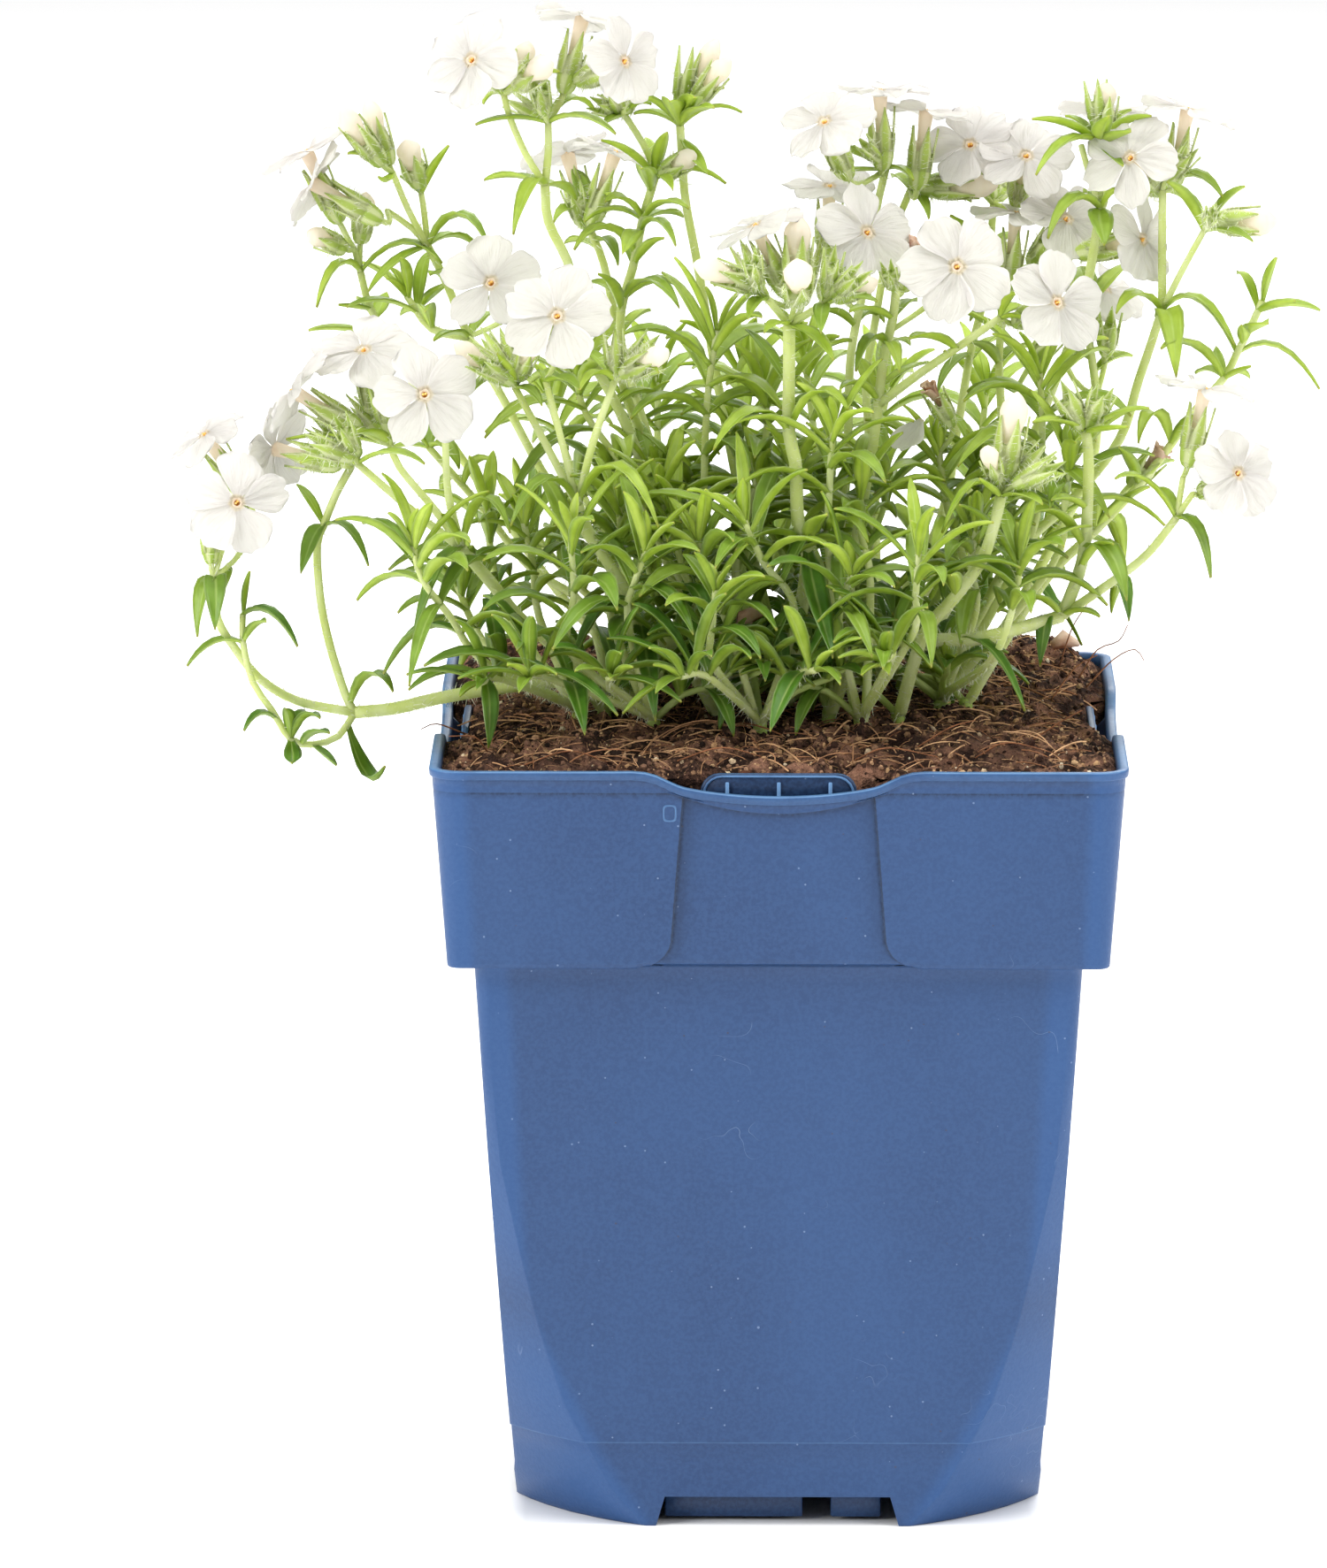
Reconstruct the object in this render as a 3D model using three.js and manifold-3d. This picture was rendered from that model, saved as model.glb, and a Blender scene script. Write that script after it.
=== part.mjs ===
// A phlox plant in its square nursery pot: a blue plastic pot, its potting soil, and the plant itself, with
// runners, flowering stems, leafy shoots, calyces, buds and white five-lobed flowers.
// Units are mm, +Z is up, and the origin is on the floor under the middle of the pot.
import * as THREE from 'three';
import { mergeVertices } from 'three/addons/utils/BufferGeometryUtils.js';
import Module from 'manifold-3d';

const wasm = await Module();
wasm.setup();
const { Manifold } = wasm;

// Pot
const POT_HEIGHT = 125;
const RIM_HALF = 55;
const BAND_HEIGHT = 32;
const BAND_FOOT_HALF = 52.2;
const SHOULDER_HALF = 48.1;
const SHOULDER_LAP = 4;
const BASE_HALF = 42.1;
const POT_WALL = 1.3;
const CORNER_RADIUS = 5;
const FLOOR_UNDER = 5.5;
const FLOOR_TOP = 7;
// The lower corners are cut by a round cone-like surface: [height, radius of the cut]
const CORNER_CUT = [[0, 46.4], [6, 48.1], [19, 53.7], [33, 58.1]];
const STRAIGHT_CORNERS_FROM = 48;
const CORNER_STEPS = 3;
// Each rim side dips in the middle: [distance from the middle, drop]
const RIM_DIP = [[0, 4], [8, 3.6], [15, 2.5], [19, 0.7], [22, 0]];
const PANEL_DEPTH = 1.3;
const PANEL_FOOT = 94;
const PANEL_BACKING_HALF = 17;
const PANEL = [
  [-15, 121.4], [-7, 119.5], [7, 119.5], [15, 121.4], [16.8, 98], [21.6, PANEL_FOOT], [-21.6, PANEL_FOOT],
  [-16.8, 98],
];
const TAB_HALF = 12.1;
const TAB_THICK = 1;
const TAB_SETBACK = 4.2;
const TAB_HEIGHT = 12;
const TAB_TOP = 124;
const NOTCH_HEIGHT = 4.9;
const NOTCH_HALF = [19.4, 18];
const FOOT_RING_INSET = 3.5;
const FOOT_RING_SPAN = [-18, 4];
const CENTRE_FOOT_RADIUS = 6;
const DRAIN = [9, 6];
const DRAIN_AT = 27;

// Soil
const SOIL_GAP = 0.35;
const SOIL_CELLS = 8;
const SOIL_EDGE = 123.9;
const SOIL_MOUND = 2.5;
const SOIL_HEAP = 4.4;
const CROWN_RADIUS = 1.7;
const CROWN_FOOT = 114;
const CROWN_TOP = 128.4;

// Plant
const CROWN_SPREAD = 0.8;
const THICK_STEM = 0.7;
const STEM_STEP = 15;
const SHOOT_RADIUS = 0.5;
const TOP_PAIR_AT = 0.96;
const LEAF_THICK = 0.8;
const LEAF_ROOT = 0.14;
const TWO_STEP_LEAF = 15;
// Width times length of a leaf, in mm²: smaller ones are left out, unless they reach far out
const LEAST_LEAF = 44;
const LARGE_LEAF = 44;
const OUTER_REACH = 79;
const ROOM = 0.12;
const STALK = 0.45;
const STALK_ROOT = 0.2;
const NO_STALK = 2;
const LONG_STALK = 8;
const CALYX_RADIUS = 2;
const CALYX_LENGTH = 9.5;
// A calyx by what it holds: its rings as [share of its length, share of its radius], and where it ends
const PROFILES = {
  nothing: { rings: [[0.45, 1]], end: 1 },
  flower: { rings: [[0.5, 0.95]], end: 0.17 },
  bud: { rings: [[0.35, 0.95], [0.56, 0.72], [0.76, 0.95]], end: 1 },
};
const CALYX_FLOOR = 1.6;
const TUBE_SEAT = 2.2;
const TUBE_FOOT = 0.75;
const FLOWER_DEPTH = 13;

// Edges shorter than this are drawn together in the finished solids
const SHORTEST_EDGE = 0.02;

const colours = {
  pot: [0x4a6797, 0.45],
  soil: [0x3a2416, 0.95],
  green: [0x5d8f35, 0.6],
  flower: [0xf6f3ee, 0.6],
};

// Where the plant's parts are. A stem is [radius at foot, radius at end, points]; a leaf is [width, arch,
// root, tip]; a calyx or bud is [size, where it branches off, foot, tip]; a bloom is [node, where it branches
// off, middle of the face, direction it faces, radius, turn in degrees]; a shoot is [leaf pairs, leaf length,
// points].
const plants = {
  "stem_runner_left": {
    "crown": [-22, -6],
    "stems": [
      [0.95, 0.9, [[-22, -6, 128], [-31.5, -7.5, 131], [-43.5, -10, 130.5], [-54.5, -12, 129],
        [-61.5, -13, 127.5], [-68, -14, 127]]],
      [0.65, 0.55, [[-68, -14, 127], [-77, -15, 129], [-83, -17, 133], [-87, -19, 138.5],
        [-89.5, -21, 143.5], [-90, -22, 150]]],
      [0.6, 0.55, [[-68, -14, 127], [-69.5, -14, 130], [-72, -13, 138], [-73.5, -12, 145.5],
        [-74, -10, 153.5], [-73, -9, 156.5], [-71, -8, 161.5], [-68.5, -8, 166]]],
      [0.5, 0.45, [[-68, -14, 127], [-70.5, -16, 123.5], [-74.5, -18, 122.5], [-78, -19, 123.5],
        [-81, -20, 128.5], [-84, -20, 133], [-85.5, -20, 139.5], [-85.5, -20, 144]]],
    ],
    "leaves": [
      [3.4, 4, [-68, -14, 128.5], [-61.5, -20, 131.5]],
      [3.4, -5, [-68.5, -14, 124.5], [-63, -20, 119.5]],
      [3, 3, [-90.5, -22, 150], [-92.5, -27, 141.5]],
      [3.6, 3, [-89, -23, 150], [-89.5, -29, 143]],
      [2.6, 1, [-88.5, -21, 145], [-87.5, -16, 151]],
      [3, 0, [-85.5, -20, 144.5], [-84.5, -20, 151]],
      [2.4, 3, [-85.5, -20, 143.5], [-76.5, -24, 139.5]],
      [2, 1, [-85.5, -20, 140], [-81.5, -26, 144]],
      [2.2, 2, [-85.5, -20, 139.5], [-94.5, -22, 136]],
      [2.4, 2, [-79.5, -20, 126], [-85.5, -22, 125.5]],
      [2.8, -1, [-78, -19, 123.5], [-77.5, -28, 121.5]],
      [2.4, 2, [-77.5, -19, 123.5], [-73, -24, 128]],
      [2.4, 1, [-76, -18, 123], [-71.5, -26, 126]],
      [2, 0, [-74, -18, 122.5], [-70.5, -22, 120]],
      [2.2, 1, [-78, -19, 123.5], [-78.5, -24, 129.5]],
      [2.2, 1, [-78, -19, 123.5], [-76, -14, 127.5]],
      [2.8, 2, [-73.5, -9, 156.5], [-76.5, -14, 149.5]],
      [2.4, 3, [-73, -9, 156.5], [-65.5, -15, 151]],
      [2, 1, [-73.5, -9, 156.5], [-77.5, -4, 162.5]],
    ],
    "calyces": [
      [0.8, [-90, -22, 150], [-90.5, -20, 152], [-91, -18, 157.5]],
      [0.9, [-68.5, -8, 166], [-68.5, -9, 167.5], [-75, -10, 173]],
      [0.8, [-68.5, -8, 166], [-68.5, -6, 167.5], [-71.5, -2, 171.5]],
    ],
    "blooms": [
      ["bloom_left_low", [-90, -22, 150], [-86, -26, 163], [0.1, -0.93, 0.3], 8.8, 10],
      ["bloom_left_edge", [-90, -22, 150], [-92, -10, 171.5], [-0.5, -0.25, 0.82], 7.2, 30],
      ["bloom_left_side", [-68.5, -8, 166], [-81, -6, 168.5], [-0.84, 0.5, 0.12], 8.6, 0],
    ],
  },
  "stem_left_mid": {
    "crown": [-28, -12.5],
    "stems": [
      [0.95, 0.85, [[-28, -12.5, 128], [-34, -14, 136], [-41.5, -17, 143], [-45.5, -19, 148.5],
        [-50.5, -22, 155]]],
      [0.6, 0.5, [[-50.5, -22, 155], [-58, -23, 161], [-67, -24, 169]]],
      [0.6, 0.5, [[-50.5, -22, 155], [-54.5, -20, 160.5], [-60.5, -16, 167], [-62, -15, 170.5]]],
      [0.6, 0.5, [[-50.5, -22, 155], [-52.5, -25, 164], [-53, -25, 173.5]]],
      [0.65, 0.5, [[-28, -12.5, 128], [-28.5, -8.5, 135], [-32, 6, 141.5], [-40.5, 11, 146.5],
        [-48.5, 9, 157], [-56.5, 5, 167]]],
    ],
    "leaves": [
      [3.2, 4, [-51, -22, 155], [-58, -33, 142]],
      [2.8, 7, [-50, -22, 155], [-42.5, -31, 159]],
      [1.8, 1, [-51, -22, 154.5], [-53.5, -30, 162]],
      [2.8, 2, [-66.5, -24, 169.5], [-56, -30, 170]],
      [2.4, 1, [-67, -24, 169.5], [-76, -26, 169.5]],
      [2.6, 2, [-62, -15, 170.5], [-56, -10, 169.5]],
      [3.2, 1, [-62.5, -15, 171], [-67.5, -22, 173.5]],
      [2.4, 1, [-62, -14, 170.5], [-79, -8, 170.5]],
      [2.4, 1, [-56.5, 5, 167], [-64.5, 8, 165.5]],
      [3.2, 2, [-56.5, 5, 167], [-51.5, 2, 164]],
      [2.8, 1, [-56.5, 5, 167], [-54.5, 10, 171.5]],
      [2.4, 1, [-56.5, 5, 167], [-61.5, 12, 170]],
      [2.6, 2, [-50.5, 8, 159.5], [-55, 14, 158]],
      [2.6, 2, [-50.5, 8, 159.5], [-46, 4, 165]],
    ],
    "calyces": [
      [1, [-67, -24, 169], [-67.5, -25, 170], [-75, -28, 173]],
      [0.9, [-67, -24, 169], [-67, -23, 170], [-69.5, -30, 177]],
      [1, [-62, -15, 170.5], [-62, -16, 172], [-64, -18, 181.5]],
      [0.9, [-62, -15, 170.5], [-63, -13, 171], [-69.5, -6, 176]],
    ],
    "blooms": [
      ["bloom_left_tube", [-62, -15, 170.5], [-77.8, -16.5, 179.6], [-0.85, 0.05, 0.48], 8.2, 20],
      ["bloom_left_flat", [-62, -15, 170.5], [-66.3, -14, 185.8], [-0.12, -0.42, 0.9], 9.2, 15],
      ["bloom_left_front", [-53, -25, 173.5], [-56, -33, 181.5], [-0.08, -0.93, 0.35], 9, 36],
    ],
  },
  "stem_front_left": {
    "crown": [-10, -16],
    "stems": [
      [0.95, 0.85, [[-10, -16, 128], [-16, -20, 138], [-22, -22, 142.5], [-25, -23.5, 149.5],
        [-30, -24, 157.5], [-32, -25, 162.5]]],
      [0.6, 0.5, [[-32, -25, 162.5], [-37, -24, 172], [-42, -22, 181]]],
      [0.55, 0.5, [[-32, -25, 162.5], [-34.5, -26, 173], [-37, -26, 182.5]]],
      [0.6, 0.5, [[-32, -25, 162.5], [-29.5, -27, 173], [-26, -28, 183]]],
    ],
    "leaves": [
      [3, 6, [-32.5, -25, 162.5], [-42.5, -33, 160.5]],
      [2.8, 8, [-31.5, -25, 162.5], [-19, -37, 161]],
      [4, 1, [-23.5, -22, 143.5], [-26.5, -34, 142.5]],
      [3.4, 3, [-21.5, -22, 142.5], [-12.5, -32, 144.5]],
      [3.6, 4, [-22.5, -22, 143], [-19.5, -38, 130]],
      [2.6, 2, [-42, -22, 181], [-48.5, -30, 181.5]],
      [2.4, 1, [-42, -22, 181], [-37.5, -28, 179]],
      [2.2, 1, [-42, -22, 181], [-38.5, -16, 185]],
      [2.2, 0, [-42, -22, 181], [-44.5, -32, 188]],
      [2.6, 1, [-37, -26, 182.5], [-31.5, -34, 182.5]],
      [2.2, 1, [-37, -26, 182.5], [-38, -18, 182.5]],
      [2.6, 2, [-26, -28, 183], [-31.5, -34, 182.5]],
      [2.4, 2, [-26, -28, 183], [-19, -36, 185.5]],
      [2.2, 1, [-26, -28, 183], [-31.5, -20, 187]],
    ],
    "calyces": [
      [1, [-42, -22, 181], [-42.5, -21, 182], [-48, -16, 188.5]],
      [0.9, [-42, -22, 181], [-42, -20, 182], [-44.5, -14, 188.5]],
      [0.9, [-42, -22, 181], [-42.5, -24, 182], [-48, -34, 187]],
      [0.9, [-26, -28, 183], [-26, -28, 183.5], [-26.5, -30, 191.5]],
      [1, [-26, -28, 183], [-25.5, -26, 183.5], [-20, -18, 188]],
      [0.8, [-26, -28, 183], [-25, -28, 183.5], [-18.5, -26, 185.5]],
    ],
    "buds": [
      [0.9, [-42, -22, 181], [-43, -23, 182.5], [-51.5, -26, 188.5]],
      [0.8, [-42, -22, 181], [-41.5, -22, 182], [-39, -24, 189]],
      [0.9, [-26, -28, 183], [-25, -29, 184], [-17.5, -36, 189]],
    ],
    "blooms": [
      ["bloom_front_left", [-37, -26, 182.5], [-35, -36, 194.5], [-0.05, -0.88, 0.47], 9.4, 0],
    ],
  },
  "stem_top_left": {
    "crown": [-8, 3],
    "stems": [
      [0.8, 0.65, [[-8, 3, 128], [-17.5, 3, 148], [-21, 4, 161.5], [-26, 2, 174], [-30.5, 0, 183],
        [-32.5, -2, 192], [-34, -3, 198.5], [-37, -4, 205], [-37.5, -5, 211]]],
      [0.5, 0.45, [[-37.5, -5, 211], [-40.5, -6, 216], [-43, -7, 222], [-44, -8, 226]]],
      [0.6, 0.5, [[-37.5, -5, 211], [-37, -4, 216], [-37, -4, 221]]],
    ],
    "leaves": [
      [3.4, 4, [-38, -5, 210.5], [-42.5, -12, 204]],
      [3.2, 1, [-37, -4, 211], [-32.5, 4, 207.5]],
      [2.4, 1, [-37.5, -4, 210.5], [-47.5, 6, 210.5]],
      [3, 1, [-44, -8, 226], [-35, -14, 230.5]],
      [2.2, 1, [-44, -8, 226], [-48.5, -12, 227]],
      [1.8, 1, [-44, -8, 226], [-47.5, -4, 224]],
      [3, 3, [-36.5, -4, 221.5], [-29.5, 2, 222]],
      [2.6, 2, [-36.5, -5, 221.5], [-26, -14, 220.5]],
      [2.4, 1, [-38, -5, 221.5], [-48.5, -10, 221.5]],
    ],
    "calyces": [
      [0.8, [-37, -4, 221], [-38, -2, 221.5], [-43.5, -1, 224.5]],
      [0.9, [-37, -4, 221], [-37.5, -6, 222.5], [-38.5, -10, 228.5]],
    ],
    "buds": [
      [0.9, [-44, -8, 226], [-42.5, -6, 227], [-40, -4, 234]],
      [1.1, [-44, -8, 226], [-42, -10, 227.5], [-36.5, -18, 232.5]],
    ],
    "blooms": [
      ["bloom_top_left", [-44, -8, 226], [-49, -16, 232.5], [-0.42, -0.8, 0.42], 8.6, 0],
      ["bloom_top_back", [-37, -4, 221], [-31.5, 0, 237.5], [0.24, 0.28, 0.93], 8.4, 12],
      ["bloom_top_mid", [-37, -4, 221], [-24.5, -14, 232], [0.6, -0.72, 0.34], 7.9, 20],
    ],
  },
  "stem_top_leafy": {
    "crown": [-4, 9],
    "stems": [
      [0.8, 0.6, [[-4, 9, 128], [-12, 11, 149.5], [-20.5, 10, 164.5], [-25, 8, 176], [-25.5, 6, 182],
        [-25.5, 4, 189.5], [-23.5, 3, 197], [-22, 2, 204.5], [-20, 1, 211.5]]],
      [0.5, 0.45, [[-20, 1, 211.5], [-21, 1, 215], [-23, 2, 218.5], [-25, 2, 221.5]]],
    ],
    "leaves": [
      [1.8, 1, [-25, 2, 221.5], [-20.5, 0, 223.5]],
      [1.8, 0, [-25, 2, 221.5], [-28, -4, 221]],
      [2.4, 1, [-20, 1, 212], [-28.5, -6, 218.5]],
      [2.4, 2, [-19.5, 1, 211.5], [-8.5, -2, 211]],
      [2.2, 1, [-20, 1, 212], [-21.5, 8, 217]],
      [2.4, 1, [-19.5, 1, 212], [-18, -4, 219.5]],
      [2.2, 1, [-20, 1, 212], [-17, -10, 211]],
      [3.2, 1, [-20.5, 1, 210], [-22, -14, 215]],
      [2.6, 2, [-22, 2, 205], [-28, -2, 208]],
      [2.4, 2, [-21.5, 2, 205], [-14.5, -6, 207.5]],
      [2.4, 2, [-22, 2, 204], [-31.5, 4, 204]],
      [2.4, 1, [-21.5, 2, 203.5], [-15.5, 10, 204]],
      [2.4, 3, [-22, 2, 203.5], [-16.5, -10, 202]],
      [3, 1, [-22.5, 2, 202.5], [-25, -12, 201]],
      [2.8, 4, [-23.5, 3, 198.5], [-33, -4, 200.5]],
      [2.6, 1, [-23.5, 3, 196.5], [-18.5, -4, 202.5]],
      [2.4, 1, [-23.5, 3, 197], [-26, 12, 202]],
      [2.6, 2, [-25, 4, 192], [-15.5, 2, 193.5]],
      [3, 4, [-25, 4, 190.5], [-16, -10, 192]],
      [2.4, 1, [-25.5, 4, 190.5], [-29, -6, 197]],
      [2.4, 1, [-25.5, 4, 191], [-31, 12, 193]],
    ],
    "calyces": [
      [0.8, [-25, 2, 221.5], [-25.5, 2, 221.5], [-27, 0, 225.5]],
      [0.8, [-25, 2, 221.5], [-25.5, 3, 221.5], [-30, 0, 223.5]],
      [0.7, [-25, 2, 221.5], [-25, 0, 222], [-24, 8, 223.5]],
    ],
    "buds": [
      [0.9, [-20, 1, 211.5], [-19, 0, 212], [-13.5, -4, 216]],
    ],
  },
  "stem_top_back": {
    "crown": [-13, 14],
    "stems": [
      [0.75, 0.55, [[-13, 14, 128], [-16, 18, 151.5], [-22, 20, 168.5], [-26, 20, 183],
        [-28.5, 18, 195], [-30.5, 16, 200.5]]],
    ],
    "leaves": [
      [3.4, 2, [-30.5, 16, 200.5], [-33.5, 22, 210]],
      [2.6, 3, [-30.5, 16, 200.5], [-36.5, 10, 203]],
      [2.4, 2, [-30.5, 16, 200.5], [-26, 10, 207.5]],
      [2.4, 2, [-30, 16, 199.5], [-26, 10, 196]],
      [2.2, 1, [-29, 18, 196.5], [-35, 26, 197.5]],
      [2.4, 1, [-26, 20, 183], [-21, 26, 186.5]],
      [2.4, 1, [-26, 20, 183], [-31, 26, 186]],
    ],
    "calyces": [
      [1, [-30.5, 16, 200.5], [-31.5, 16, 201.5], [-33.5, 12, 208.5]],
    ],
    "blooms": [
      ["blooms_top_low", [-30.5, 16, 200.5], [-26.5, 14, 214], [0.33, 0.05, 0.94], 8, 0],
      ["blooms_top_low", [-30.5, 16, 200.5], [-34.5, 23.5, 212.4], [-0.25, 0.35, 0.9], 8.4, 18],
    ],
  },
  "stem_top_bud": {
    "crown": [2, 6],
    "stems": [
      [0.75, 0.6, [[2, 6, 128], [-4.5, 8, 150], [-9.5, 8, 174.5], [-11.5, 6, 186.5], [-13.5, 4, 198.5],
        [-15, 3, 206.5], [-15.5, 2, 211.5], [-16, 0, 220]]],
    ],
    "leaves": [
      [2.6, 1, [-16, 0, 220], [-23.5, -2, 225.5]],
      [2.4, 1, [-16, 0, 220], [-23.5, 4, 221.5]],
      [2.6, 1, [-16, 0, 220], [-9, 2, 226]],
      [2.2, 2, [-16, 0, 220], [-6, -2, 222.5]],
      [2.4, 1, [-16, 0, 220], [-10.5, -12, 224.5]],
      [3.8, 1, [-16, 0, 220], [-17.5, -12, 225.5]],
      [3.6, 1, [-16, 0, 220], [-13.5, -11, 226]],
      [2.2, 0, [-15, 1, 217.5], [-11.5, -6, 213]],
    ],
    "calyces": [
      [1, [-16, 0, 220], [-16, 0, 221.5], [-14.5, 0, 232.5]],
    ],
    "buds": [
      [0.9, [-16, 0, 220], [-15, 1, 223], [-10, 0, 234]],
      [0.9, [-16, 0, 220], [-14, -2, 223.5], [-8, -6, 231.5]],
    ],
  },
  "stem_upper_left": {
    "crown": [-17, 17],
    "stems": [
      [0.7, 0.6, [[-17, 17, 128], [-28, 22, 145], [-38, 24, 159], [-45, 24, 172], [-50.5, 22, 182.5],
        [-54, 20, 191.5], [-57, 18, 198]]],
      [0.45, 0.42, [[-57, 18, 198], [-59.5, 17, 201], [-63.5, 16, 204]]],
      [0.5, 0.45, [[-57, 18, 198], [-60, 16, 204], [-62.5, 14, 210.5]]],
      [0.45, 0.42, [[-57, 18, 198], [-57.5, 18, 203], [-58, 18, 206.5]]],
    ],
    "leaves": [
      [1.6, 1, [-62.5, 14, 210.5], [-69.5, 8, 214.5]],
      [1.8, -1, [-62.5, 14, 210.5], [-64.5, 6, 211]],
      [2.2, 0, [-58, 18, 206.5], [-53.5, 14, 215]],
      [2, 0, [-58, 18, 206.5], [-61.5, 22, 209]],
      [3, 5, [-57, 18, 198.5], [-47, 12, 199]],
      [2.6, 1, [-57, 18, 198], [-66.5, 12, 191.5]],
      [2.4, 2, [-56.5, 18, 198.5], [-49, 26, 196.5]],
      [2.8, 1, [-53.5, 20, 190.5], [-56.5, 10, 194.5]],
      [3, 0, [-54, 20, 191], [-58.5, 26, 187]],
      [2.6, 1, [-50.5, 22, 182.5], [-56, 12, 183.5]],
      [2.6, 1, [-51, 22, 183.5], [-46.5, 30, 185.5]],
    ],
    "calyces": [
      [0.7, [-62.5, 14, 210.5], [-63.5, 16, 211.5], [-67, 22, 214.5]],
    ],
    "buds": [
      [1, [-62.5, 14, 210.5], [-64, 12, 212], [-71, 6, 222]],
      [0.9, [-62.5, 14, 210.5], [-63, 14, 211.5], [-66.5, 14, 222.5]],
      [1.1, [-58, 18, 206.5], [-58, 18, 207.5], [-60.5, 16, 215.5]],
    ],
    "blooms": [
      ["blooms_upper_left", [-63.5, 16, 204], [-75.5, 12, 209], [-0.88, 0.1, 0.46], 8.4, 10],
      ["bloom_left_upper", [-50.5, 22, 182.5], [-46.5, 4, 194], [-0.28, -0.86, 0.42], 8.8, 24],
    ],
    "shoots": [
      [2, 11, [[-50.5, 22, 182.5], [-56.5, 21, 184], [-60.5, 20, 189.5]]],
    ],
  },
  "stem_far_left": {
    "crown": [-24, 20],
    "stems": [
      [0.65, 0.55, [[-24, 20, 128], [-35, 28, 138], [-46.5, 30, 153.5], [-55.5, 28, 167],
        [-62.5, 26, 179], [-66.5, 23, 187], [-68, 20, 193.5]]],
      [0.42, 0.42, [[-68, 20, 193.5], [-69, 19, 197.5]]],
    ],
    "leaves": [
      [2.8, 4, [-68, 20, 194], [-75, 14, 188.5]],
      [2.5, 4, [-67.5, 20, 194], [-54.5, 16, 195.5]],
      [2.6, 0, [-66.5, 23, 186.5], [-71.5, 18, 188.5]],
      [2.6, 0, [-66, 23, 185.5], [-69, 30, 188]],
      [2.6, 0, [-66, 23, 185.5], [-64, 28, 189]],
      [2.4, 1, [-63.5, 25, 181.5], [-76.5, 20, 184]],
    ],
    "buds": [
      [0.9, [-69, 19, 197.5], [-70, 17, 197.5], [-76.5, 16, 200.5]],
      [0.9, [-68, 20, 193.5], [-68, 20, 198], [-67, 20, 206.5]],
    ],
    "blooms": [
      ["blooms_upper_left", [-69, 19, 197.5], [-76.5, 15, 213.9], [-0.42, 0.05, 0.9], 8.4, 32],
    ],
  },
  "stem_centre": {
    "crown": [1, -9],
    "stems": [
      [1.05, 0.9, [[1, -9, 128], [3.5, -14, 143.5], [4.5, -22, 155], [3, -24, 159.5],
        [2.5, -24, 169.5], [1.5, -24, 174], [1.5, -23, 183.5], [1.5, -22, 191]]],
      [0.55, 0.5, [[1.5, -22, 191], [-2, -24, 195.5]]],
      [0.55, 0.5, [[1.5, -22, 191], [7, -23, 194.5]]],
    ],
    "leaves": [
      [3.6, 5, [1, -24, 174], [-10.5, -32, 172.5]],
      [3.6, 5, [2, -24, 174.5], [11, -30, 178.5]],
      [3.8, 1, [4.5, -23, 155.5], [8.5, -42, 141]],
      [3.2, 3, [4, -22, 155.5], [-7, -32, 156.5]],
      [3, 3, [5, -22, 155.5], [13.5, -30, 154.5]],
      [3.4, 1, [4.5, -22, 155.5], [7.5, -36, 163]],
      [3.2, 1, [2, -22, 190.5], [8.5, -32, 187]],
      [3, 2, [1.5, -23, 180], [11.5, -14, 187.5]],
      [2.2, 1, [0.5, -23, 180], [-5.5, -12, 189]],
      [2.4, 1, [1.5, -22, 191], [-2.5, -30, 191]],
      [2.4, 1, [-2, -24, 195.5], [-10.5, -22, 197.5]],
      [2.4, 1, [-2, -24, 195.5], [-5, -36, 194]],
      [2.4, 1, [7, -23, 194.5], [15.5, -26, 195.5]],
      [2.6, 1, [7, -23, 194.5], [6.5, -34, 191.5]],
      [2.4, 1, [7, -23, 194.5], [10.5, -12, 200.5]],
    ],
    "calyces": [
      [0.9, [-2, -24, 195.5], [-3, -22, 196.5], [-6.5, -16, 203]],
      [0.9, [-2, -24, 195.5], [-3.5, -19, 196], [-5, -10, 201]],
      [0.8, [-2, -24, 195.5], [-3.5, -27, 197.5], [-4.5, -38, 204.5]],
      [0.9, [1.5, -22, 191], [3.5, -18, 193.5], [5.5, -8, 203]],
      [0.9, [7, -23, 194.5], [7.5, -22, 195.5], [8.5, -28, 203.5]],
      [0.9, [7, -23, 194.5], [8.5, -24, 196], [13, -32, 201]],
    ],
    "buds": [
      [1, [-2, -24, 195.5], [-3, -26, 197.5], [-13.5, -34, 202.5]],
      [1.2, [1.5, -22, 191], [2.5, -20, 195.5], [3, -18, 208]],
      [1.25, [1.5, -22, 191], [2.5, -26, 195.5], [3, -40, 203]],
      [0.8, [7, -23, 194.5], [8.5, -22, 195], [15.5, -24, 198.5]],
    ],
    "blooms": [
      ["bloom_centre_side", [-2, -24, 195.5], [-4, -18, 206.5], [-0.4, -0.12, 0.9], 8.4, 5],
      ["bloom_centre_right", [7, -23, 194.5], [14, -12, 204.5], [0.42, -0.74, 0.5], 8.8, 14],
    ],
  },
  "stem_right_centre": {
    "crown": [9, -4],
    "stems": [
      [0.9, 0.65, [[9, -4, 128], [11.5, -8, 148.5], [13.5, -10, 161.5], [15, -12, 170.5],
        [16.5, -12, 183.5], [18, -12, 190.5], [18.5, -12, 195]]],
      [0.65, 0.5, [[15.5, -12, 176.5], [22, -15, 182], [28, -17, 186.5], [35, -17, 191.5]]],
    ],
    "leaves": [
      [4.6, 1, [28.5, -17, 187], [20.5, -22, 189]],
      [2.8, 3, [15.5, -12, 186.5], [12, -18, 183]],
      [2.4, 2, [15, -12, 177.5], [9.5, -20, 180.5]],
      [2.4, 1, [16, -12, 180.5], [24, -4, 182.5]],
      [2.4, 2, [16.5, -12, 185], [19, -22, 183.5]],
      [2.4, 1, [17, -12, 185.5], [21, -2, 185]],
      [2.6, 1, [15, -12, 177.5], [12.5, -6, 183.5]],
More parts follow.
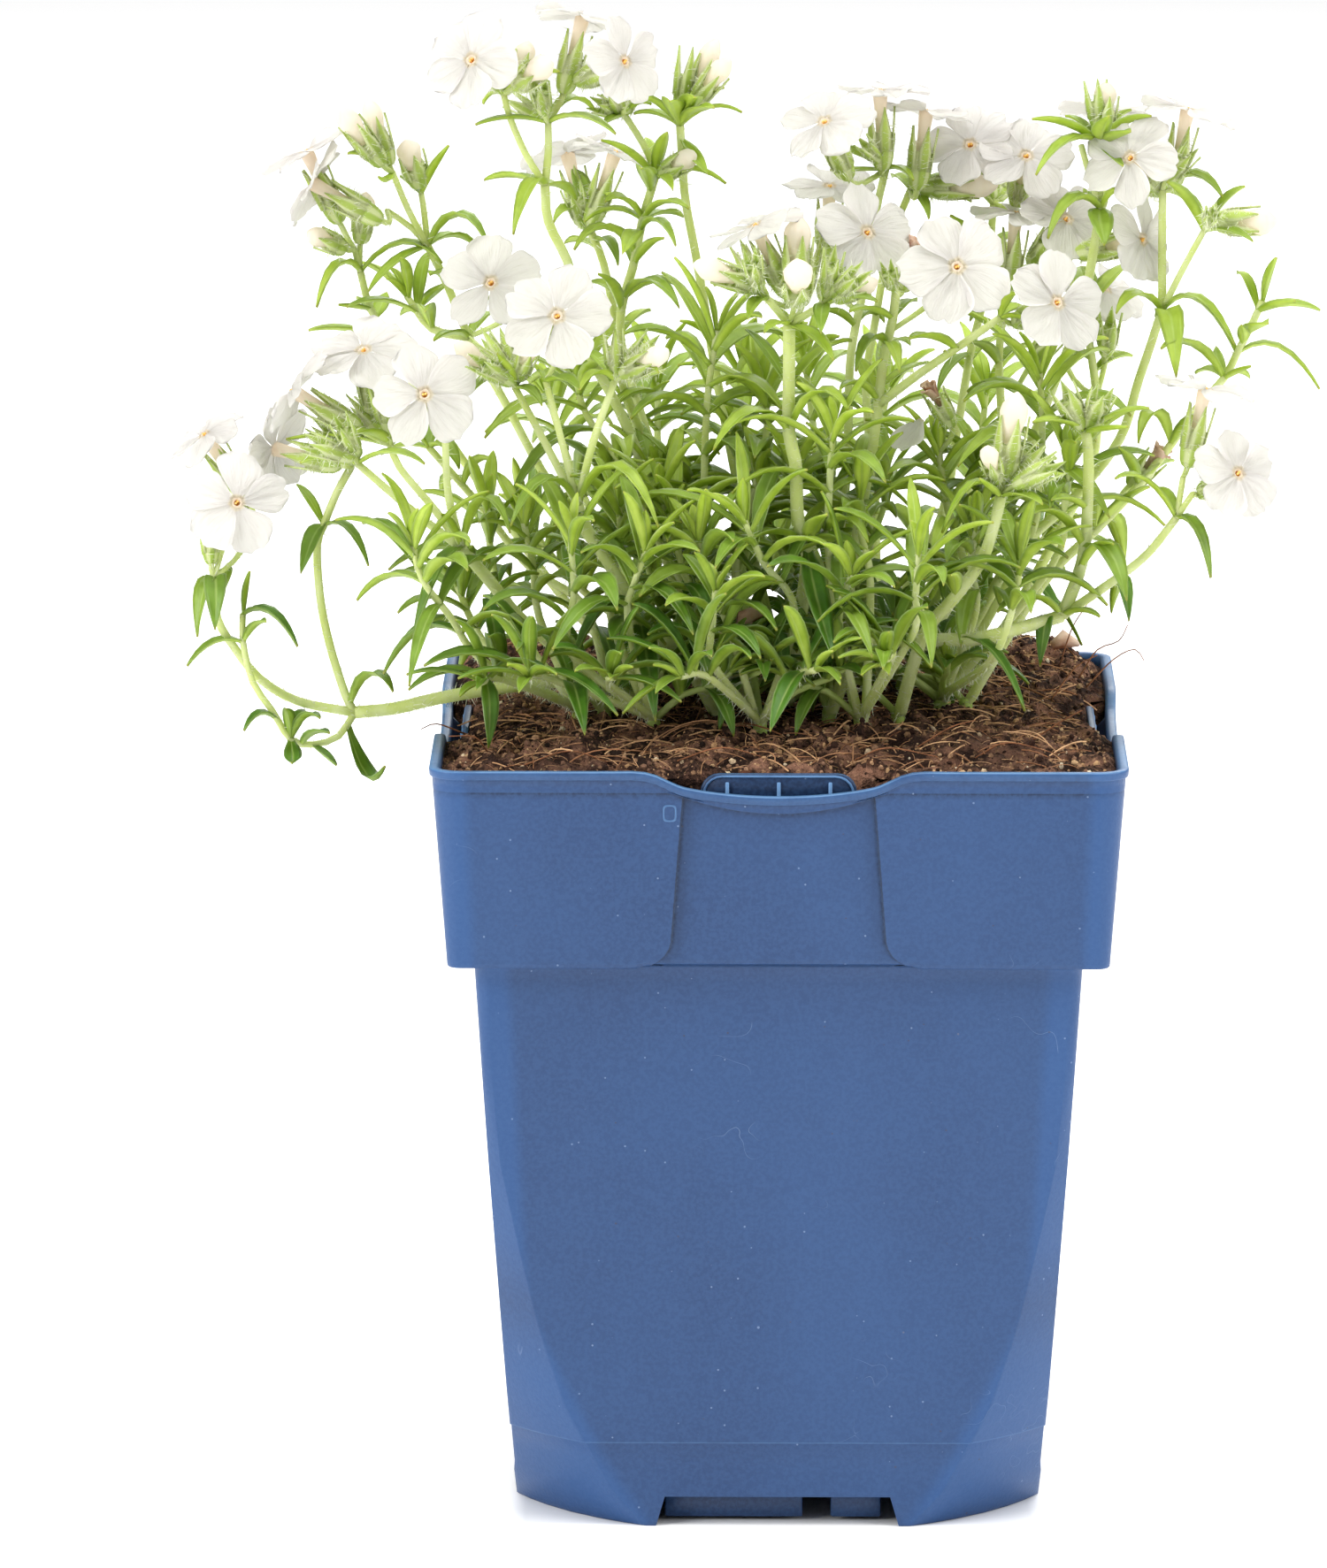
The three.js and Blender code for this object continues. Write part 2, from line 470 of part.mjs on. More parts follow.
      [2.8, 1, [17.5, -12, 190], [11, -20, 193]],
      [2.6, 1, [18, -12, 190], [22, -4, 192.5]],
      [2.4, 1, [35, -17, 191.5], [40, -10, 191.5]],
      [2.2, 1, [35, -17, 191.5], [37.5, -24, 196.5]],
      [2.4, 1, [35, -17, 191.5], [41.5, -22, 190.5]],
    ],
    "calyces": [
      [1, [18.5, -12, 195], [19.5, -8.5, 194.5], [22, -5, 200.5]],
      [0.7, [18.5, -12, 195], [18, -13, 195.5], [17, -20, 200]],
    ],
    "wilted": [
      [0.9, [18.5, -12, 195], [19.5, -7.5, 198], [22, -8, 203]],
    ],
    "blooms": [
      ["bloom_right_front", [17.5, -12, 189], [28, -26, 201], [0.16, -0.88, 0.44], 9.6, 36],
      ["bloom_right_low", [35, -17, 191.5], [44, -24, 195], [0.5, -0.78, 0.37], 9, 8],
    ],
  },
  "stem_upper_right": {
    "crown": [6, 4],
    "stems": [
      [0.7, 0.55, [[6, 4, 128], [9.5, 8, 150], [11, 10, 167], [11.5, 10, 181.5], [14, 10, 194.5],
        [15.5, 9, 205], [17, 8, 212]]],
    ],
    "leaves": [
      [3, 1, [17, 8, 212], [6, 2, 216.5]],
      [2.2, 0, [17, 8, 211.5], [8, 0, 213]],
      [2.2, 1, [17, 8, 212], [21.5, 2, 211]],
      [1.8, 0, [17, 8, 212], [18.5, 14, 217]],
      [2.4, 1, [12.5, 10, 187], [6.5, 4, 189.5]],
      [2.6, 2, [12, 10, 185.5], [17, 16, 186]],
    ],
    "calyces": [
      [0.7, [17, 8, 212], [16, 5, 213.5], [13, 0, 217.5]],
    ],
    "blooms": [
      ["bloom_upper_edge", [17, 8, 212], [16, 6, 225], [-0.03, 0.08, 0.99], 8.3, 0],
      ["bloom_upper_left", [17, 8, 212], [7, -6, 221.5], [-0.3, -0.55, 0.78], 8.4, 36],
      ["bloom_back_tilted", [12.5, 10, 188], [8, 10, 209], [0.04, -0.26, 0.96], 7.8, 25],
    ],
  },
  "stem_upper_right_b": {
    "crown": [14, 3],
    "stems": [
      [0.7, 0.5, [[14, 3, 128], [14.5, 12, 151], [14.5, 15, 166.5], [14, 16, 176.5], [15.5, 15, 186.5],
        [17, 14, 195.5], [18.5, 13, 201.5], [21, 12, 208]]],
    ],
    "leaves": [
      [2.4, 1, [21, 12, 208], [24, 4, 204.5]],
      [2.2, 1, [21, 12, 208], [31, 14, 206]],
      [2.6, 1, [21, 12, 208], [30.5, 16, 210]],
      [2.2, 1, [21, 12, 208], [18, 18, 209.5]],
    ],
    "buds": [
      [1, [21, 12, 208], [22.5, 10, 208.5], [35, 6, 209.5]],
      [0.8, [21, 12, 208], [21.5, 12, 209.5], [23, 12, 216.5]],
    ],
    "blooms": [
      ["blooms_right_row", [21, 12, 208], [23.5, 8, 221.5], [0.12, 0.15, 0.98], 8, 20],
    ],
  },
  "stem_right_front": {
    "crown": [19, -18],
    "stems": [
      [0.95, 0.8, [[19, -18, 128], [23, -24, 141.5], [28, -28, 148.5], [32, -30, 154.5],
        [34, -31, 160.5], [35, -31, 165]]],
    ],
    "leaves": [
      [3, 5, [35, -31, 165], [25.5, -36, 160]],
      [2.6, 1, [35, -31, 165], [41.5, -38, 165]],
      [2.4, 1, [35, -31, 165], [45, -26, 168]],
      [2, 0, [35, -31, 165], [31.5, -40, 169.5]],
      [2.6, 2, [28, -28, 148.5], [22, -34, 153]],
      [2.6, 1, [28.5, -28, 148.5], [27, -40, 154]],
    ],
    "calyces": [
      [1, [35, -31, 165], [36.5, -31, 167], [42.5, -30, 172.5]],
      [1, [35, -31, 165], [37, -33, 167], [44, -38, 171.5]],
    ],
    "buds": [
      [1.2, [35, -31, 165], [35.5, -31, 168], [37.5, -33, 182]],
      [0.8, [35, -31, 165], [34.5, -32, 167.5], [32.5, -38, 174]],
    ],
  },
  "stem_right_low": {
    "crown": [8, -15],
    "stems": [
      [1, 0.9, [[8, -15, 128.5], [13.5, -18, 138.5], [25, -20, 140], [32.5, -26, 141.5],
        [45, -20.5, 144]]],
      [0.9, 0.75, [[45, -20.5, 144], [47, -21, 149], [48.5, -22, 155], [49, -22, 163.5],
        [49, -22, 171], [48.5, -22, 174]]],
      [0.65, 0.55, [[45, -20.5, 144], [52.5, -22, 149.5], [58.5, -23, 154.5], [63, -24, 160.5]]],
      [0.45, 0.42, [[63, -24, 160.5], [64, -24, 167]]],
      [0.45, 0.42, [[63, -24, 160.5], [65.5, -25, 164.5]]],
    ],
    "leaves": [
      [2.4, 1, [48.5, -22, 174], [40, -28, 176.5]],
      [2.2, 1, [48.5, -22, 174], [58.5, -26, 178.5]],
      [2.4, 0, [48.5, -22, 174], [55, -32, 176.5]],
      [2.4, 1, [48.5, -22, 174], [45.5, -10, 179]],
      [3.6, 3, [48.5, -22, 155], [39.5, -28, 161.5]],
      [3.8, 4, [49, -22, 155], [55, -32, 148.5]],
      [2.6, 2, [48.5, -21, 150], [53, -28, 157]],
      [2.4, 1, [49, -22, 161.5], [43, -28, 164]],
      [3.4, 3, [44.5, -20, 144], [34.5, -28, 146]],
      [2.6, 3, [42, -20, 143.5], [41.5, -24, 136.5]],
      [2.4, 1, [44.5, -20, 144], [51, -26, 145]],
      [3, 4, [33, -20, 141.5], [39, -36, 131.5]],
      [2.2, 3, [63, -24, 160.5], [53, -28, 167.5]],
      [3, 3, [63, -24, 160.5], [68.5, -28, 151.5]],
      [2.2, 1, [63, -24, 160.5], [60, -16, 164]],
      [2.4, 2, [53.5, -22, 150], [55.5, -28, 144.5]],
      [2, 1, [53.5, -22, 150], [53, -14, 143.5]],
    ],
    "calyces": [
      [1.15, [48.5, -22, 174], [48, -22, 174.5], [44.5, -24, 181.5]],
      [1.15, [48.5, -22, 174], [49, -22, 174.5], [51.5, -24, 181]],
    ],
    "blooms": [
      ["bloom_right_edge", [64, -24, 167], [67.5, -22, 181], [0.22, 0.08, 0.97], 8.6, 10],
      ["bloom_far_right", [65.5, -25, 164.5], [72.5, -32, 169], [0.42, -0.82, 0.39], 7.8, 18],
    ],
  },
  "stem_right_tall": {
    "crown": [27, 2],
    "stems": [
      [0.8, 0.55, [[27, 2, 128], [36.5, 2, 148], [47.5, 0, 160], [54.5, -2, 169.5], [57.5, -4, 179.5],
        [60, -5, 187.5], [61, -6, 192], [61, -6, 199.5], [61, -6, 210.5]]],
      [0.5, 0.45, [[61, -6, 191], [64.5, -8, 198.5], [67.5, -10, 204.5]]],
    ],
    "leaves": [
      [3, 3, [61, -6, 211], [70.5, -10, 210]],
      [2.8, 1, [61, -6, 211], [68, 2, 205.5]],
      [3, 1, [67.5, -10, 204.5], [61.5, -14, 213]],
      [2.4, 1, [67.5, -10, 204.5], [74, -8, 211.5]],
      [1.8, 1, [67.5, -10, 204.5], [75, -18, 204]],
      [3, 3, [60.5, -6, 190.5], [53.5, -12, 191.5]],
      [2, 5, [61.5, -6, 191], [72.5, -12, 186.5]],
      [4, 5, [61, -5, 189.5], [63, -18, 182]],
      [2.6, 1, [60, -5, 189], [64, 6, 188]],
    ],
    "calyces": [
      [0.9, [61, -6, 210.5], [61.5, -7, 212], [65.5, -10, 217.5]],
      [0.7, [61, -6, 210.5], [60.5, -3, 210], [58.5, 6, 209.5]],
      [0.7, [67.5, -10, 204.5], [68, -12, 206], [68.5, -24, 209.5]],
    ],
    "buds": [
      [1.15, [67.5, -10, 204.5], [69, -11, 206], [79, -13, 206.5]],
    ],
    "blooms": [
      ["bloom_top_right", [61, -6, 210.5], [65, -5, 223.5], [0.2, 0.05, 0.98], 8.4, 15],
      ["bloom_right_upper", [61, -6, 210.5], [55.5, -12, 216.5], [-0.4, -0.75, 0.52], 8.6, 0],
    ],
  },
  "stem_right_top": {
    "crown": [20, 10],
    "stems": [
      [0.8, 0.65, [[20, 10, 128], [31, 12, 146.5], [39.5, 10, 164.5], [45, 6, 179.5], [47, 2, 185.5],
        [49, -2, 193.5], [50.5, -6, 203.5], [51, -7, 207.5]]],
      [0.5, 0.5, [[51, -7, 207.5], [51, -5, 213.4], [51, -4.3, 217.8]]],
      [0.42, 0.42, [[51, -7, 207.5], [49, -7, 214], [48, -5, 217.5]]],
    ],
    "leaves": [
      [3.2, 0, [51, -8, 218.5], [52, -18, 224]],
      [3.2, 0, [51, -8, 218.5], [55.5, -17, 221.5]],
      [3, 1, [51, -8, 218.5], [40, -10, 222.5]],
      [2.6, 3, [51, -8, 218.5], [40.5, -14, 214]],
      [3.2, 1, [51, -8, 218.5], [59, -10, 223]],
      [2.6, 1, [51, -8, 218.5], [56, -2, 223]],
      [2.2, 0, [51, -8, 218.5], [54.5, -14, 215.5]],
      [2.6, 1, [51, -8, 218.5], [45.5, -2, 222]],
      [3.2, 4, [51, -7, 207.5], [42.5, -12, 203.5]],
      [4, 1, [51, -7, 207.5], [51.5, -16, 203]],
      [2.2, 2, [51, -7, 207.5], [55.5, -10, 210]],
      [2.2, 1, [51, -7, 207.5], [48.5, 0, 209.5]],
    ],
    "calyces": [
      [1, [51, -4.3, 217.8], [51, -4.3, 219.3], [50, -4.3, 227.8]],
    ],
    "buds": [
      [1, [51, -4.3, 217.8], [51.5, -4.3, 219.3], [52, -4, 227.6]],
    ],
    "blooms": [
      ["bloom_top_right_back", [51, -7, 207.5], [52.5, 6, 222], [0.02, 0.35, 0.93], 8.2, 30],
    ],
  },
  "stem_back_right": {
    "crown": [12, 17],
    "stems": [
      [0.75, 0.55, [[12, 17, 128], [25.5, 20, 151], [29, 22, 168], [31, 22, 180], [33.5, 20, 191.5],
        [34.5, 17, 205]]],
    ],
    "leaves": [
      [3, 1, [34, 19, 196], [27.5, 12, 204]],
      [2.8, 1, [34, 19, 197], [38.5, 24, 199.5]],
      [2.4, 1, [31, 22, 180], [25.5, 14, 175]],
      [2.6, 1, [31, 22, 178.5], [36.5, 28, 182]],
    ],
    "calyces": [
      [0.9, [34.5, 17, 205], [34.5, 18, 205.5], [33, 22, 210]],
      [0.9, [34.5, 17, 205], [35, 19, 205.5], [37, 24, 209]],
    ],
    "blooms": [
      ["blooms_right_row", [34.5, 17, 205], [30.5, 8, 216], [-0.15, -0.75, 0.64], 8.3, 36],
      ["blooms_right_row", [34.5, 17, 205], [39.5, 6, 214.5], [0.1, -0.7, 0.7], 8.5, 10],
    ],
  },
  "stem_back_right_b": {
    "crown": [24, 14],
    "stems": [
      [0.75, 0.55, [[24, 14, 128], [34, 16, 149], [36, 16, 166], [35.5, 15, 181], [37, 13, 193]]],
    ],
    "leaves": [
      [3, 1, [36, 13, 191.5], [30.5, 4, 188]],
      [2.6, 1, [36, 13, 191.5], [42.5, 18, 195]],
      [3.2, 1, [35.5, 15, 178], [30.5, 8, 184]],
      [2.8, 1, [35.5, 15, 178], [40.5, 20, 181.5]],
    ],
    "calyces": [
      [0.9, [37, 13, 193], [37.5, 14, 194], [36, 18.5, 199]],
    ],
    "blooms": [
      ["blooms_right_mid", [37, 13, 193], [38, 8, 205], [0.1, 0.05, 0.99], 8.2, 5],
      ["blooms_right_mid", [37, 13, 193], [46, 4, 204.5], [0.42, -0.6, 0.68], 8.6, 24],
    ],
  },
  "stem_back_right_c": {
    "crown": [31, 10],
    "stems": [
      [0.8, 0.55, [[31, 10, 128], [44, 10, 150], [50.5, 8, 164.5], [51, 7, 175], [50, 5, 183],
        [49, 3, 189.5]]],
    ],
    "leaves": [
      [4, 1, [49, 3, 189.5], [48.5, 13, 195.5]],
      [3, 1, [49, 3, 189.5], [56.5, 14, 196]],
      [2.4, 1, [50.5, 6, 179.5], [57, 10, 181.5]],
      [2.4, 1, [50.5, 6, 181], [45.5, 14, 180.5]],
    ],
    "calyces": [
      [1, [51, 7, 175], [52.5, 6, 182], [53, 2, 189.5]],
    ],
    "blooms": [
      ["bloom_right_narrow", [49, 3, 189.5], [58, -6, 202.5], [0.8, -0.54, 0.25], 8, 0],
      ["bloom_right_behind", [51, 7, 175], [52.5, 12, 192.1], [0.42, -0.35, 0.84], 8.2, 28],
    ],
  },
  "shoot_right_tip": {
    "crown": [30, -8],
    "stems": [
      [0.75, 0.5, [[30, -8, 128], [42, -9, 147], [50.5, -10, 156], [57.5, -10, 163.5],
        [62.5, -10, 170], [66, -9, 175], [71, -8, 180.5], [73, -8, 184.5], [75.5, -8, 189.5],
        [77, -8, 193]]],
    ],
    "leaves": [
      [3.6, 0, [77, -8, 193], [79, -8, 200]],
      [2.6, 0, [76.5, -8, 191.5], [82, -14, 194]],
      [2.4, 1, [76.5, -8, 191], [87, -4, 191]],
      [2.2, 2, [76.5, -8, 191.5], [73, -4, 197]],
      [3.4, 0, [75, -8, 188.5], [77.5, -18, 191]],
      [2, 0, [73.5, -8, 185.5], [73.5, -14, 190]],
      [2, 4, [73.5, -8, 185], [87, -6, 178.5]],
      [2, 4, [73, -8, 184.5], [62.5, 2, 191.5]],
      [2.8, 3, [71.5, -8, 181.5], [60.5, -16, 186.5]],
      [1.8, 0, [71.5, -8, 181.5], [70, 0, 184.5]],
      [1.8, 0, [71.5, -8, 181.5], [75, -14, 183.5]],
      [2, 1, [71, -8, 180.5], [75.5, 0, 179.5]],
      [2.2, 1, [71, -8, 180.5], [66.5, -2, 180.5]],
      [3, 5, [63, -10, 170.5], [57, -18, 171.5]],
      [2.6, 1, [63, -10, 170.5], [67, -20, 176.5]],
      [2.6, 1, [58, -10, 163.5], [54, -18, 171]],
      [3.2, 1, [51.5, -10, 156.5], [59, -14, 164]],
      [2.6, 1, [51.5, -10, 156.5], [50.5, -16, 162.5]],
      [3.4, 3, [52, -10, 157.5], [55.5, -4, 150]],
      [2.6, 1, [58, -10, 163.5], [63.5, 0, 166]],
    ],
  },
  "leafy_left": {
    "crown": [-32, -16],
    "shoots": [
      [3, 14, [[-32, -16, 128], [-47, -26, 137.5], [-52, -29, 145], [-56.5, -31, 151.5],
        [-57.9, -32.4, 157.2]]],
      [2, 11, [[-32, -16, 128], [-44, -20, 135.5], [-49, -18, 142.5], [-51.5, -17, 148.5]]],
      [3, 13, [[-32, -16, 128], [-43.5, -6, 141], [-46, -4, 149], [-47, -4, 158.5]]],
      [1, 12, [[-32, -16, 128], [-44, -28, 135], [-47, -34, 135.5]]],
      [2, 12, [[-32, -16, 128], [-38.5, -8, 141.5], [-39.5, -6, 149.5], [-41, -6, 156.5]]],
    ],
  },
  "leafy_front_left": {
    "crown": [-20, -24],
    "shoots": [
      [3, 15, [[-20, -24, 128], [-33, -30, 139.5], [-32.5, -31, 149], [-33, -32, 158.5]]],
      [1, 12, [[-20, -24, 128], [-27, -34, 135.5], [-26, -38, 137]]],
      [2, 14, [[-20, -24, 128], [-24, -30, 145], [-23, -32, 151], [-21, -33, 156.5]]],
      [2, 14, [[-20, -24, 128], [-37, -32, 136], [-39.5, -38, 137]]],
      [2, 13, [[-20, -24, 128], [-27, -24, 145.5], [-25.5, -18, 154.5], [-25.5, -17, 161.5]]],
    ],
  },
  "leafy_centre": {
    "crown": [-5, -5],
    "shoots": [
      [4, 15, [[-5, -5, 128], [-12, -9, 150], [-12, -11, 164.5], [-11.5, -11, 177.5],
        [-10, -11, 188.5]]],
      [3, 14, [[-5, -5, 128], [-19, -2, 152], [-24.5, 1, 163.5], [-31, 3, 172.5], [-33, 4, 179.5]]],
      [2, 13, [[-5, -5, 128], [-17.5, -12, 149], [-18, -13, 156.5], [-19, -14, 162.5]]],
      [2, 13, [[-5, -5, 128], [-7, -8, 150], [-4.5, -8, 160], [-2, -7, 172.5], [-3, -6, 178.5]]],
      [2, 13, [[-5, -5, 128], [-11.5, -14, 142.5], [-15.5, -16, 151], [-16.5, -17, 158.5]]],
    ],
  },
  "leafy_front_centre": {
    "crown": [-3, -26],
    "shoots": [
      [2, 10, [[-3, -26, 128], [-10.5, -33, 138.5], [-10.5, -36, 145.5], [-10, -37, 151]]],
      [1, 13, [[-3, -26, 128], [2.5, -34, 136.5], [6, -39, 138.5]]],
      [2, 15, [[-3, -26, 128], [2.5, -27, 145.5], [-2.5, -29, 154], [-5.5, -31, 161]]],
      [1, 13, [[-3, -26, 128], [-11.5, -36, 137], [-15.5, -40, 137.5]]],
      [2, 12, [[-3, -26, 128], [-7.5, -28, 142], [-11.5, -28, 152], [-13, -28, 157.5]]],
    ],
  },
  "leafy_right_centre": {
    "crown": [13, -22],
    "shoots": [
      [3, 14, [[13, -22, 128], [8, -22, 152.5], [8, -23, 166], [8.5, -24, 174.5]]],
      [2, 14, [[13, -22, 128], [21.5, -33, 144], [21.5, -35, 149], [22, -37, 157]]],
      [2, 13, [[13, -22, 128], [14.5, -22, 149.5], [13, -20, 157.5], [13, -19, 164.5]]],
      [2, 13, [[13, -22, 128], [9.5, -30, 145], [11.5, -34, 153]]],
      [1, 13, [[13, -22, 128], [18, -34, 140], [16.5, -40, 139.5]]],
    ],
  },
  "leafy_right": {
    "crown": [26, -5],
    "shoots": [
      [3, 13, [[26, -5, 128], [30, -8, 147], [27, -8, 159], [25.5, -8, 168.5]]],
      [2, 13, [[26, -5, 128], [31.5, -12, 143.5], [30.5, -14, 151], [31.5, -15, 157]]],
      [4, 16, [[26, -5, 128], [39.5, -8, 153], [41.5, -9, 163], [42, -9, 173], [41.5, -10, 181.5]]],
      [2, 13, [[26, -5, 128], [43.5, -14, 151], [45.5, -15, 161], [46.5, -15, 168]]],
      [2, 13, [[26, -5, 128], [34, -27.5, 138.5], [37.5, -29, 149], [38, -28, 154.5]]],
    ],
    "wilted": [
      [0.9, [25.5, -8, 168.5], [27.5, -8, 172.5], [23.5, -11, 180.5]],
    ],
  },
  "leafy_back_left": {
    "crown": [-16, 28],
    "shoots": [
      [3, 13, [[-16, 28, 128], [-26, 34, 142], [-34, 38, 158], [-38, 40, 170]]],
      [3, 13, [[-16, 28, 128], [-18, 40, 144], [-20, 46, 160], [-20, 48, 172]]],
      [3, 13, [[-16, 28, 128], [-8, 36, 146], [-6, 40, 162], [-6, 42, 176]]],
      [2, 12, [[-16, 28, 128], [-32, 26, 140], [-42, 26, 152]]],
      [2, 12, [[-16, 28, 128], [-22, 42, 136], [-28, 50, 144]]],
      [2, 12, [[-16, 28, 128], [-4, 44, 138], [0, 52, 146]]],
    ],
  },
  "leafy_back_right": {
    "crown": [16, 28],
    "shoots": [
      [3, 13, [[16, 28, 128], [26, 34, 142], [32, 36, 158], [34, 38, 172]]],
      [3, 13, [[16, 28, 128], [16, 40, 144], [16, 46, 160], [18, 50, 170]]],
      [3, 13, [[16, 28, 128], [8, 34, 146], [6, 36, 162], [4, 36, 178]]],
      [2, 12, [[16, 28, 128], [34, 24, 140], [44, 24, 150]]],
      [2, 12, [[16, 28, 128], [26, 42, 136], [34, 50, 142]]],
      [2, 12, [[16, 28, 128], [12, 46, 138], [10, 54, 144]]],
    ],
  },
};

// ---------------------------------------------------------------- helpers

// Seeded draws, the same on every run
function draws(seed) {
  let state = seed >>> 0;
  return () => {
    state = (state + 0x6d2b79f5) >>> 0;
    let t = state;
    t = Math.imul(t ^ (t >>> 15), t | 1);
    t ^= t + Math.imul(t ^ (t >>> 7), t | 61);
    return ((t ^ (t >>> 14)) >>> 0) / 4294967296;
  };
}

const UP = new THREE.Vector3(0, 0, 1);
const vector = ([x, y, z]) => new THREE.Vector3(x, y, z);

// A closed mesh as a solid, turned the right way out if its volume is negative
function solid(geometry) {
  geometry.deleteAttribute('normal');
  geometry.deleteAttribute('uv');
  const merged = mergeVertices(geometry, 1e-5);
  const vertProperties = new Float32Array(merged.attributes.position.array);
  const triVerts = new Uint32Array(merged.index.array);
  if (signedVolume(vertProperties, triVerts) < 0) {
    for (let i = 0; i < triVerts.length; i += 3) {
      [triVerts[i], triVerts[i + 1]] = [triVerts[i + 1], triVerts[i]];
    }
  }
  return new Manifold(new wasm.Mesh({ numProp: 3, vertProperties, triVerts }));
}

function signedVolume(p, t) {
  const [a, b, c] = [new THREE.Vector3(), new THREE.Vector3(), new THREE.Vector3()];
  let sum = 0;
  for (let i = 0; i < t.length; i += 3) {
    a.fromArray(p, 3 * t[i]);
    b.fromArray(p, 3 * t[i + 1]);
    c.fromArray(p, 3 * t[i + 2]);
    sum += a.dot(b.cross(c));
  }
  return sum;
}

function geometryOf(points, triangles) {
  const geometry = new THREE.BufferGeometry();
  const flat = points.flatMap((p) => [p.x, p.y, p.z]);
  geometry.setAttribute('position', new THREE.Float32BufferAttribute(flat, 3));
  geometry.setIndex(triangles.flat());
  return geometry;
}

// The triangles between two rings of n points that start at a and b
function wall(a, b, n) {
  const triangles = [];
  for (let i = 0; i < n; i++) {
    const j = (i + 1) % n;
    triangles.push([a + i, a + j, b + j], [a + i, b + j, b + i]);
  }
  return triangles;
}

// Rings of equally many points joined by walls, with a fan across the first and the last
function loft(rings) {
  const n = rings[0].length;
  const triangles = [];
  for (let k = 0; k + 1 < rings.length; k++) triangles.push(...wall(k * n, (k + 1) * n, n));
  const last = (rings.length - 1) * n;
  for (let i = 1; i + 1 < n; i++) {
    triangles.push([0, i + 1, i], [last, last + i, last + i + 1]);
  }
  return solid(geometryOf(rings.flat(), triangles));
}

function box(x, y, z) {
  const geometry = new THREE.BoxGeometry(x[1] - x[0], y[1] - y[0], z[1] - z[0]);
  return solid(geometry.translate((x[0] + x[1]) / 2, (y[0] + y[1]) / 2, (z[0] + z[1]) / 2));
}

// The same solid on all four sides of the pot
function onSides(piece, sides = [0, 1, 2, 3]) {
  return sides.map((side) => piece.rotate([0, 0, 90 * side]));
}

const join = (pieces) => pieces.reduce((all, piece) => all.add(piece));
const cut = (piece, cutters) => cutters.reduce((left, cutter) => left.subtract(cutter), piece);

function meshOf(name, piece, [colour, roughness]) {
  const mesh = piece.simplify(SHORTEST_EDGE).getMesh();
  const geometry = new THREE.BufferGeometry();
  geometry.setAttribute('position', new THREE.Float32BufferAttribute(mesh.vertProperties, 3));
  geometry.setIndex(new THREE.Uint32BufferAttribute(mesh.triVerts, 1));
  geometry.computeVertexNormals();
  const material = new THREE.MeshStandardMaterial({ color: colour, roughness, metalness: 0 });
  const object = new THREE.Mesh(geometry, material);
  object.name = name;
  return object;
}

// The largest connected body of a solid; loose scraps are dropped
function largest(piece) {
  const bodies = piece.decompose();
  return bodies.reduce((best, body) => (body.volume() > best.volume() ? body : best));
}

// ---------------------------------------------------------------- pot

// One ring of the pot's outline: half its width, and the corner's arc about (centre, centre)
function potRing(z, half, flat, centre) {
  const ring = [];
  const from = Math.atan2(flat - centre, half - centre);
  const to = Math.atan2(half - centre, flat - centre);
  const radius = Math.hypot(half - centre, flat - centre);
  for (let side = 0; side < 4; side++) {
    for (let i = 0; i <= CORNER_STEPS; i++) {
      const angle = from + ((to - from) * i) / CORNER_STEPS;
      const point = new THREE.Vector3(radius * Math.cos(angle), radius * Math.sin(angle), z);
      point.add(new THREE.Vector3(centre, centre, 0));
      ring.push(point.applyAxisAngle(UP, (side * Math.PI) / 2));
    }
  }
  return ring;
}

const bodyHalf = (z) => BASE_HALF + ((SHOULDER_HALF - BASE_HALF) * z) / (POT_HEIGHT - BAND_HEIGHT);
const bandHalf = (z) => RIM_HALF - ((RIM_HALF - BAND_FOOT_HALF) * (POT_HEIGHT - z)) / BAND_HEIGHT;

function cutRing(z, cutRadius, inset) {
  const half = bodyHalf(z) - inset;
  return potRing(z, half, Math.sqrt((cutRadius - inset) ** 2 - half ** 2), 0);
}

function squareRing(z, half) {
  const flat = half - CORNER_RADIUS;
  return potRing(z, half, flat, flat);
}

function lowerBody(inset, from, cuts = CORNER_CUT) {
  const rings = cuts.filter(([z]) => z > from).map(([z, radius]) => cutRing(z, radius, inset));
  const [[, lowest], [height, next]] = CORNER_CUT;
  rings.unshift(cutRing(from, THREE.MathUtils.mapLinear(from, 0, height, lowest, next), inset));
  rings.push(squareRing(STRAIGHT_CORNERS_FROM, bodyHalf(STRAIGHT_CORNERS_FROM) - inset));
  const top = POT_HEIGHT - BAND_HEIGHT + SHOULDER_LAP;
  rings.push(squareRing(top, bodyHalf(top) - inset));
  return loft(rings);
}

function band(inset, from, to) {
  return loft([squareRing(from, bandHalf(from) - inset), squareRing(to, bandHalf(to) - inset)]);
}

function prism(outline, from, to) {
  const shape = new THREE.Shape(outline.map(([x, z]) => new THREE.Vector2(x, z)));
  const geometry = new THREE.ExtrudeGeometry(shape, { depth: to - from, bevelEnabled: false });
  return solid(geometry.rotateX(Math.PI / 2).translate(0, -from, 0));
}

// What is cut out of the rim's middle on the front and back together
function rimDip() {
  const right = RIM_DIP.map(([x, drop]) => [x, POT_HEIGHT - drop]);
  const left = RIM_DIP.slice(1).map(([x, drop]) => [-x, POT_HEIGHT - drop]).reverse();
  return prism([...left, ...right, [22, 130], [-22, 130]], -60, 60);
}

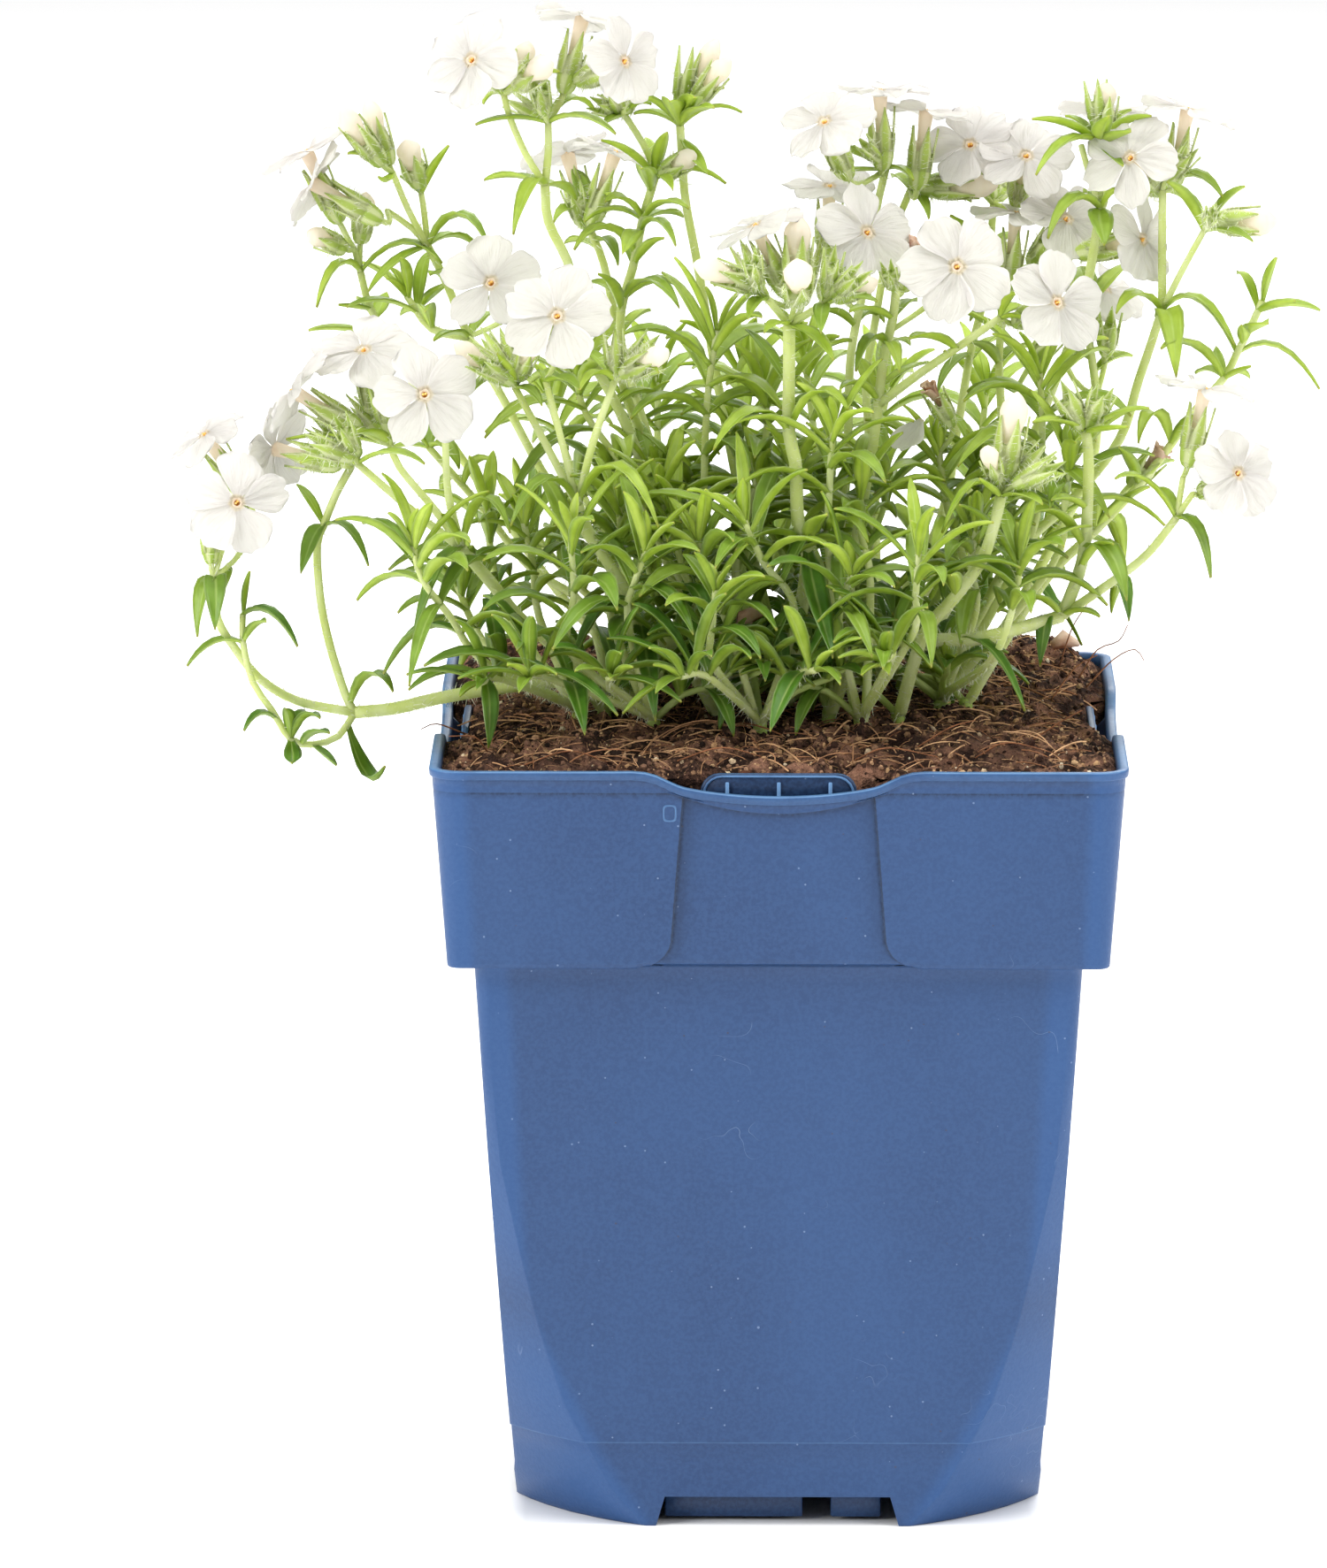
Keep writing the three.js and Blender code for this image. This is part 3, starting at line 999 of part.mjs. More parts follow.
// A block that leans with the band's face, cut to an outline on it, between two depths under the face
function leaningBlock(outline, depths) {
  const lean = (Math.atan2(RIM_HALF - BAND_FOOT_HALF, BAND_HEIGHT) * 180) / Math.PI;
  const block = prism(outline.map(([x, z]) => [x, z - POT_HEIGHT]), -depths[1], -depths[0]);
  return block.rotate([lean, 0, 0]).translate([0, -RIM_HALF, POT_HEIGHT]);
}

// The shallow recess between the two side panels of one face, under its curved collar
const panelRecess = () => leaningBlock(PANEL, [-4, PANEL_DEPTH]);

// The wall steps inwards behind the recess
function panelBacking(grow) {
  const half = PANEL_BACKING_HALF + grow;
  const outline = [[-half, 122], [half, 122], [half + 4, PANEL_FOOT - 3], [-half - 4, PANEL_FOOT - 3]];
  return leaningBlock(outline, [0, PANEL_DEPTH + POT_WALL + grow]);
}

// The tab behind a dip that holds a plant label, on the ledge that ties it to the wall
function labelTab() {
  const front = -(RIM_HALF - TAB_SETBACK);
  const foot = TAB_TOP - TAB_HEIGHT;
  const outline = [
    [-TAB_HALF, foot], [TAB_HALF, foot], [TAB_HALF, TAB_TOP - 2], [TAB_HALF - 1.6, TAB_TOP],
    [-TAB_HALF + 1.6, TAB_TOP], [-TAB_HALF, TAB_TOP - 2],
  ];
  const across = [-(bandHalf(foot) - PANEL_DEPTH - POT_WALL / 2), front + TAB_THICK / 2];
  return join([
    prism(outline, -front - TAB_THICK, -front),
    box([-TAB_HALF, TAB_HALF], across, [foot, foot + TAB_THICK]),
  ]);
}

// What the soil leaves free round a tab
function tabRoom() {
  const half = TAB_HALF + SOIL_GAP;
  const back = -(RIM_HALF - TAB_SETBACK - TAB_THICK) + SOIL_GAP;
  return box([-half, half], [-RIM_HALF, back], [TAB_TOP - TAB_HEIGHT - SOIL_GAP, POT_HEIGHT + 15]);
}

function footRing() {
  const line = -(BASE_HALF - FOOT_RING_INSET);
  return box(FOOT_RING_SPAN, [line, line + 1.2], [0.7, FLOOR_UNDER + 0.5]);
}

function makePot() {
  const outside = lowerBody(0, 0).add(band(0, POT_HEIGHT - BAND_HEIGHT, POT_HEIGHT));
  const inside = lowerBody(POT_WALL, FLOOR_TOP)
    .add(band(POT_WALL, POT_HEIGHT - BAND_HEIGHT + POT_WALL, POT_HEIGHT + 1));
  const under = loft([
    cutRing(-1, CORNER_CUT[0][1], POT_WALL),
    cutRing(FLOOR_UNDER, CORNER_CUT[1][1], POT_WALL),
  ]);
  const gap = [
    [-NOTCH_HALF[0], -1], [NOTCH_HALF[0], -1], [NOTCH_HALF[1], NOTCH_HEIGHT], [-NOTCH_HALF[1], NOTCH_HEIGHT],
  ];
  const notch = prism(gap, BASE_HALF - POT_WALL - 2, BASE_HALF + 4);
  const [wide, deep] = DRAIN;
  const drain = box([-wide / 2, wide / 2], [-DRAIN_AT - deep, -DRAIN_AT], [FLOOR_UNDER - 1, FLOOR_TOP + 1]);
  const foot = new THREE.CylinderGeometry(CENTRE_FOOT_RADIUS, CENTRE_FOOT_RADIUS, FLOOR_UNDER + 0.5, 8);
  const centre = solid(foot.rotateX(Math.PI / 2).translate(0, 0, (FLOOR_UNDER + 0.5) / 2));
  const hollow = cut(inside, onSides(panelBacking(0)));
  const openings = [...onSides(notch), ...onSides(drain), ...onSides(rimDip(), [0, 1])];
  const shell = cut(outside, [hollow, under, ...openings, ...onSides(panelRecess())]);
  return join([shell, centre, ...onSides(footRing()), ...onSides(labelTab())]);
}

// ---------------------------------------------------------------- soil

// The soil's surface: level at the rim, mounded in the middle and heaped along the back
function soilHeight(x, y) {
  const edge = Math.max(Math.abs(x), Math.abs(y)) / RIM_HALF;
  const mound = SOIL_MOUND * (1 - edge ** 3);
  const heap = SOIL_HEAP * THREE.MathUtils.smoothstep(y, 29, 45) * (1 - (Math.abs(x) / 53) ** 8);
  const lumps = 0.45 * Math.sin(0.31 * x + 1.7) * Math.cos(0.27 * y) + 0.3 * Math.sin(0.53 * y + 0.21 * x);
  return SOIL_EDGE + mound + heap * (1 - (Math.max(y, 0) / 55) ** 14) + lumps * (1 - edge ** 6);
}

function makeSoil(crowns) {
  const points = [];
  const half = RIM_HALF + 1;
  const row = SOIL_CELLS + 1;
  for (let j = 0; j < row; j++) {
    for (let i = 0; i < row; i++) {
      const x = -half + (2 * half * i) / SOIL_CELLS;
      const y = -half + (2 * half * j) / SOIL_CELLS;
      points.push(new THREE.Vector3(x, y, soilHeight(x, y)));
    }
  }
  const triangles = [];
  for (let j = 0; j < SOIL_CELLS; j++) {
    for (let i = 0; i < SOIL_CELLS; i++) {
      const a = j * row + i;
      triangles.push([a, a + 1, a + row + 1], [a, a + row + 1, a + row]);
    }
  }
  // The surface's solid tapers to a point below
  const border = [];
  for (let i = 0; i < SOIL_CELLS; i++) border.push(i);
  for (let j = 0; j < SOIL_CELLS; j++) border.push(j * row + SOIL_CELLS);
  for (let i = SOIL_CELLS; i > 0; i--) border.push(SOIL_CELLS * row + i);
  for (let j = SOIL_CELLS; j > 0; j--) border.push(j * row);
  const foot = points.length;
  points.push(new THREE.Vector3());
  border.forEach((a, i) => triangles.push([foot, border[(i + 1) % border.length], a]));
  const heaped = solid(geometryOf(points, triangles));
  const inset = POT_WALL + SOIL_GAP;
  const filling = lowerBody(inset, FLOOR_TOP + SOIL_GAP, CORNER_CUT.slice(-1))
    .add(band(inset, POT_HEIGHT - BAND_HEIGHT + inset, POT_HEIGHT + 15));
  const holes = crowns.map(([x, y]) => peg(x, y, CROWN_RADIUS + 0.45, CROWN_FOOT - 0.5, 140));
  const soil = filling.intersect(heaped.add(box([-half, half], [-half, half], [0, SOIL_EDGE - 4])));
  return cut(soil, [...onSides(tabRoom()), ...onSides(panelBacking(SOIL_GAP)), ...holes]);
}

function peg(x, y, radius, from, to) {
  const geometry = new THREE.CylinderGeometry(radius, radius, to - from, 4);
  return solid(geometry.rotateX(Math.PI / 2).translate(x, y, (from + to) / 2));
}

// ---------------------------------------------------------------- plant

const curveOf = (points) => new THREE.CatmullRomCurve3(points.map(vector), false, 'catmullrom', 0.5);

// A stem's straight steps, fewer on a short stem
const stepsOf = (points) => Math.max(2, Math.round(curveOf(points).getLength() / STEM_STEP));

// A stem of even thickness along a curve
function tube(points, radius, sides) {
  const corners = [];
  for (let i = 0; i < sides; i++) {
    const angle = (2 * Math.PI * i) / sides;
    corners.push(new THREE.Vector2(radius * Math.cos(angle), radius * Math.sin(angle)));
  }
  const path = { steps: stepsOf(points), extrudePath: curveOf(points) };
  return solid(new THREE.ExtrudeGeometry(new THREE.Shape(corners), path));
}

// A leaf: an arched blade, flat above with a keel below, on a narrow root. Only the blade is made where the
// root doesn't count, and it can be grown on all sides to test its clearance
function leaf([width, arch, root, tip], { grow = 0, rooted = true } = {}) {
  const [a, b] = [vector(root), vector(tip)];
  const top = a.clone().add(b).multiplyScalar(0.5).add(new THREE.Vector3(0, 0, 2 * arch));
  const run = new THREE.QuadraticBezierCurve3(a, top, b);
  const out = b.clone().sub(a).setZ(0);
  if (out.lengthSq() < 0.04) out.set(0, -1, 0);
  const across = out.normalize().cross(UP);
  const long = a.distanceTo(b) > TWO_STEP_LEAF || arch >= 3;
  const sections = long ? [[0.27, 0.9 * width], [0.64, 0.86 * width]] : [[0.4, width]];
  if (rooted) sections.unshift([0, 2 * LEAF_ROOT]);
  const points = [];
  for (const [t, breadth] of sections) {
    const middle = run.getPoint(t);
    const up = across.clone().cross(run.getTangent(t)).normalize();
    const lift = 0.1 * breadth + grow;
    points.push(middle.clone().addScaledVector(across, breadth / 2 + grow).addScaledVector(up, lift));
    points.push(middle.clone().addScaledVector(up, 0.1 - LEAF_THICK - grow));
    points.push(middle.clone().addScaledVector(across, -breadth / 2 - grow).addScaledVector(up, lift));
  }
  const n = points.length;
  points.push(b.clone().addScaledVector(run.getTangent(1), grow));
  const triangles = [[0, 2, 1], [n - 3, n - 2, n], [n - 2, n - 1, n], [n - 1, n - 3, n]];
  for (let k = 0; k + 3 < n; k += 3) triangles.push(...wall(k, k + 3, 3));
  return solid(geometryOf(points, triangles));
}

// Two directions across an axis, the same for a calyx and for what stands in it
function crossways(axis) {
  const side = Math.abs(axis.z) < 0.9 ? UP.clone() : new THREE.Vector3(0, 1, 0);
  const u = side.cross(axis).normalize();
  return [u, axis.clone().cross(u)];
}

function ringPoint(middle, u, v, radius, degrees) {
  const angle = (degrees * Math.PI) / 180;
  const [along, across] = [radius * Math.cos(angle), radius * Math.sin(angle)];
  return middle.clone().addScaledVector(u, along).addScaledVector(v, across);
}

function ringOfFive(middle, [u, v], radius, turn) {
  return [0, 72, 144, 216, 288].map((degrees) => ringPoint(middle, u, v, radius, degrees + turn));
}

// A five-sided calyx on the stalk that it grows from: closed to a point, open for a flower's tube, or round a
// bud that swells above its waist
function calyx(from, foot, tip, size, holds) {
  const axis = tip.clone().sub(foot).normalize();
  const sides = crossways(axis);
  const length = foot.distanceTo(tip);
  const at = (share) => foot.clone().addScaledVector(axis, share * length);
  const ring = ([share, radius]) => ringOfFive(at(share), sides, radius * CALYX_RADIUS * size, 0);
  const points = [...stalk(from, foot, axis, sides), ...PROFILES[holds].rings.map(ring)].flat();
  const end = points.length;
  points.push(at(PROFILES[holds].end));
  const triangles = [[0, 2, 1], [0, 3, 2], [0, 4, 3]];
  for (let k = 5; k < end; k += 5) triangles.push(...wall(k - 5, k, 5));
  for (let i = 0; i < 5; i++) triangles.push([end - 5 + i, end - 5 + ((i + 1) % 5), end]);
  return solid(geometryOf(points, triangles));
}

// A stalk's rings, from inside its stem to the foot of the calyx, with a knee where it is long
function stalk(from, foot, axis, sides) {
  const reach = from.distanceTo(foot);
  if (reach < NO_STALK) return [ringOfFive(from, sides, STALK_ROOT, 0)];
  const knee = foot.clone().addScaledVector(axis, -0.4 * reach);
  const stops = reach > LONG_STALK ? [from, knee, foot] : [from, foot];
  return stops.map((stop, k) => {
    const ahead = k + 1 < stops.length ? stops[k + 1].clone().sub(stop).normalize() : axis;
    const turn = new THREE.Quaternion().setFromUnitVectors(axis, ahead);
    const turned = sides.map((side) => side.clone().applyQuaternion(turn));
    return ringOfFive(stop, turned, k ? STALK : STALK_ROOT, 0);
  });
}

// A flower: five broad lobes with a notch each, and the tube that stands in the calyx
function flower(middle, facing, radius, turn, random) {
  const axis = facing.clone().normalize();
  const [u, v] = crossways(axis);
  const point = (r, degrees, lift) => ringPoint(middle, u, v, r, degrees).addScaledVector(axis, lift);
  const points = [point(0, 0, -0.1)];
  for (let i = 0; i < 5; i++) points.push(point(0.3 * radius, 72 * i + turn, 0.35));
  for (let i = 0; i < 5; i++) points.push(point(0.2 * radius, 72 * i + turn, -0.7));
  for (let i = 0; i < 5; i++) {
    const sweep = -0.5 + 1.4 * (random() - 0.5);
    points.push(point(0.36 * radius, 72 * i - 36 + turn, -0.1));
    points.push(point(0.94 * radius, 72 * i - 20 + turn, sweep + 0.8 * (random() - 0.5)));
    points.push(point(0.97 * radius, 72 * i + turn, sweep));
    points.push(point(0.94 * radius, 72 * i + 20 + turn, sweep + 0.8 * (random() - 0.5)));
  }
  const foot = points.length;
  const tubeFoot = middle.clone().addScaledVector(axis, CALYX_FLOOR + TUBE_SEAT - FLOWER_DEPTH);
  points.push(...ringOfFive(tubeFoot, [u, v], TUBE_FOOT, turn));
  const triangles = [[foot, foot + 2, foot + 1], [foot, foot + 3, foot + 2], [foot, foot + 4, foot + 3]];
  for (let i = 0; i < 5; i++) {
    const j = (i + 1) % 5;
    const [top, topNext, under, underNext] = [1 + i, 1 + j, 6 + i, 6 + j];
    const [gap, nextGap] = [11 + 4 * i, 11 + 4 * j];
    triangles.push([0, top, topNext], [top, nextGap, topNext], [under, underNext, nextGap]);
    const edge = [gap, gap + 1, gap + 2, gap + 3, nextGap];
    for (let k = 0; k < 4; k++) triangles.push([top, edge[k], edge[k + 1]], [under, edge[k + 1], edge[k]]);
    triangles.push([under, foot + i, foot + j], [under, foot + j, underNext]);
  }
  return solid(geometryOf(points, triangles));
}

// The pair of leaves that stands up at the tip of a leafy shoot
function shootLeaves([pairs, length, points], seed) {
  const random = draws(seed);
  const curve = curveOf(points);
  const start = 180 * random() + 90 * (pairs - 1);
  const along = curve.getTangent(TOP_PAIR_AT);
  const root = curve.getPoint(TOP_PAIR_AT);
  const [u, v] = crossways(along);
  const leaves = [];
  for (let side = 0; side < 2; side++) {
    const turn = start + 180 * side + 30 * (random() - 0.5);
    const tilt = 0.9 + 0.2 * (random() - 0.5);
    const size = length * (0.85 + 0.3 * random());
    const tip = ringPoint(root, u, v, size * Math.cos(tilt), turn);
    tip.addScaledVector(along, size * Math.sin(tilt));
    leaves.push([2.4 + 0.8 * random(), 0.1 * size, root.toArray(), tip.toArray()]);
  }
  return leaves;
}

// ---------------------------------------------------------------- growing the plant

const pieces = [];
const flowers = new Map();

function boundsClear(a, b) {
  return [0, 1, 2].some((i) => a.min[i] > b.max[i] || b.min[i] > a.max[i]);
}

function isClear(candidate, others) {
  const bounds = candidate.boundingBox();
  const near = others.filter((piece) => !boundsClear(bounds, piece.bounds));
  return near.every((piece) => candidate.intersect(piece.body).isEmpty());
}

function place(owner, body) {
  pieces.push({ owner, body, bounds: body.boundingBox() });
}

// A stem's points, with its foot sunk in the crown, a little to the side that it leaves by
function sunk([x, y], points) {
  const [first, next] = points;
  if (Math.hypot(first[0] - x, first[1] - y) > CROWN_RADIUS || first[2] > CROWN_TOP + 0.5) return points;
  const away = new THREE.Vector2(next[0] - x, next[1] - y).normalize().multiplyScalar(CROWN_SPREAD);
  const foot = [x + away.x / 2, y + away.y / 2, CROWN_TOP - 1.5];
  return [foot, [x + away.x, y + away.y, CROWN_TOP], ...points.slice(1)];
}

function stemsOf(plant) {
  const stems = (plant.stems ?? []).map(([foot, end, points]) => [(foot + end) / 2, points]);
  const shoots = (plant.shoots ?? []).map(([, , points]) => [SHOOT_RADIUS, points]);
  return [...stems, ...shoots].map(([radius, points]) => [radius, sunk(plant.crown, points)]);
}

// Points close together along every stem's middle, to root leaves and stalks on
function stemSpots(plant) {
  const spots = [];
  for (const [, points] of stemsOf(plant)) {
    const stops = curveOf(points).getSpacedPoints(stepsOf(points));
    for (let k = 0; k + 1 < stops.length; k++) {
      const count = Math.ceil(stops[k].distanceTo(stops[k + 1]));
      for (let i = 1; i < count; i++) spots.push(stops[k].clone().lerp(stops[k + 1], i / count));
    }
  }
  return spots;
}

function nearest(spots, p) {
  const target = vector(p);
  const away = (spot) => spot.distanceToSquared(target);
  return spots.reduce((best, spot) => (away(spot) < away(best) ? spot : best));
}

function growStems(name, plant) {
  const [x, y] = plant.crown;
  place(name, peg(x, y, CROWN_RADIUS, CROWN_FOOT, CROWN_TOP));
  for (const [radius, points] of stemsOf(plant)) {
    place(name, radius > THICK_STEM ? tube(points, radius, 4) : tube(points, 1.15 * radius, 3));
  }
}

function growHeads(name, plant) {
  const spots = stemSpots(plant);
  for (const [size, from, foot, tip] of plant.calyces ?? []) {
    place(name, calyx(nearest(spots, from), vector(foot), vector(tip), 0.8 * size, 'nothing'));
  }
  for (const [size, from, foot, tip] of [...(plant.buds ?? []), ...(plant.wilted ?? [])]) {
    place(name, calyx(nearest(spots, from), vector(foot), vector(tip), size, 'bud'));
  }
  for (const [bloom, from, middle, facing, radius, turn] of plant.blooms ?? []) {
    const axis = vector(facing).normalize();
    const foot = vector(middle).addScaledVector(axis, -FLOWER_DEPTH);
    const tip = foot.clone().addScaledVector(axis, CALYX_LENGTH);
    place(name, calyx(nearest(spots, from), foot, tip, 1, 'flower'));
    const random = draws(Math.round(1000 + 37 * middle[0] + 91 * middle[2]));
    const body = flower(vector(middle), axis, radius, turn, random);
    place(bloom, body);
    flowers.set(bloom, [...(flowers.get(bloom) ?? []), body]);
  }
}

// A leaf bent clear of all else: turned about its root, lifted or shortened until it crosses nothing. A large
// one may cross its own stem's leaves, and a small one that finds no room is left out
function bentClear(name, row) {
  const [width, arch, root, tip] = row;
  const others = pieces.filter((piece) => piece.owner !== name);
  const own = pieces.filter((piece) => piece.owner === name);
  let crossing = null;
  for (const size of [1, 0.85, 0.7]) {
    for (const turn of [0, 0.2, -0.2, 0.45, -0.45, 0.75, -0.75]) {
      for (const lift of [0, 0.25, -0.2]) {
        const reach = vector(tip).sub(vector(root)).multiplyScalar(size);
        reach.applyAxisAngle(UP, turn);
        reach.z += lift * reach.length();
        const bent = [width, arch * size, root, vector(root).add(reach).toArray()];
        if (!isClear(leaf(bent, { grow: ROOM }), others)) continue;
        if (isClear(leaf(bent, { rooted: false }), own)) return bent;
        crossing ??= bent;
      }
    }
  }
  return leafSize(row) > LARGE_LEAF ? crossing : null;
}

const leafSize = ([width, , root, tip]) => width * vector(root).distanceTo(vector(tip));
const isOutermost = ([, , , tip]) => Math.hypot(tip[0], tip[1]) > OUTER_REACH;

function growLeaves(name, plant, index) {
  const spots = stemSpots(plant);
  const rows = (plant.leaves ?? []).filter((row) => leafSize(row) > LEAST_LEAF || isOutermost(row));
  (plant.shoots ?? []).forEach((shoot, i) => rows.push(...shootLeaves(shoot, 100 * index + i + 1)));
  for (const [width, arch, root, tip] of rows) {
    const bent = bentClear(name, [width, arch, nearest(spots, root).toArray(), tip]);
    if (bent) place(name, leaf(bent));
  }
}

const potBody = makePot();
const names = Object.keys(plants);
const soilBody = makeSoil(names.map((name) => plants[name].crown));
place('pot', potBody);
place('soil', soilBody);
names.forEach((name) => growStems(name, plants[name]));
names.forEach((name) => growHeads(name, plants[name]));
names.forEach((name, index) => growLeaves(name, plants[name], index));

const group = new THREE.Group();
group.add(meshOf('pot', potBody, colours.pot));
group.add(meshOf('soil', soilBody, colours.soil));
for (const name of names) {
  const own = pieces.filter((piece) => piece.owner === name).map((piece) => piece.body);
  group.add(meshOf(name, largest(join(own)), colours.green));
}
for (const [name, bodies] of flowers) {
  group.add(meshOf(name, largest(join(bodies)), colours.flower));
}

export default group;
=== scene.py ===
"""Looks of the phlox plant in its square nursery pot. Points are in mm until a mesh takes them in metres."""
import math

import bpy
import numpy as np
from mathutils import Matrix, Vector


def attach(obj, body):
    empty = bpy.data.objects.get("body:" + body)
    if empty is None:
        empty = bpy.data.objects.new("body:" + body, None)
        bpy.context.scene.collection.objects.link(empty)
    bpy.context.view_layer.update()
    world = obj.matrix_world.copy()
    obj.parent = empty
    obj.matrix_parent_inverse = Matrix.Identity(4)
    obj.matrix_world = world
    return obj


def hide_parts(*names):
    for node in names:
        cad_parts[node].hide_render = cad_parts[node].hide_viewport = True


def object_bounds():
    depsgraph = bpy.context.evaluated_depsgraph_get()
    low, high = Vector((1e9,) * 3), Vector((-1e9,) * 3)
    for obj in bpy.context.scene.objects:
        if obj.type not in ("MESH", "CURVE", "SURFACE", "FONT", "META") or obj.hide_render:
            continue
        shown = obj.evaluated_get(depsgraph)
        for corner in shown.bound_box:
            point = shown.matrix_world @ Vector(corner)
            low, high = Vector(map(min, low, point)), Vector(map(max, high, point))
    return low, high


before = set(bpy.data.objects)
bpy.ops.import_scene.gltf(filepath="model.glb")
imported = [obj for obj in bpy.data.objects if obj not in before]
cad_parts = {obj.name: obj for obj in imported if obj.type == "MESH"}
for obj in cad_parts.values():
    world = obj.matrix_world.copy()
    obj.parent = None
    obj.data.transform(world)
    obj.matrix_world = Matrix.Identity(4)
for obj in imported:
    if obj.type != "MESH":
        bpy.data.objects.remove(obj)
cad_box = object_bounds()

# ---------------------------------------------------------------- camera, light and floor

MM = 0.001
UP = np.array([0.0, 0.0, 1.0])

scene = bpy.context.scene
scene.view_settings.view_transform = "Standard"

# The camera looks a little down on the pot, from far enough off to be nearly parallel
LOOKS_DOWN = 10.7
TURNED = 0.602
camera_data = bpy.data.cameras.new("camera")
camera_data.lens = 256.35
camera_data.sensor_width = 36
camera_data.clip_end = 100
camera = bpy.data.objects.new("camera", camera_data)
camera.location = (0, -1.774, 0.448)
camera.rotation_euler = (math.radians(90 - LOOKS_DOWN), 0, math.radians(TURNED))
scene.collection.objects.link(camera)
scene.camera = camera

world = bpy.data.worlds.new("studio")
world.use_nodes = True
backdrop = world.node_tree.nodes["Background"]
backdrop.inputs["Color"].default_value = (1, 1, 1, 1)
backdrop.inputs["Strength"].default_value = 0.34
scene.world = world


def soft_light(name, place, target, size, power):
    data = bpy.data.lights.new(name, "AREA")
    data.shape = "DISK"
    data.size = size
    data.energy = power
    light = bpy.data.objects.new(name, data)
    light.location = place
    light.rotation_mode = "QUATERNION"
    light.rotation_quaternion = (Vector(target) - Vector(place)).to_track_quat("-Z", "Y")
    scene.collection.objects.link(light)


soft_light("light_over", (0.1, -0.15, 1.5), (0, 0, 0.12), 1.3, 19)
soft_light("light_left", (-1.3, -0.8, 0.8), (0, 0, 0.13), 0.9, 21)
soft_light("light_right", (1.3, -0.6, 0.8), (0, 0, 0.13), 0.9, 13)
soft_light("light_back", (0.3, 1.5, 1.1), (0, 0, 0.18), 1.0, 11)

# ---------------------------------------------------------------- node trees


def operator(operation, reflected=False):
    """A Python operator that adds a Math node."""
    def apply(value, other):
        return value.tree.maths(operation, *((other, value) if reflected else (value, other)))

    return apply


class Value:
    """A socket that takes part in arithmetic: every operator adds a Math node."""

    def __init__(self, tree, socket):
        self.tree = tree
        self.socket = socket

    def of(self, name):
        """Another output of the same node."""
        return Value(self.tree, self.socket.node.outputs[name])

    __add__, __radd__ = operator("ADD"), operator("ADD", True)
    __sub__, __rsub__ = operator("SUBTRACT"), operator("SUBTRACT", True)
    __mul__, __rmul__ = operator("MULTIPLY"), operator("MULTIPLY", True)
    __pow__ = operator("POWER")
    __gt__ = operator("GREATER_THAN")


class Tree:
    """A node tree that is written as expressions."""

    def __init__(self, tree):
        self.nodes = tree.nodes
        self.links = tree.links

    def add(self, kind, settings=None, inputs=None, out=0):
        """A node of a type: its settings first, then its sockets' values or links. Returns one output."""
        node = self.nodes.new(kind)
        for key, value in (settings or {}).items():
            if key == "stops":
                self.set_stops(node.color_ramp, value)
            else:
                setattr(node, key, value)
        for key, value in (inputs or {}).items():
            socket = node.inputs[key]
            if isinstance(value, Value):
                self.links.new(value.socket, socket)
            else:
                socket.default_value = value
        return Value(self, node.outputs[out]) if node.outputs else None

    @staticmethod
    def set_stops(ramp, stops):
        while len(ramp.elements) > len(stops):
            ramp.elements.remove(ramp.elements[-1])
        while len(ramp.elements) < len(stops):
            ramp.elements.new(1)
        for element, (place, colour) in zip(ramp.elements, stops):
            element.position = place
            element.color = as_colour(colour)

    def maths(self, operation, a, b=0.0):
        return self.add("ShaderNodeMath", {"operation": operation}, {0: a, 1: b})


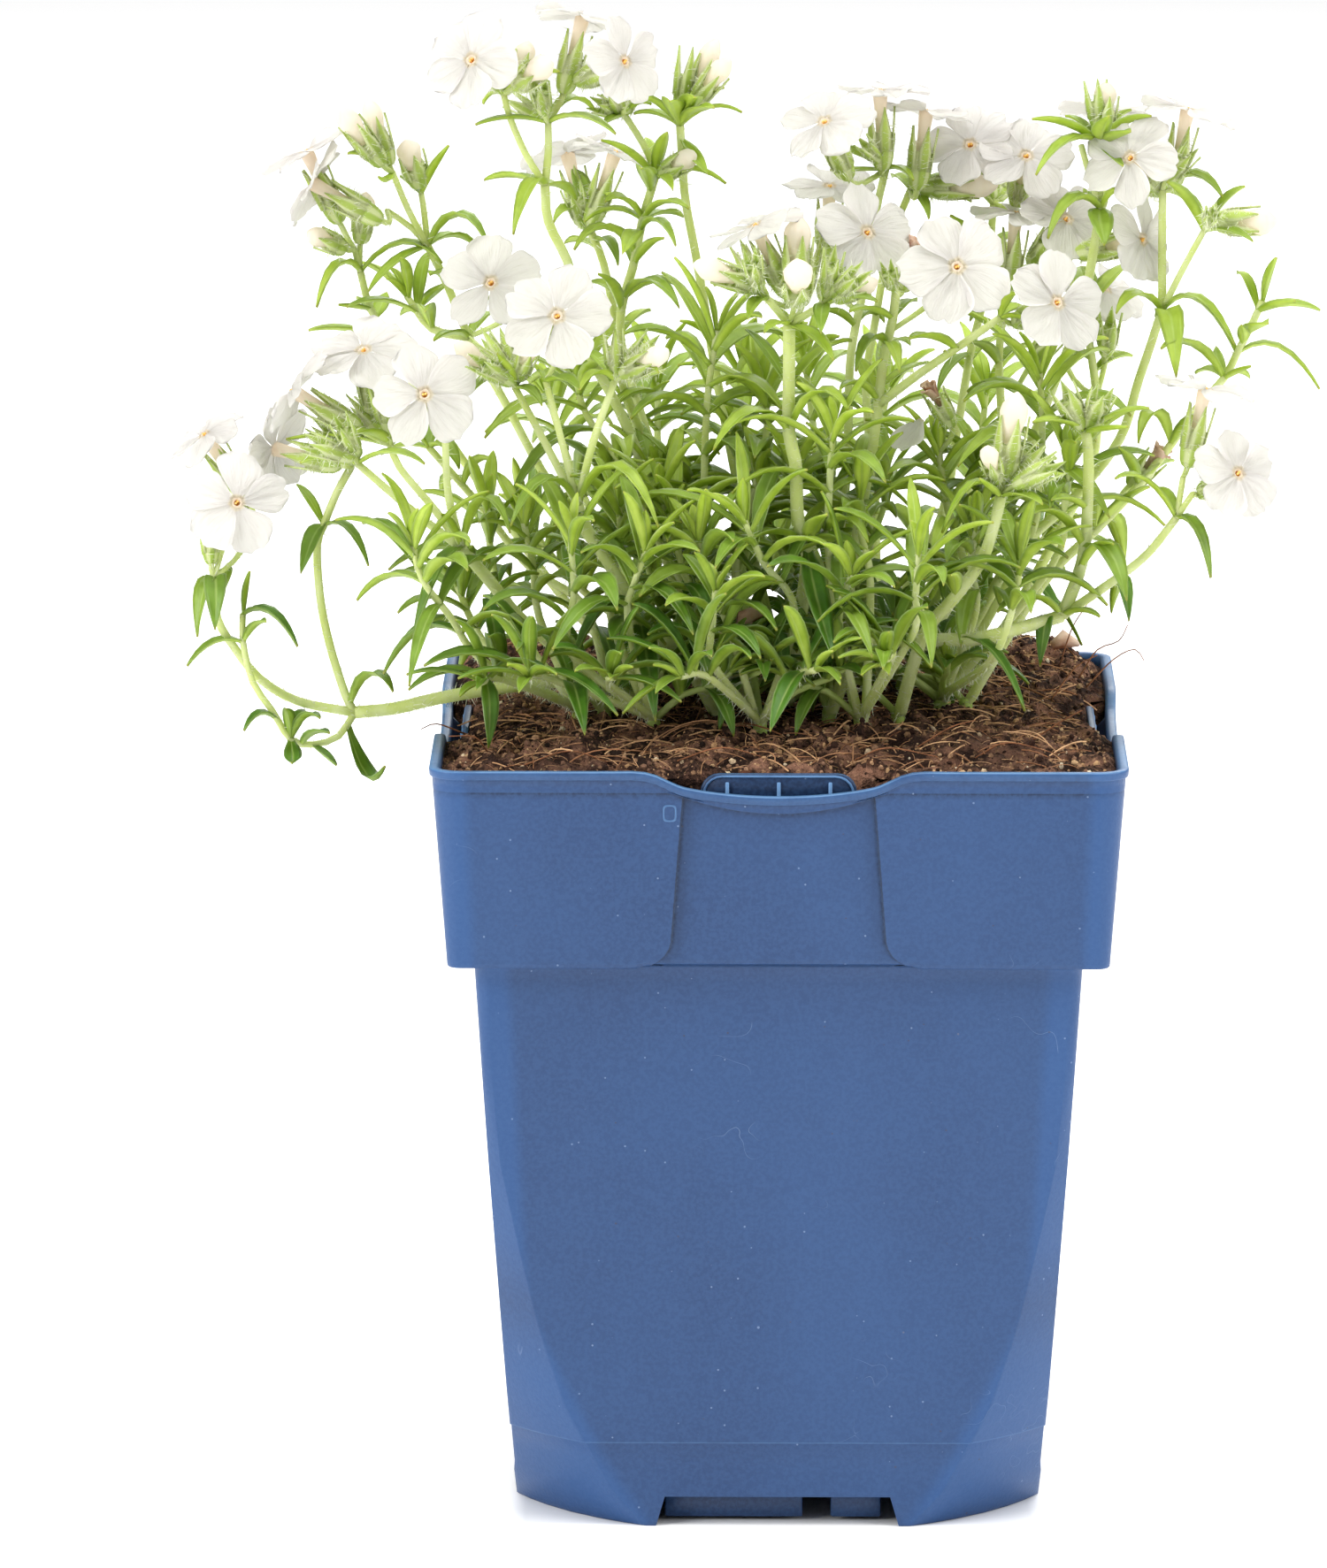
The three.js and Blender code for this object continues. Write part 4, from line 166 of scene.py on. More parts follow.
class Finish(Tree):
    """A material's tree. A colour is a web code, a linear triple or another node's output."""

    def __init__(self, name):
        self.material = bpy.data.materials.new(name)
        self.material.use_nodes = True
        super().__init__(self.material.node_tree)
        self.nodes.clear()

    def place(self):
        return self.add("ShaderNodeTexCoord", out="Object")

    def split(self, vector):
        """A vector's three numbers."""
        parts = self.add("ShaderNodeSeparateXYZ", inputs={0: vector})
        return parts, parts.of("Y"), parts.of("Z")

    def lay(self):
        """The piece's own values: across, along and tint."""
        return self.split(self.add("ShaderNodeAttribute", {"attribute_name": "lay"}, out="Vector"))

    def pick(self):
        """The number from 0 to 1 that each crumb and each fibre has."""
        return self.add("ShaderNodeAttribute", {"attribute_name": "pick"}, out="Fac")

    def noise(self, scale, detail=2.0, rough=0.5, at=None, stretch=None):
        at = at or self.place()
        if stretch:
            at = self.add("ShaderNodeMapping", inputs={"Vector": at, "Scale": stretch})
        inputs = {"Vector": at, "Scale": scale, "Detail": detail, "Roughness": rough}
        return self.add("ShaderNodeTexNoise", inputs=inputs, out="Fac")

    def specks(self, scale):
        """How far the nearest of scattered points is, and two numbers from 0 to 1 that are its own."""
        inputs = {"Vector": self.place(), "Scale": scale}
        distance = self.add("ShaderNodeTexVoronoi", inputs=inputs, out="Distance")
        first, second, _ = self.split(distance.of("Color"))
        return distance, first, second

    def between(self, value, low, high, start=0.0, end=1.0):
        """The value mapped smoothly from low..high to start..end."""
        inputs = {"Value": value, "From Min": low, "From Max": high, "To Min": start, "To Max": end}
        return self.add("ShaderNodeMapRange", {"interpolation_type": "SMOOTHSTEP"}, inputs, "Result")

    def mix(self, share, first, second):
        inputs = {0: share, 6: as_colour(first), 7: as_colour(second)}
        return self.add("ShaderNodeMix", {"data_type": "RGBA"}, inputs, 2)

    def over(self, share, colour):
        """Lays another colour over the finish's own."""
        self.colour = self.mix(share, self.colour, colour)

    def bump(self, height, strength, distance):
        inputs = {"Height": height, "Strength": strength, "Distance": distance}
        return self.add("ShaderNodeBump", inputs=inputs, out="Normal")

    def surface(self, roughness, normal=None, shine=0.5, more=None):
        inputs = {"Base Color": self.colour, "Roughness": roughness, "Specular IOR Level": shine}
        if normal:
            inputs["Normal"] = normal
        return self.add("ShaderNodeBsdfPrincipled", inputs={**inputs, **(more or {})}, out="BSDF")

    def end(self, shader, colour=None, share=0.0):
        """Closes the tree. A thin part lets a share of the light through, in a colour."""
        if colour:
            through = self.add("ShaderNodeBsdfTranslucent", inputs={"Color": as_colour(colour)})
            shader = self.add("ShaderNodeMixShader", inputs={0: share, 1: shader, 2: through})
        self.add("ShaderNodeOutputMaterial", inputs={"Surface": shader})
        return self.material


def as_colour(colour):
    """A web code or a linear triple as the four linear values that nodes take; a link stays as it is."""
    if isinstance(colour, Value):
        return colour
    if isinstance(colour, str):
        shades = [int(colour[i:i + 2], 16) / 255 for i in (0, 2, 4)]
        colour = [s / 12.92 if s <= 0.04045 else ((s + 0.055) / 1.055) ** 2.4 for s in shades]
    return (*colour, 1)


# ---------------------------------------------------------------- finishes


def floor_finish():
    """Pale and matt. It shines a little, except under the pot, so that it stays as white as the backdrop."""
    f = Finish("floor_pale")
    f.colour = f.mix(f.noise(3), (0.93, 0.93, 0.93), (0.95, 0.95, 0.95))
    x, y, _ = f.split(f.place())
    reach = f.maths("MAXIMUM", f.maths("ABSOLUTE", x), f.maths("ABSOLUTE", y))
    glow = f.mix(f.between(reach, 0.040, 0.044), (0, 0, 0), (1, 1, 1))
    return f.end(f.surface(0.9, more={"Emission Color": glow, "Emission Strength": 0.42}))


def pot_finish():
    """Satin injection-moulded plastic: a fine grain, specks of dust and faint curled scratches."""
    f = Finish("pot_plastic_worn")
    # the lay: its first value is edge wear with a painted highlight, its second is painted shade
    worn_and_lit_edges, low, _ = f.lay()
    clouds = f.noise(28, 4, 0.6)
    streaks = f.noise(16, 5, 0.65, stretch=(1, 1, 0.22))
    f.colour = f.mix(f.between(clouds, 0.3, 0.7), "1C3963", "22406B")
    f.over(f.between(streaks, 0.42, 0.75, 0, 0.35), "2C4C7A")
    # painted shade: the pot is darker in its recesses, under the lip, band and collar, and inside
    f.over(low * 0.9, "0A1E38")
    # painted highlight: the rounded corners are a little brighter. How far from the axis they begin follows
    # the sides' slope, with a step at the band, and lower down the cone that cuts the corners
    x, y, up = f.split(f.place())
    by_side = (up * 0.0619 + (up > 0.0928) * 0.0049 + 0.0421) * 1.338
    by_cone = up * 0.355 + 0.0464
    corner = (x ** 2 + y ** 2) ** 0.5 - f.maths("MINIMUM", by_side, by_cone)
    f.over(f.between(corner, -0.0006, 0.0012, 0, 0.4), "28558E")
    # thin wandering scratches: where a warped noise crosses its middle value, kept only in patches
    scratches = []
    for scale, wide, patch_scale, keep in ((95, 0.003, 52, 0.66), (210, 0.006, 31, 0.64)):
        bend = f.maths("ABSOLUTE", f.noise(scale, 1, 0.5) - 0.5)
        patch = f.between(f.noise(patch_scale), keep, keep + 0.05)
        scratches.append(f.between(bend, wide, 0) * patch)
    marks = f.maths("MAXIMUM", scratches[0], scratches[1])
    f.over(marks * 0.3, "8AA0C0")
    # dust: tiny pale and dark specks
    for scale, least, most, share in ((950, 0.1, 0.2, 0.965), (330, 0.05, 0.09, 0.965)):
        distance, pale, dark = f.specks(scale)
        dot = f.between(distance, most, least)
        f.over(dot * (pale > share) * 0.4, "8FA4C4")
        f.over(dot * (dark > share + 0.02) * 0.6, "3B3134")
    grain = f.noise(1500, 2, 0.6)
    f.over(f.between(grain, 0.35, 0.65, 0, 0.22), "375987")
    # paler blue on the rim's edge, ridges, mould line and tab bead: partly wear, partly a painted highlight
    f.over(worn_and_lit_edges * f.between(f.noise(140, 3, 0.6), 0.25, 0.6, 0.45, 1), "5F88B4")
    height = grain * 0.6 - marks * 1 + f.noise(60) * 2
    rough = f.between(clouds, 0.3, 0.75, 0.38, 0.47) + marks * 0.1
    return f.end(f.surface(rough, f.bump(height, 0.25, 0.0003), shine=0.36))


def soil_finish():
    """Dark peat with paler grains and brown fibre."""
    f = Finish("soil_peat")
    lumps = f.noise(210, 5, 0.7)
    f.colour = f.mix(f.between(lumps, 0.42, 0.64), "26160F", "8A6450")
    distance, keep, _ = f.specks(900)
    tan = f.between(distance, 0.42, 0.25) * (keep > 0.62)
    f.over(tan * 0.6, "A17C5C")
    f.over(f.between(f.noise(150, 3, 0.6), 0.6, 0.72, 0, 0.6), "714630")
    f.over(f.between(f.noise(42), 0.48, 0.62, 0, 0.6), "24140F")
    height = lumps + f.noise(900, 3, 0.7) * 0.5
    return f.end(f.surface(0.95, f.bump(height, 1, 0.0022), shine=0.2))


def crumb_finish():
    f = Finish("soil_crumbs")
    stops = [(0, "1A100C"), (0.4, "442C22"), (0.66, "9E7860"), (0.86, "C0986E"), (0.96, "D6B288"),
             (1, "ECDCBE")]
    f.colour = f.add("ShaderNodeValToRGB", {"stops": stops}, {0: f.pick()}, "Color")
    grain = f.noise(1500, 3, 0.7)
    f.over(f.between(grain, 0.3, 0.7, 0, 0.5), "20130C")
    f.over(f.between(f.noise(42), 0.48, 0.62, 0, 0.5), "2E1A13")
    return f.end(f.surface(0.92, f.bump(grain, 0.6, 0.0003), shine=0.2))


def leaf_finish():
    """Green blades: paler along the midrib and at the root, darker with age and with painted shade low in the
    plant, lit through a little.
    """
    f = Finish("leaf_green")
    across, along, tint = f.lay()
    patches = f.noise(240, 3, 0.6)
    young = f.mix(f.between(patches, 0.3, 0.7), "AEC83E", "CADE5E")
    old = f.mix(f.between(patches, 0.3, 0.7), "345E16", "528224")
    f.colour = f.mix(tint, old, young)
    middle = f.maths("ABSOLUTE", across - 0.5)
    rib = f.between(middle, 0.09, 0.015) * f.between(along, 1, 0.55, 0.15, 0.75)
    f.over(rib * 0.6, "C0D678")
    f.over(f.between(middle, 0.4, 0.5, 0, 0.5), "C6DA92")
    root = f.between(along, 0.3, 0, 0, 0.75) * (0.3 + 0.7 * tint)
    f.over(root, "C2DA66")
    f.over(f.between(along, 0.93, 1, 0, 0.6), "B9A94E")
    normal = f.bump(f.between(middle, 0, 0.1) + f.noise(1300, 2, 0.6) * 0.25, 0.35, 0.0002)
    rough = f.between(patches, 0.2, 0.8, 0.34, 0.48)
    return f.end(f.surface(rough, normal, shine=0.5), "CADE44", 0.27)


def stem_finish():
    f = Finish("stem_green")
    _, _, tint = f.lay()
    patches = f.noise(330, 3, 0.6, stretch=(1, 1, 0.4))
    pale = f.mix(f.between(patches, 0.3, 0.7), "E4EA98", "F4F6C6")
    dark = f.mix(f.between(patches, 0.3, 0.7), "9CBA4A", "B4CC66")
    f.colour = f.mix(tint, dark, pale)
    f.over(f.between(f.noise(120), 0.64, 0.78, 0, 0.25), "B29A62")
    normal = f.bump(f.noise(1200, 2, 0.6, stretch=(1, 1, 0.2)), 0.3, 0.0002)
    return f.end(f.surface(0.55, normal, shine=0.4), "E2EE98", 0.34)


def calyx_finish():
    """Five green ribs with pale skin between them; across is 0 in a rib's middle and 0.5 between two ribs."""
    f = Finish("calyx_ribbed")
    across, along, tint = f.lay()
    rib = f.between(across, 0.38, 0.14)
    green = f.mix(tint, "98B64A", "BCD068")
    skin = f.mix(tint, "D2DC98", "E6EBBA")
    f.colour = f.mix(rib, skin, green)
    f.over(f.between(along, 0.75, 1, 0, 0.4), "8CA848")
    speck = f.noise(900, 3, 0.6)
    f.over(f.between(speck, 0.55, 0.75, 0, 0.3), "D5DEB9")
    normal = f.bump(rib + speck * 0.4, 0.4, 0.0003)
    return f.end(f.surface(0.58, normal, shine=0.35), "D8E67C", 0.3)


def petal_finish():
    """White lobes with faint greyish veins, warm at the eye; along runs from the throat to the lobe's end."""
    f = Finish("petal_white")
    across, along, tint = f.lay()
    fan = f.add("ShaderNodeCombineXYZ", inputs={0: across * 26, 1: along * 2.2, 2: tint * 40})
    pleats = f.noise(1, 2, 0.6, at=fan)
    vein = f.between(pleats, 0.48, 0.68) * f.between(along, 1, 0.35, 0.25, 0.7)
    white = f.mix(f.noise(160), "E9E6E2", "F1EEEB")
    f.colour = f.mix(vein * 0.55, white, "CBC1BC")
    f.over(f.between(along, 0.1, 0.02) * 0.6, "F2DDA0")
    normal = f.bump(pleats + f.noise(900) * 0.3, 0.7, 0.0006)
    return f.end(f.surface(0.6, normal, shine=0.3), (0.98, 0.967, 0.945), 0.55)


def tube_finish():
    """The corolla tube and the buds: cream with a peach foot."""
    f = Finish("petal_cream")
    _, along, tint = f.lay()
    cream = f.mix(tint, "F6E6D2", "F8F2E8")
    line = f.between(f.noise(700, stretch=(1, 1, 0.15)), 0.5, 0.7, 0, 0.35)
    f.colour = f.mix(line, cream, "EAD8BC")
    f.over(f.between(along, 0.25, 0, 0, 0.5), "C9C884")
    normal = f.bump(line, 0.3, 0.0002)
    return f.end(f.surface(0.55, normal, shine=0.35), (1, 0.93, 0.82), 0.5)


def wilted_finish():
    f = Finish("petal_wilted")
    folds = f.noise(420, 4, 0.6)
    f.colour = f.mix(f.between(folds, 0.3, 0.7), "CBA286", "F0DCC6")
    f.over(f.between(f.noise(300, 2, 0.6), 0.55, 0.7, 0, 0.6), "AE7862")
    return f.end(f.surface(0.7, f.bump(folds, 0.5, 0.0004), shine=0.25), "DDB494", 0.35)


def anther_finish():
    f = Finish("anther_orange")
    grain = f.noise(1500, 2, 0.6)
    f.colour = f.mix(f.between(grain, 0.3, 0.7), "F0B24C", "FBD27A")
    return f.end(f.surface(0.7, f.bump(grain, 0.5, 0.0002)))


def hair_finish():
    f = Finish("hair_white")
    f.colour = f.mix(f.noise(400), "ECEED2", "F8F8E8")
    return f.end(f.surface(0.5, shine=0.4), (0.88, 0.92, 0.76), 0.4)


def fibre_finish():
    f = Finish("root_fibre")
    f.colour = f.mix(f.pick(), "8A5A3C", "D8AC80")
    f.over(f.between(f.noise(700), 0.4, 0.7, 0, 0.5), "3A2212")
    return f.end(f.surface(0.85, shine=0.25))


floor_pale = floor_finish()
pot_plastic = pot_finish()
soil_peat = soil_finish()
soil_crumb = crumb_finish()
root_fibre = fibre_finish()
leaf_green = leaf_finish()
stem_green = stem_finish()
calyx_ribbed = calyx_finish()
petal_white = petal_finish()
petal_cream = tube_finish()
petal_wilted = wilted_finish()
anther_orange = anther_finish()
hair_white = hair_finish()

# ---------------------------------------------------------------- shapes


def unit(vector):
    return vector / np.linalg.norm(vector)


def step_between(value, low, high):
    """0 below low, 1 above high, and smooth between them."""
    t = np.clip((value - low) / (high - low), 0, 1)
    return t * t * (3 - 2 * t)


def draws(seed):
    """Seeded draws from 0 to 1, the same on every run."""
    state = seed & 0xFFFFFFFF

    def draw():
        nonlocal state
        state = (state + 0x6D2B79F5) & 0xFFFFFFFF
        t = ((state ^ (state >> 15)) * (state | 1)) & 0xFFFFFFFF
        t ^= (t + ((t ^ (t >> 7)) * (t | 61))) & 0xFFFFFFFF
        return ((t ^ (t >> 14)) & 0xFFFFFFFF) / 4294967296

    return draw


def grid_faces(grid):
    """The four-sided faces between neighbours in a grid of point numbers."""
    return np.stack([grid[:-1, :-1], grid[:-1, 1:], grid[1:, 1:], grid[1:, :-1]], axis=-1)


def wall_faces(grid):
    """The same, with the last column next to the first."""
    return grid_faces(np.hstack([grid, grid[:, :1]]))


class Form:
    """Gathers closed shapes. Every point has three values, lay: across, along and tint."""

    def __init__(self):
        self.points, self.lays, self.finishes = [], [], []
        self.faces, self.owners = {4: [], 3: []}, {4: [], 3: []}
        self.count = 0

    def add_points(self, points, lays):
        first = self.count
        self.points.append(points)
        self.lays.append(lays)
        self.count += len(points)
        return first

    def add_faces(self, faces, finish):
        """Faces that all have four sides, or all three."""
        if finish not in self.finishes:
            self.finishes.append(finish)
        sides = faces.shape[1]
        self.faces[sides].append(faces)
        self.owners[sides].append(np.full(len(faces), self.finishes.index(finish)))

    def loft(self, rings, lays, finish, close="fan", ring_finish=None):
        """Rings of n points with walls between them, turned the right way out. The ends are closed by a fan
        to the middle, or by a strip where their points lie in two rows. With None, they meet each other."""
        rings = np.asarray(rings, float)
        k, n = rings.shape[:2]
        lays = np.asarray(lays, float).reshape(k, n, 3)
        first = self.add_points(rings.reshape(-1, 3), lays.reshape(-1, 3))
        grid = first + np.arange(k * n).reshape(k, n)
        if close is None:
            grid = np.vstack([grid, grid[:1]])
        walls = wall_faces(grid)
        flip = self.volume_of(rings, first, walls.reshape(-1, 4)) < 0
        for row, own in zip(walls, ring_finish) if ring_finish else [(walls.reshape(-1, 4), finish)]:
            self.add_faces(row[:, ::-1] if flip else row, own)
        for end in (0, 1) if close else ():
            ring = grid[-end]
            own = ring_finish[-end] if ring_finish else finish
            back = (end == 0) != flip
            if close == "fan":
                middle = self.add_points(rings[-end].mean(0)[None], lays[-end].mean(0)[None])
                caps = [np.stack([ring, np.roll(ring, -1), np.full(n, middle)], axis=-1)]
            else:
                half = n // 2
                upper, lower = ring[1:half], ring[:half:-1]
                caps = [np.stack([upper[:-1], upper[1:], lower[1:], lower[:-1]], axis=-1),
                        np.array([[ring[0], upper[0], lower[0]], [upper[-1], ring[half], lower[-1]]])]
            for faces in caps:
                self.add_faces(faces[:, ::-1] if back else faces, own)

    @staticmethod
    def volume_of(rings, first, quads):
        """Six times the volume inside the walls, which is below 0 if they face inwards."""
        p = rings.reshape(-1, 3) - rings.reshape(-1, 3).mean(0)
        a, b, c, d = (p[quads[:, i] - first] for i in range(4))
        return np.sum(a * (np.cross(b, c) + np.cross(c, d)))

    def add_mesh(self, mesh, finish):
        """A finished mesh, with its own lay if it has one."""
        n = len(mesh.vertices)
        points = np.empty(n * 3)
        mesh.vertices.foreach_get("co", points)
        lays = np.zeros(n * 3)
        if "lay" in mesh.attributes:
            mesh.attributes["lay"].data.foreach_get("vector", lays)
        first = self.add_points(points.reshape(-1, 3) / MM, lays.reshape(-1, 3))
        for face in mesh.polygons:
            corners = [v + first for v in face.vertices]
            fan = [[corners[0], *pair] for pair in zip(corners[1:], corners[2:])]
            self.add_faces(np.array([corners] if len(corners) == 4 else fan), finish)

    def piece(self, name, slot, *nodes):
        """The gathered shapes as one object in metres; nodes are the CAD nodes that it stands for."""
        mesh = bpy.data.meshes.new(name)
        faces = [face for rows in (*self.faces[4], *self.faces[3]) for face in rows.tolist()]
        mesh.from_pydata((np.concatenate(self.points) * MM).tolist(), [], faces)
        lays = mesh.attributes.new("lay", "FLOAT_VECTOR", "POINT")
        lays.data.foreach_set("vector", np.concatenate(self.lays).astype(np.float32).ravel())
        own = np.concatenate([*self.owners[4], *self.owners[3]])
        mesh.polygons.foreach_set("material_index", own.astype(np.int32))
        mesh.polygons.foreach_set("use_smooth", np.full(len(own), True))
        for finish in self.finishes:
            mesh.materials.append(finish)
        mesh.update()
        settle(name, mesh, slot, *nodes)


def settle(name, mesh, slot, *nodes):
    """A finished mesh as a piece of the object."""
    piece = bpy.data.objects.new(name, mesh)
    scene.collection.objects.link(piece)
    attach(piece, "root")
    if nodes:
        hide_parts(*nodes)


def curve_at(points, share):
    """The point at a share of the way along a smooth curve through the given ones."""
    p = np.array(points, float)
    p = np.vstack([2 * p[0] - p[1], p, 2 * p[-1] - p[-2]])
    spans = len(p) - 3
    i = min(int(share * spans), spans - 1)
    t = share * spans - i
    a, b, c, d = p[i:i + 4]
    start, end = (c - a) / 2, (d - b) / 2
    return ((2 * t ** 3 - 3 * t ** 2 + 1) * b + (t ** 3 - 2 * t ** 2 + t) * start
            + (3 * t ** 2 - 2 * t ** 3) * c + (t ** 3 - t ** 2) * end)


def curve_direction(points, share):
    ahead = curve_at(points, min(share + 1e-4, 1.0))
    return unit(ahead - curve_at(points, max(share - 1e-4, 0.0)))


def smooth_path(points, step):
    """Points about a step apart along the smooth curve."""
    spans = len(points) - 1
    shares = []
    for i in range(spans):
        reach = math.dist(points[i], points[i + 1])
        count = max(2, round(reach / step))
        shares += [(i + j / count) / spans for j in range(count)]
    return np.array([curve_at(points, s) for s in [*shares, 1.0]])


def crossways(axis):
    """Two directions across an axis."""
    side = UP if abs(axis[2]) < 0.9 else np.array([0.0, 1.0, 0.0])
    u = unit(np.cross(side, axis))
    return u, np.cross(axis, u)


def outward(sides, angle):
    """The direction at an angle from the first of two sides to the second."""
    return math.cos(angle) * sides[0] + math.sin(angle) * sides[1]


def ring_point(middle, sides, radius, degrees):
    return middle + radius * outward(sides, math.radians(degrees))


def even_turns(n):
    """n angles, evenly round a circle."""
    return 2 * np.pi * np.arange(n) / n


def circle(sides, turns):
    """Points one unit out, at the given angles."""
    return np.cos(turns)[:, None] * sides[0] + np.sin(turns)[:, None] * sides[1]


def rings_along(path, radii, n):
    """Rings of n points round a path, carried along it without twist."""
    path = np.asarray(path, float)
    along = np.gradient(path, axis=0)
    along /= np.linalg.norm(along, axis=1)[:, None]
    side = crossways(along[0])[0]
    rings = []
    for middle, way, radius in zip(path, along, np.broadcast_to(radii, len(path))):
        side = unit(side - way * side.dot(way))
        rings.append(middle + radius * circle((side, np.cross(way, side)), even_turns(n)))
    return np.array(rings)


def bent_line(start, knee, end, shares):
    """Points along a curve that leaves its start towards the knee and comes from there to its end."""
    t = np.asarray(shares)[:, None]
    return (1 - t) ** 2 * start + 2 * t * (1 - t) * knee + t ** 2 * end


def ring_lays(k, n, tint, along=(0.0, 1.0)):
    lays = np.empty((k, n, 3))
    lays[..., 0] = np.arange(n) / n
    lays[..., 1] = np.linspace(*along, k)[:, None]
    lays[..., 2] = tint
    return lays

# ---------------------------------------------------------------- plant data

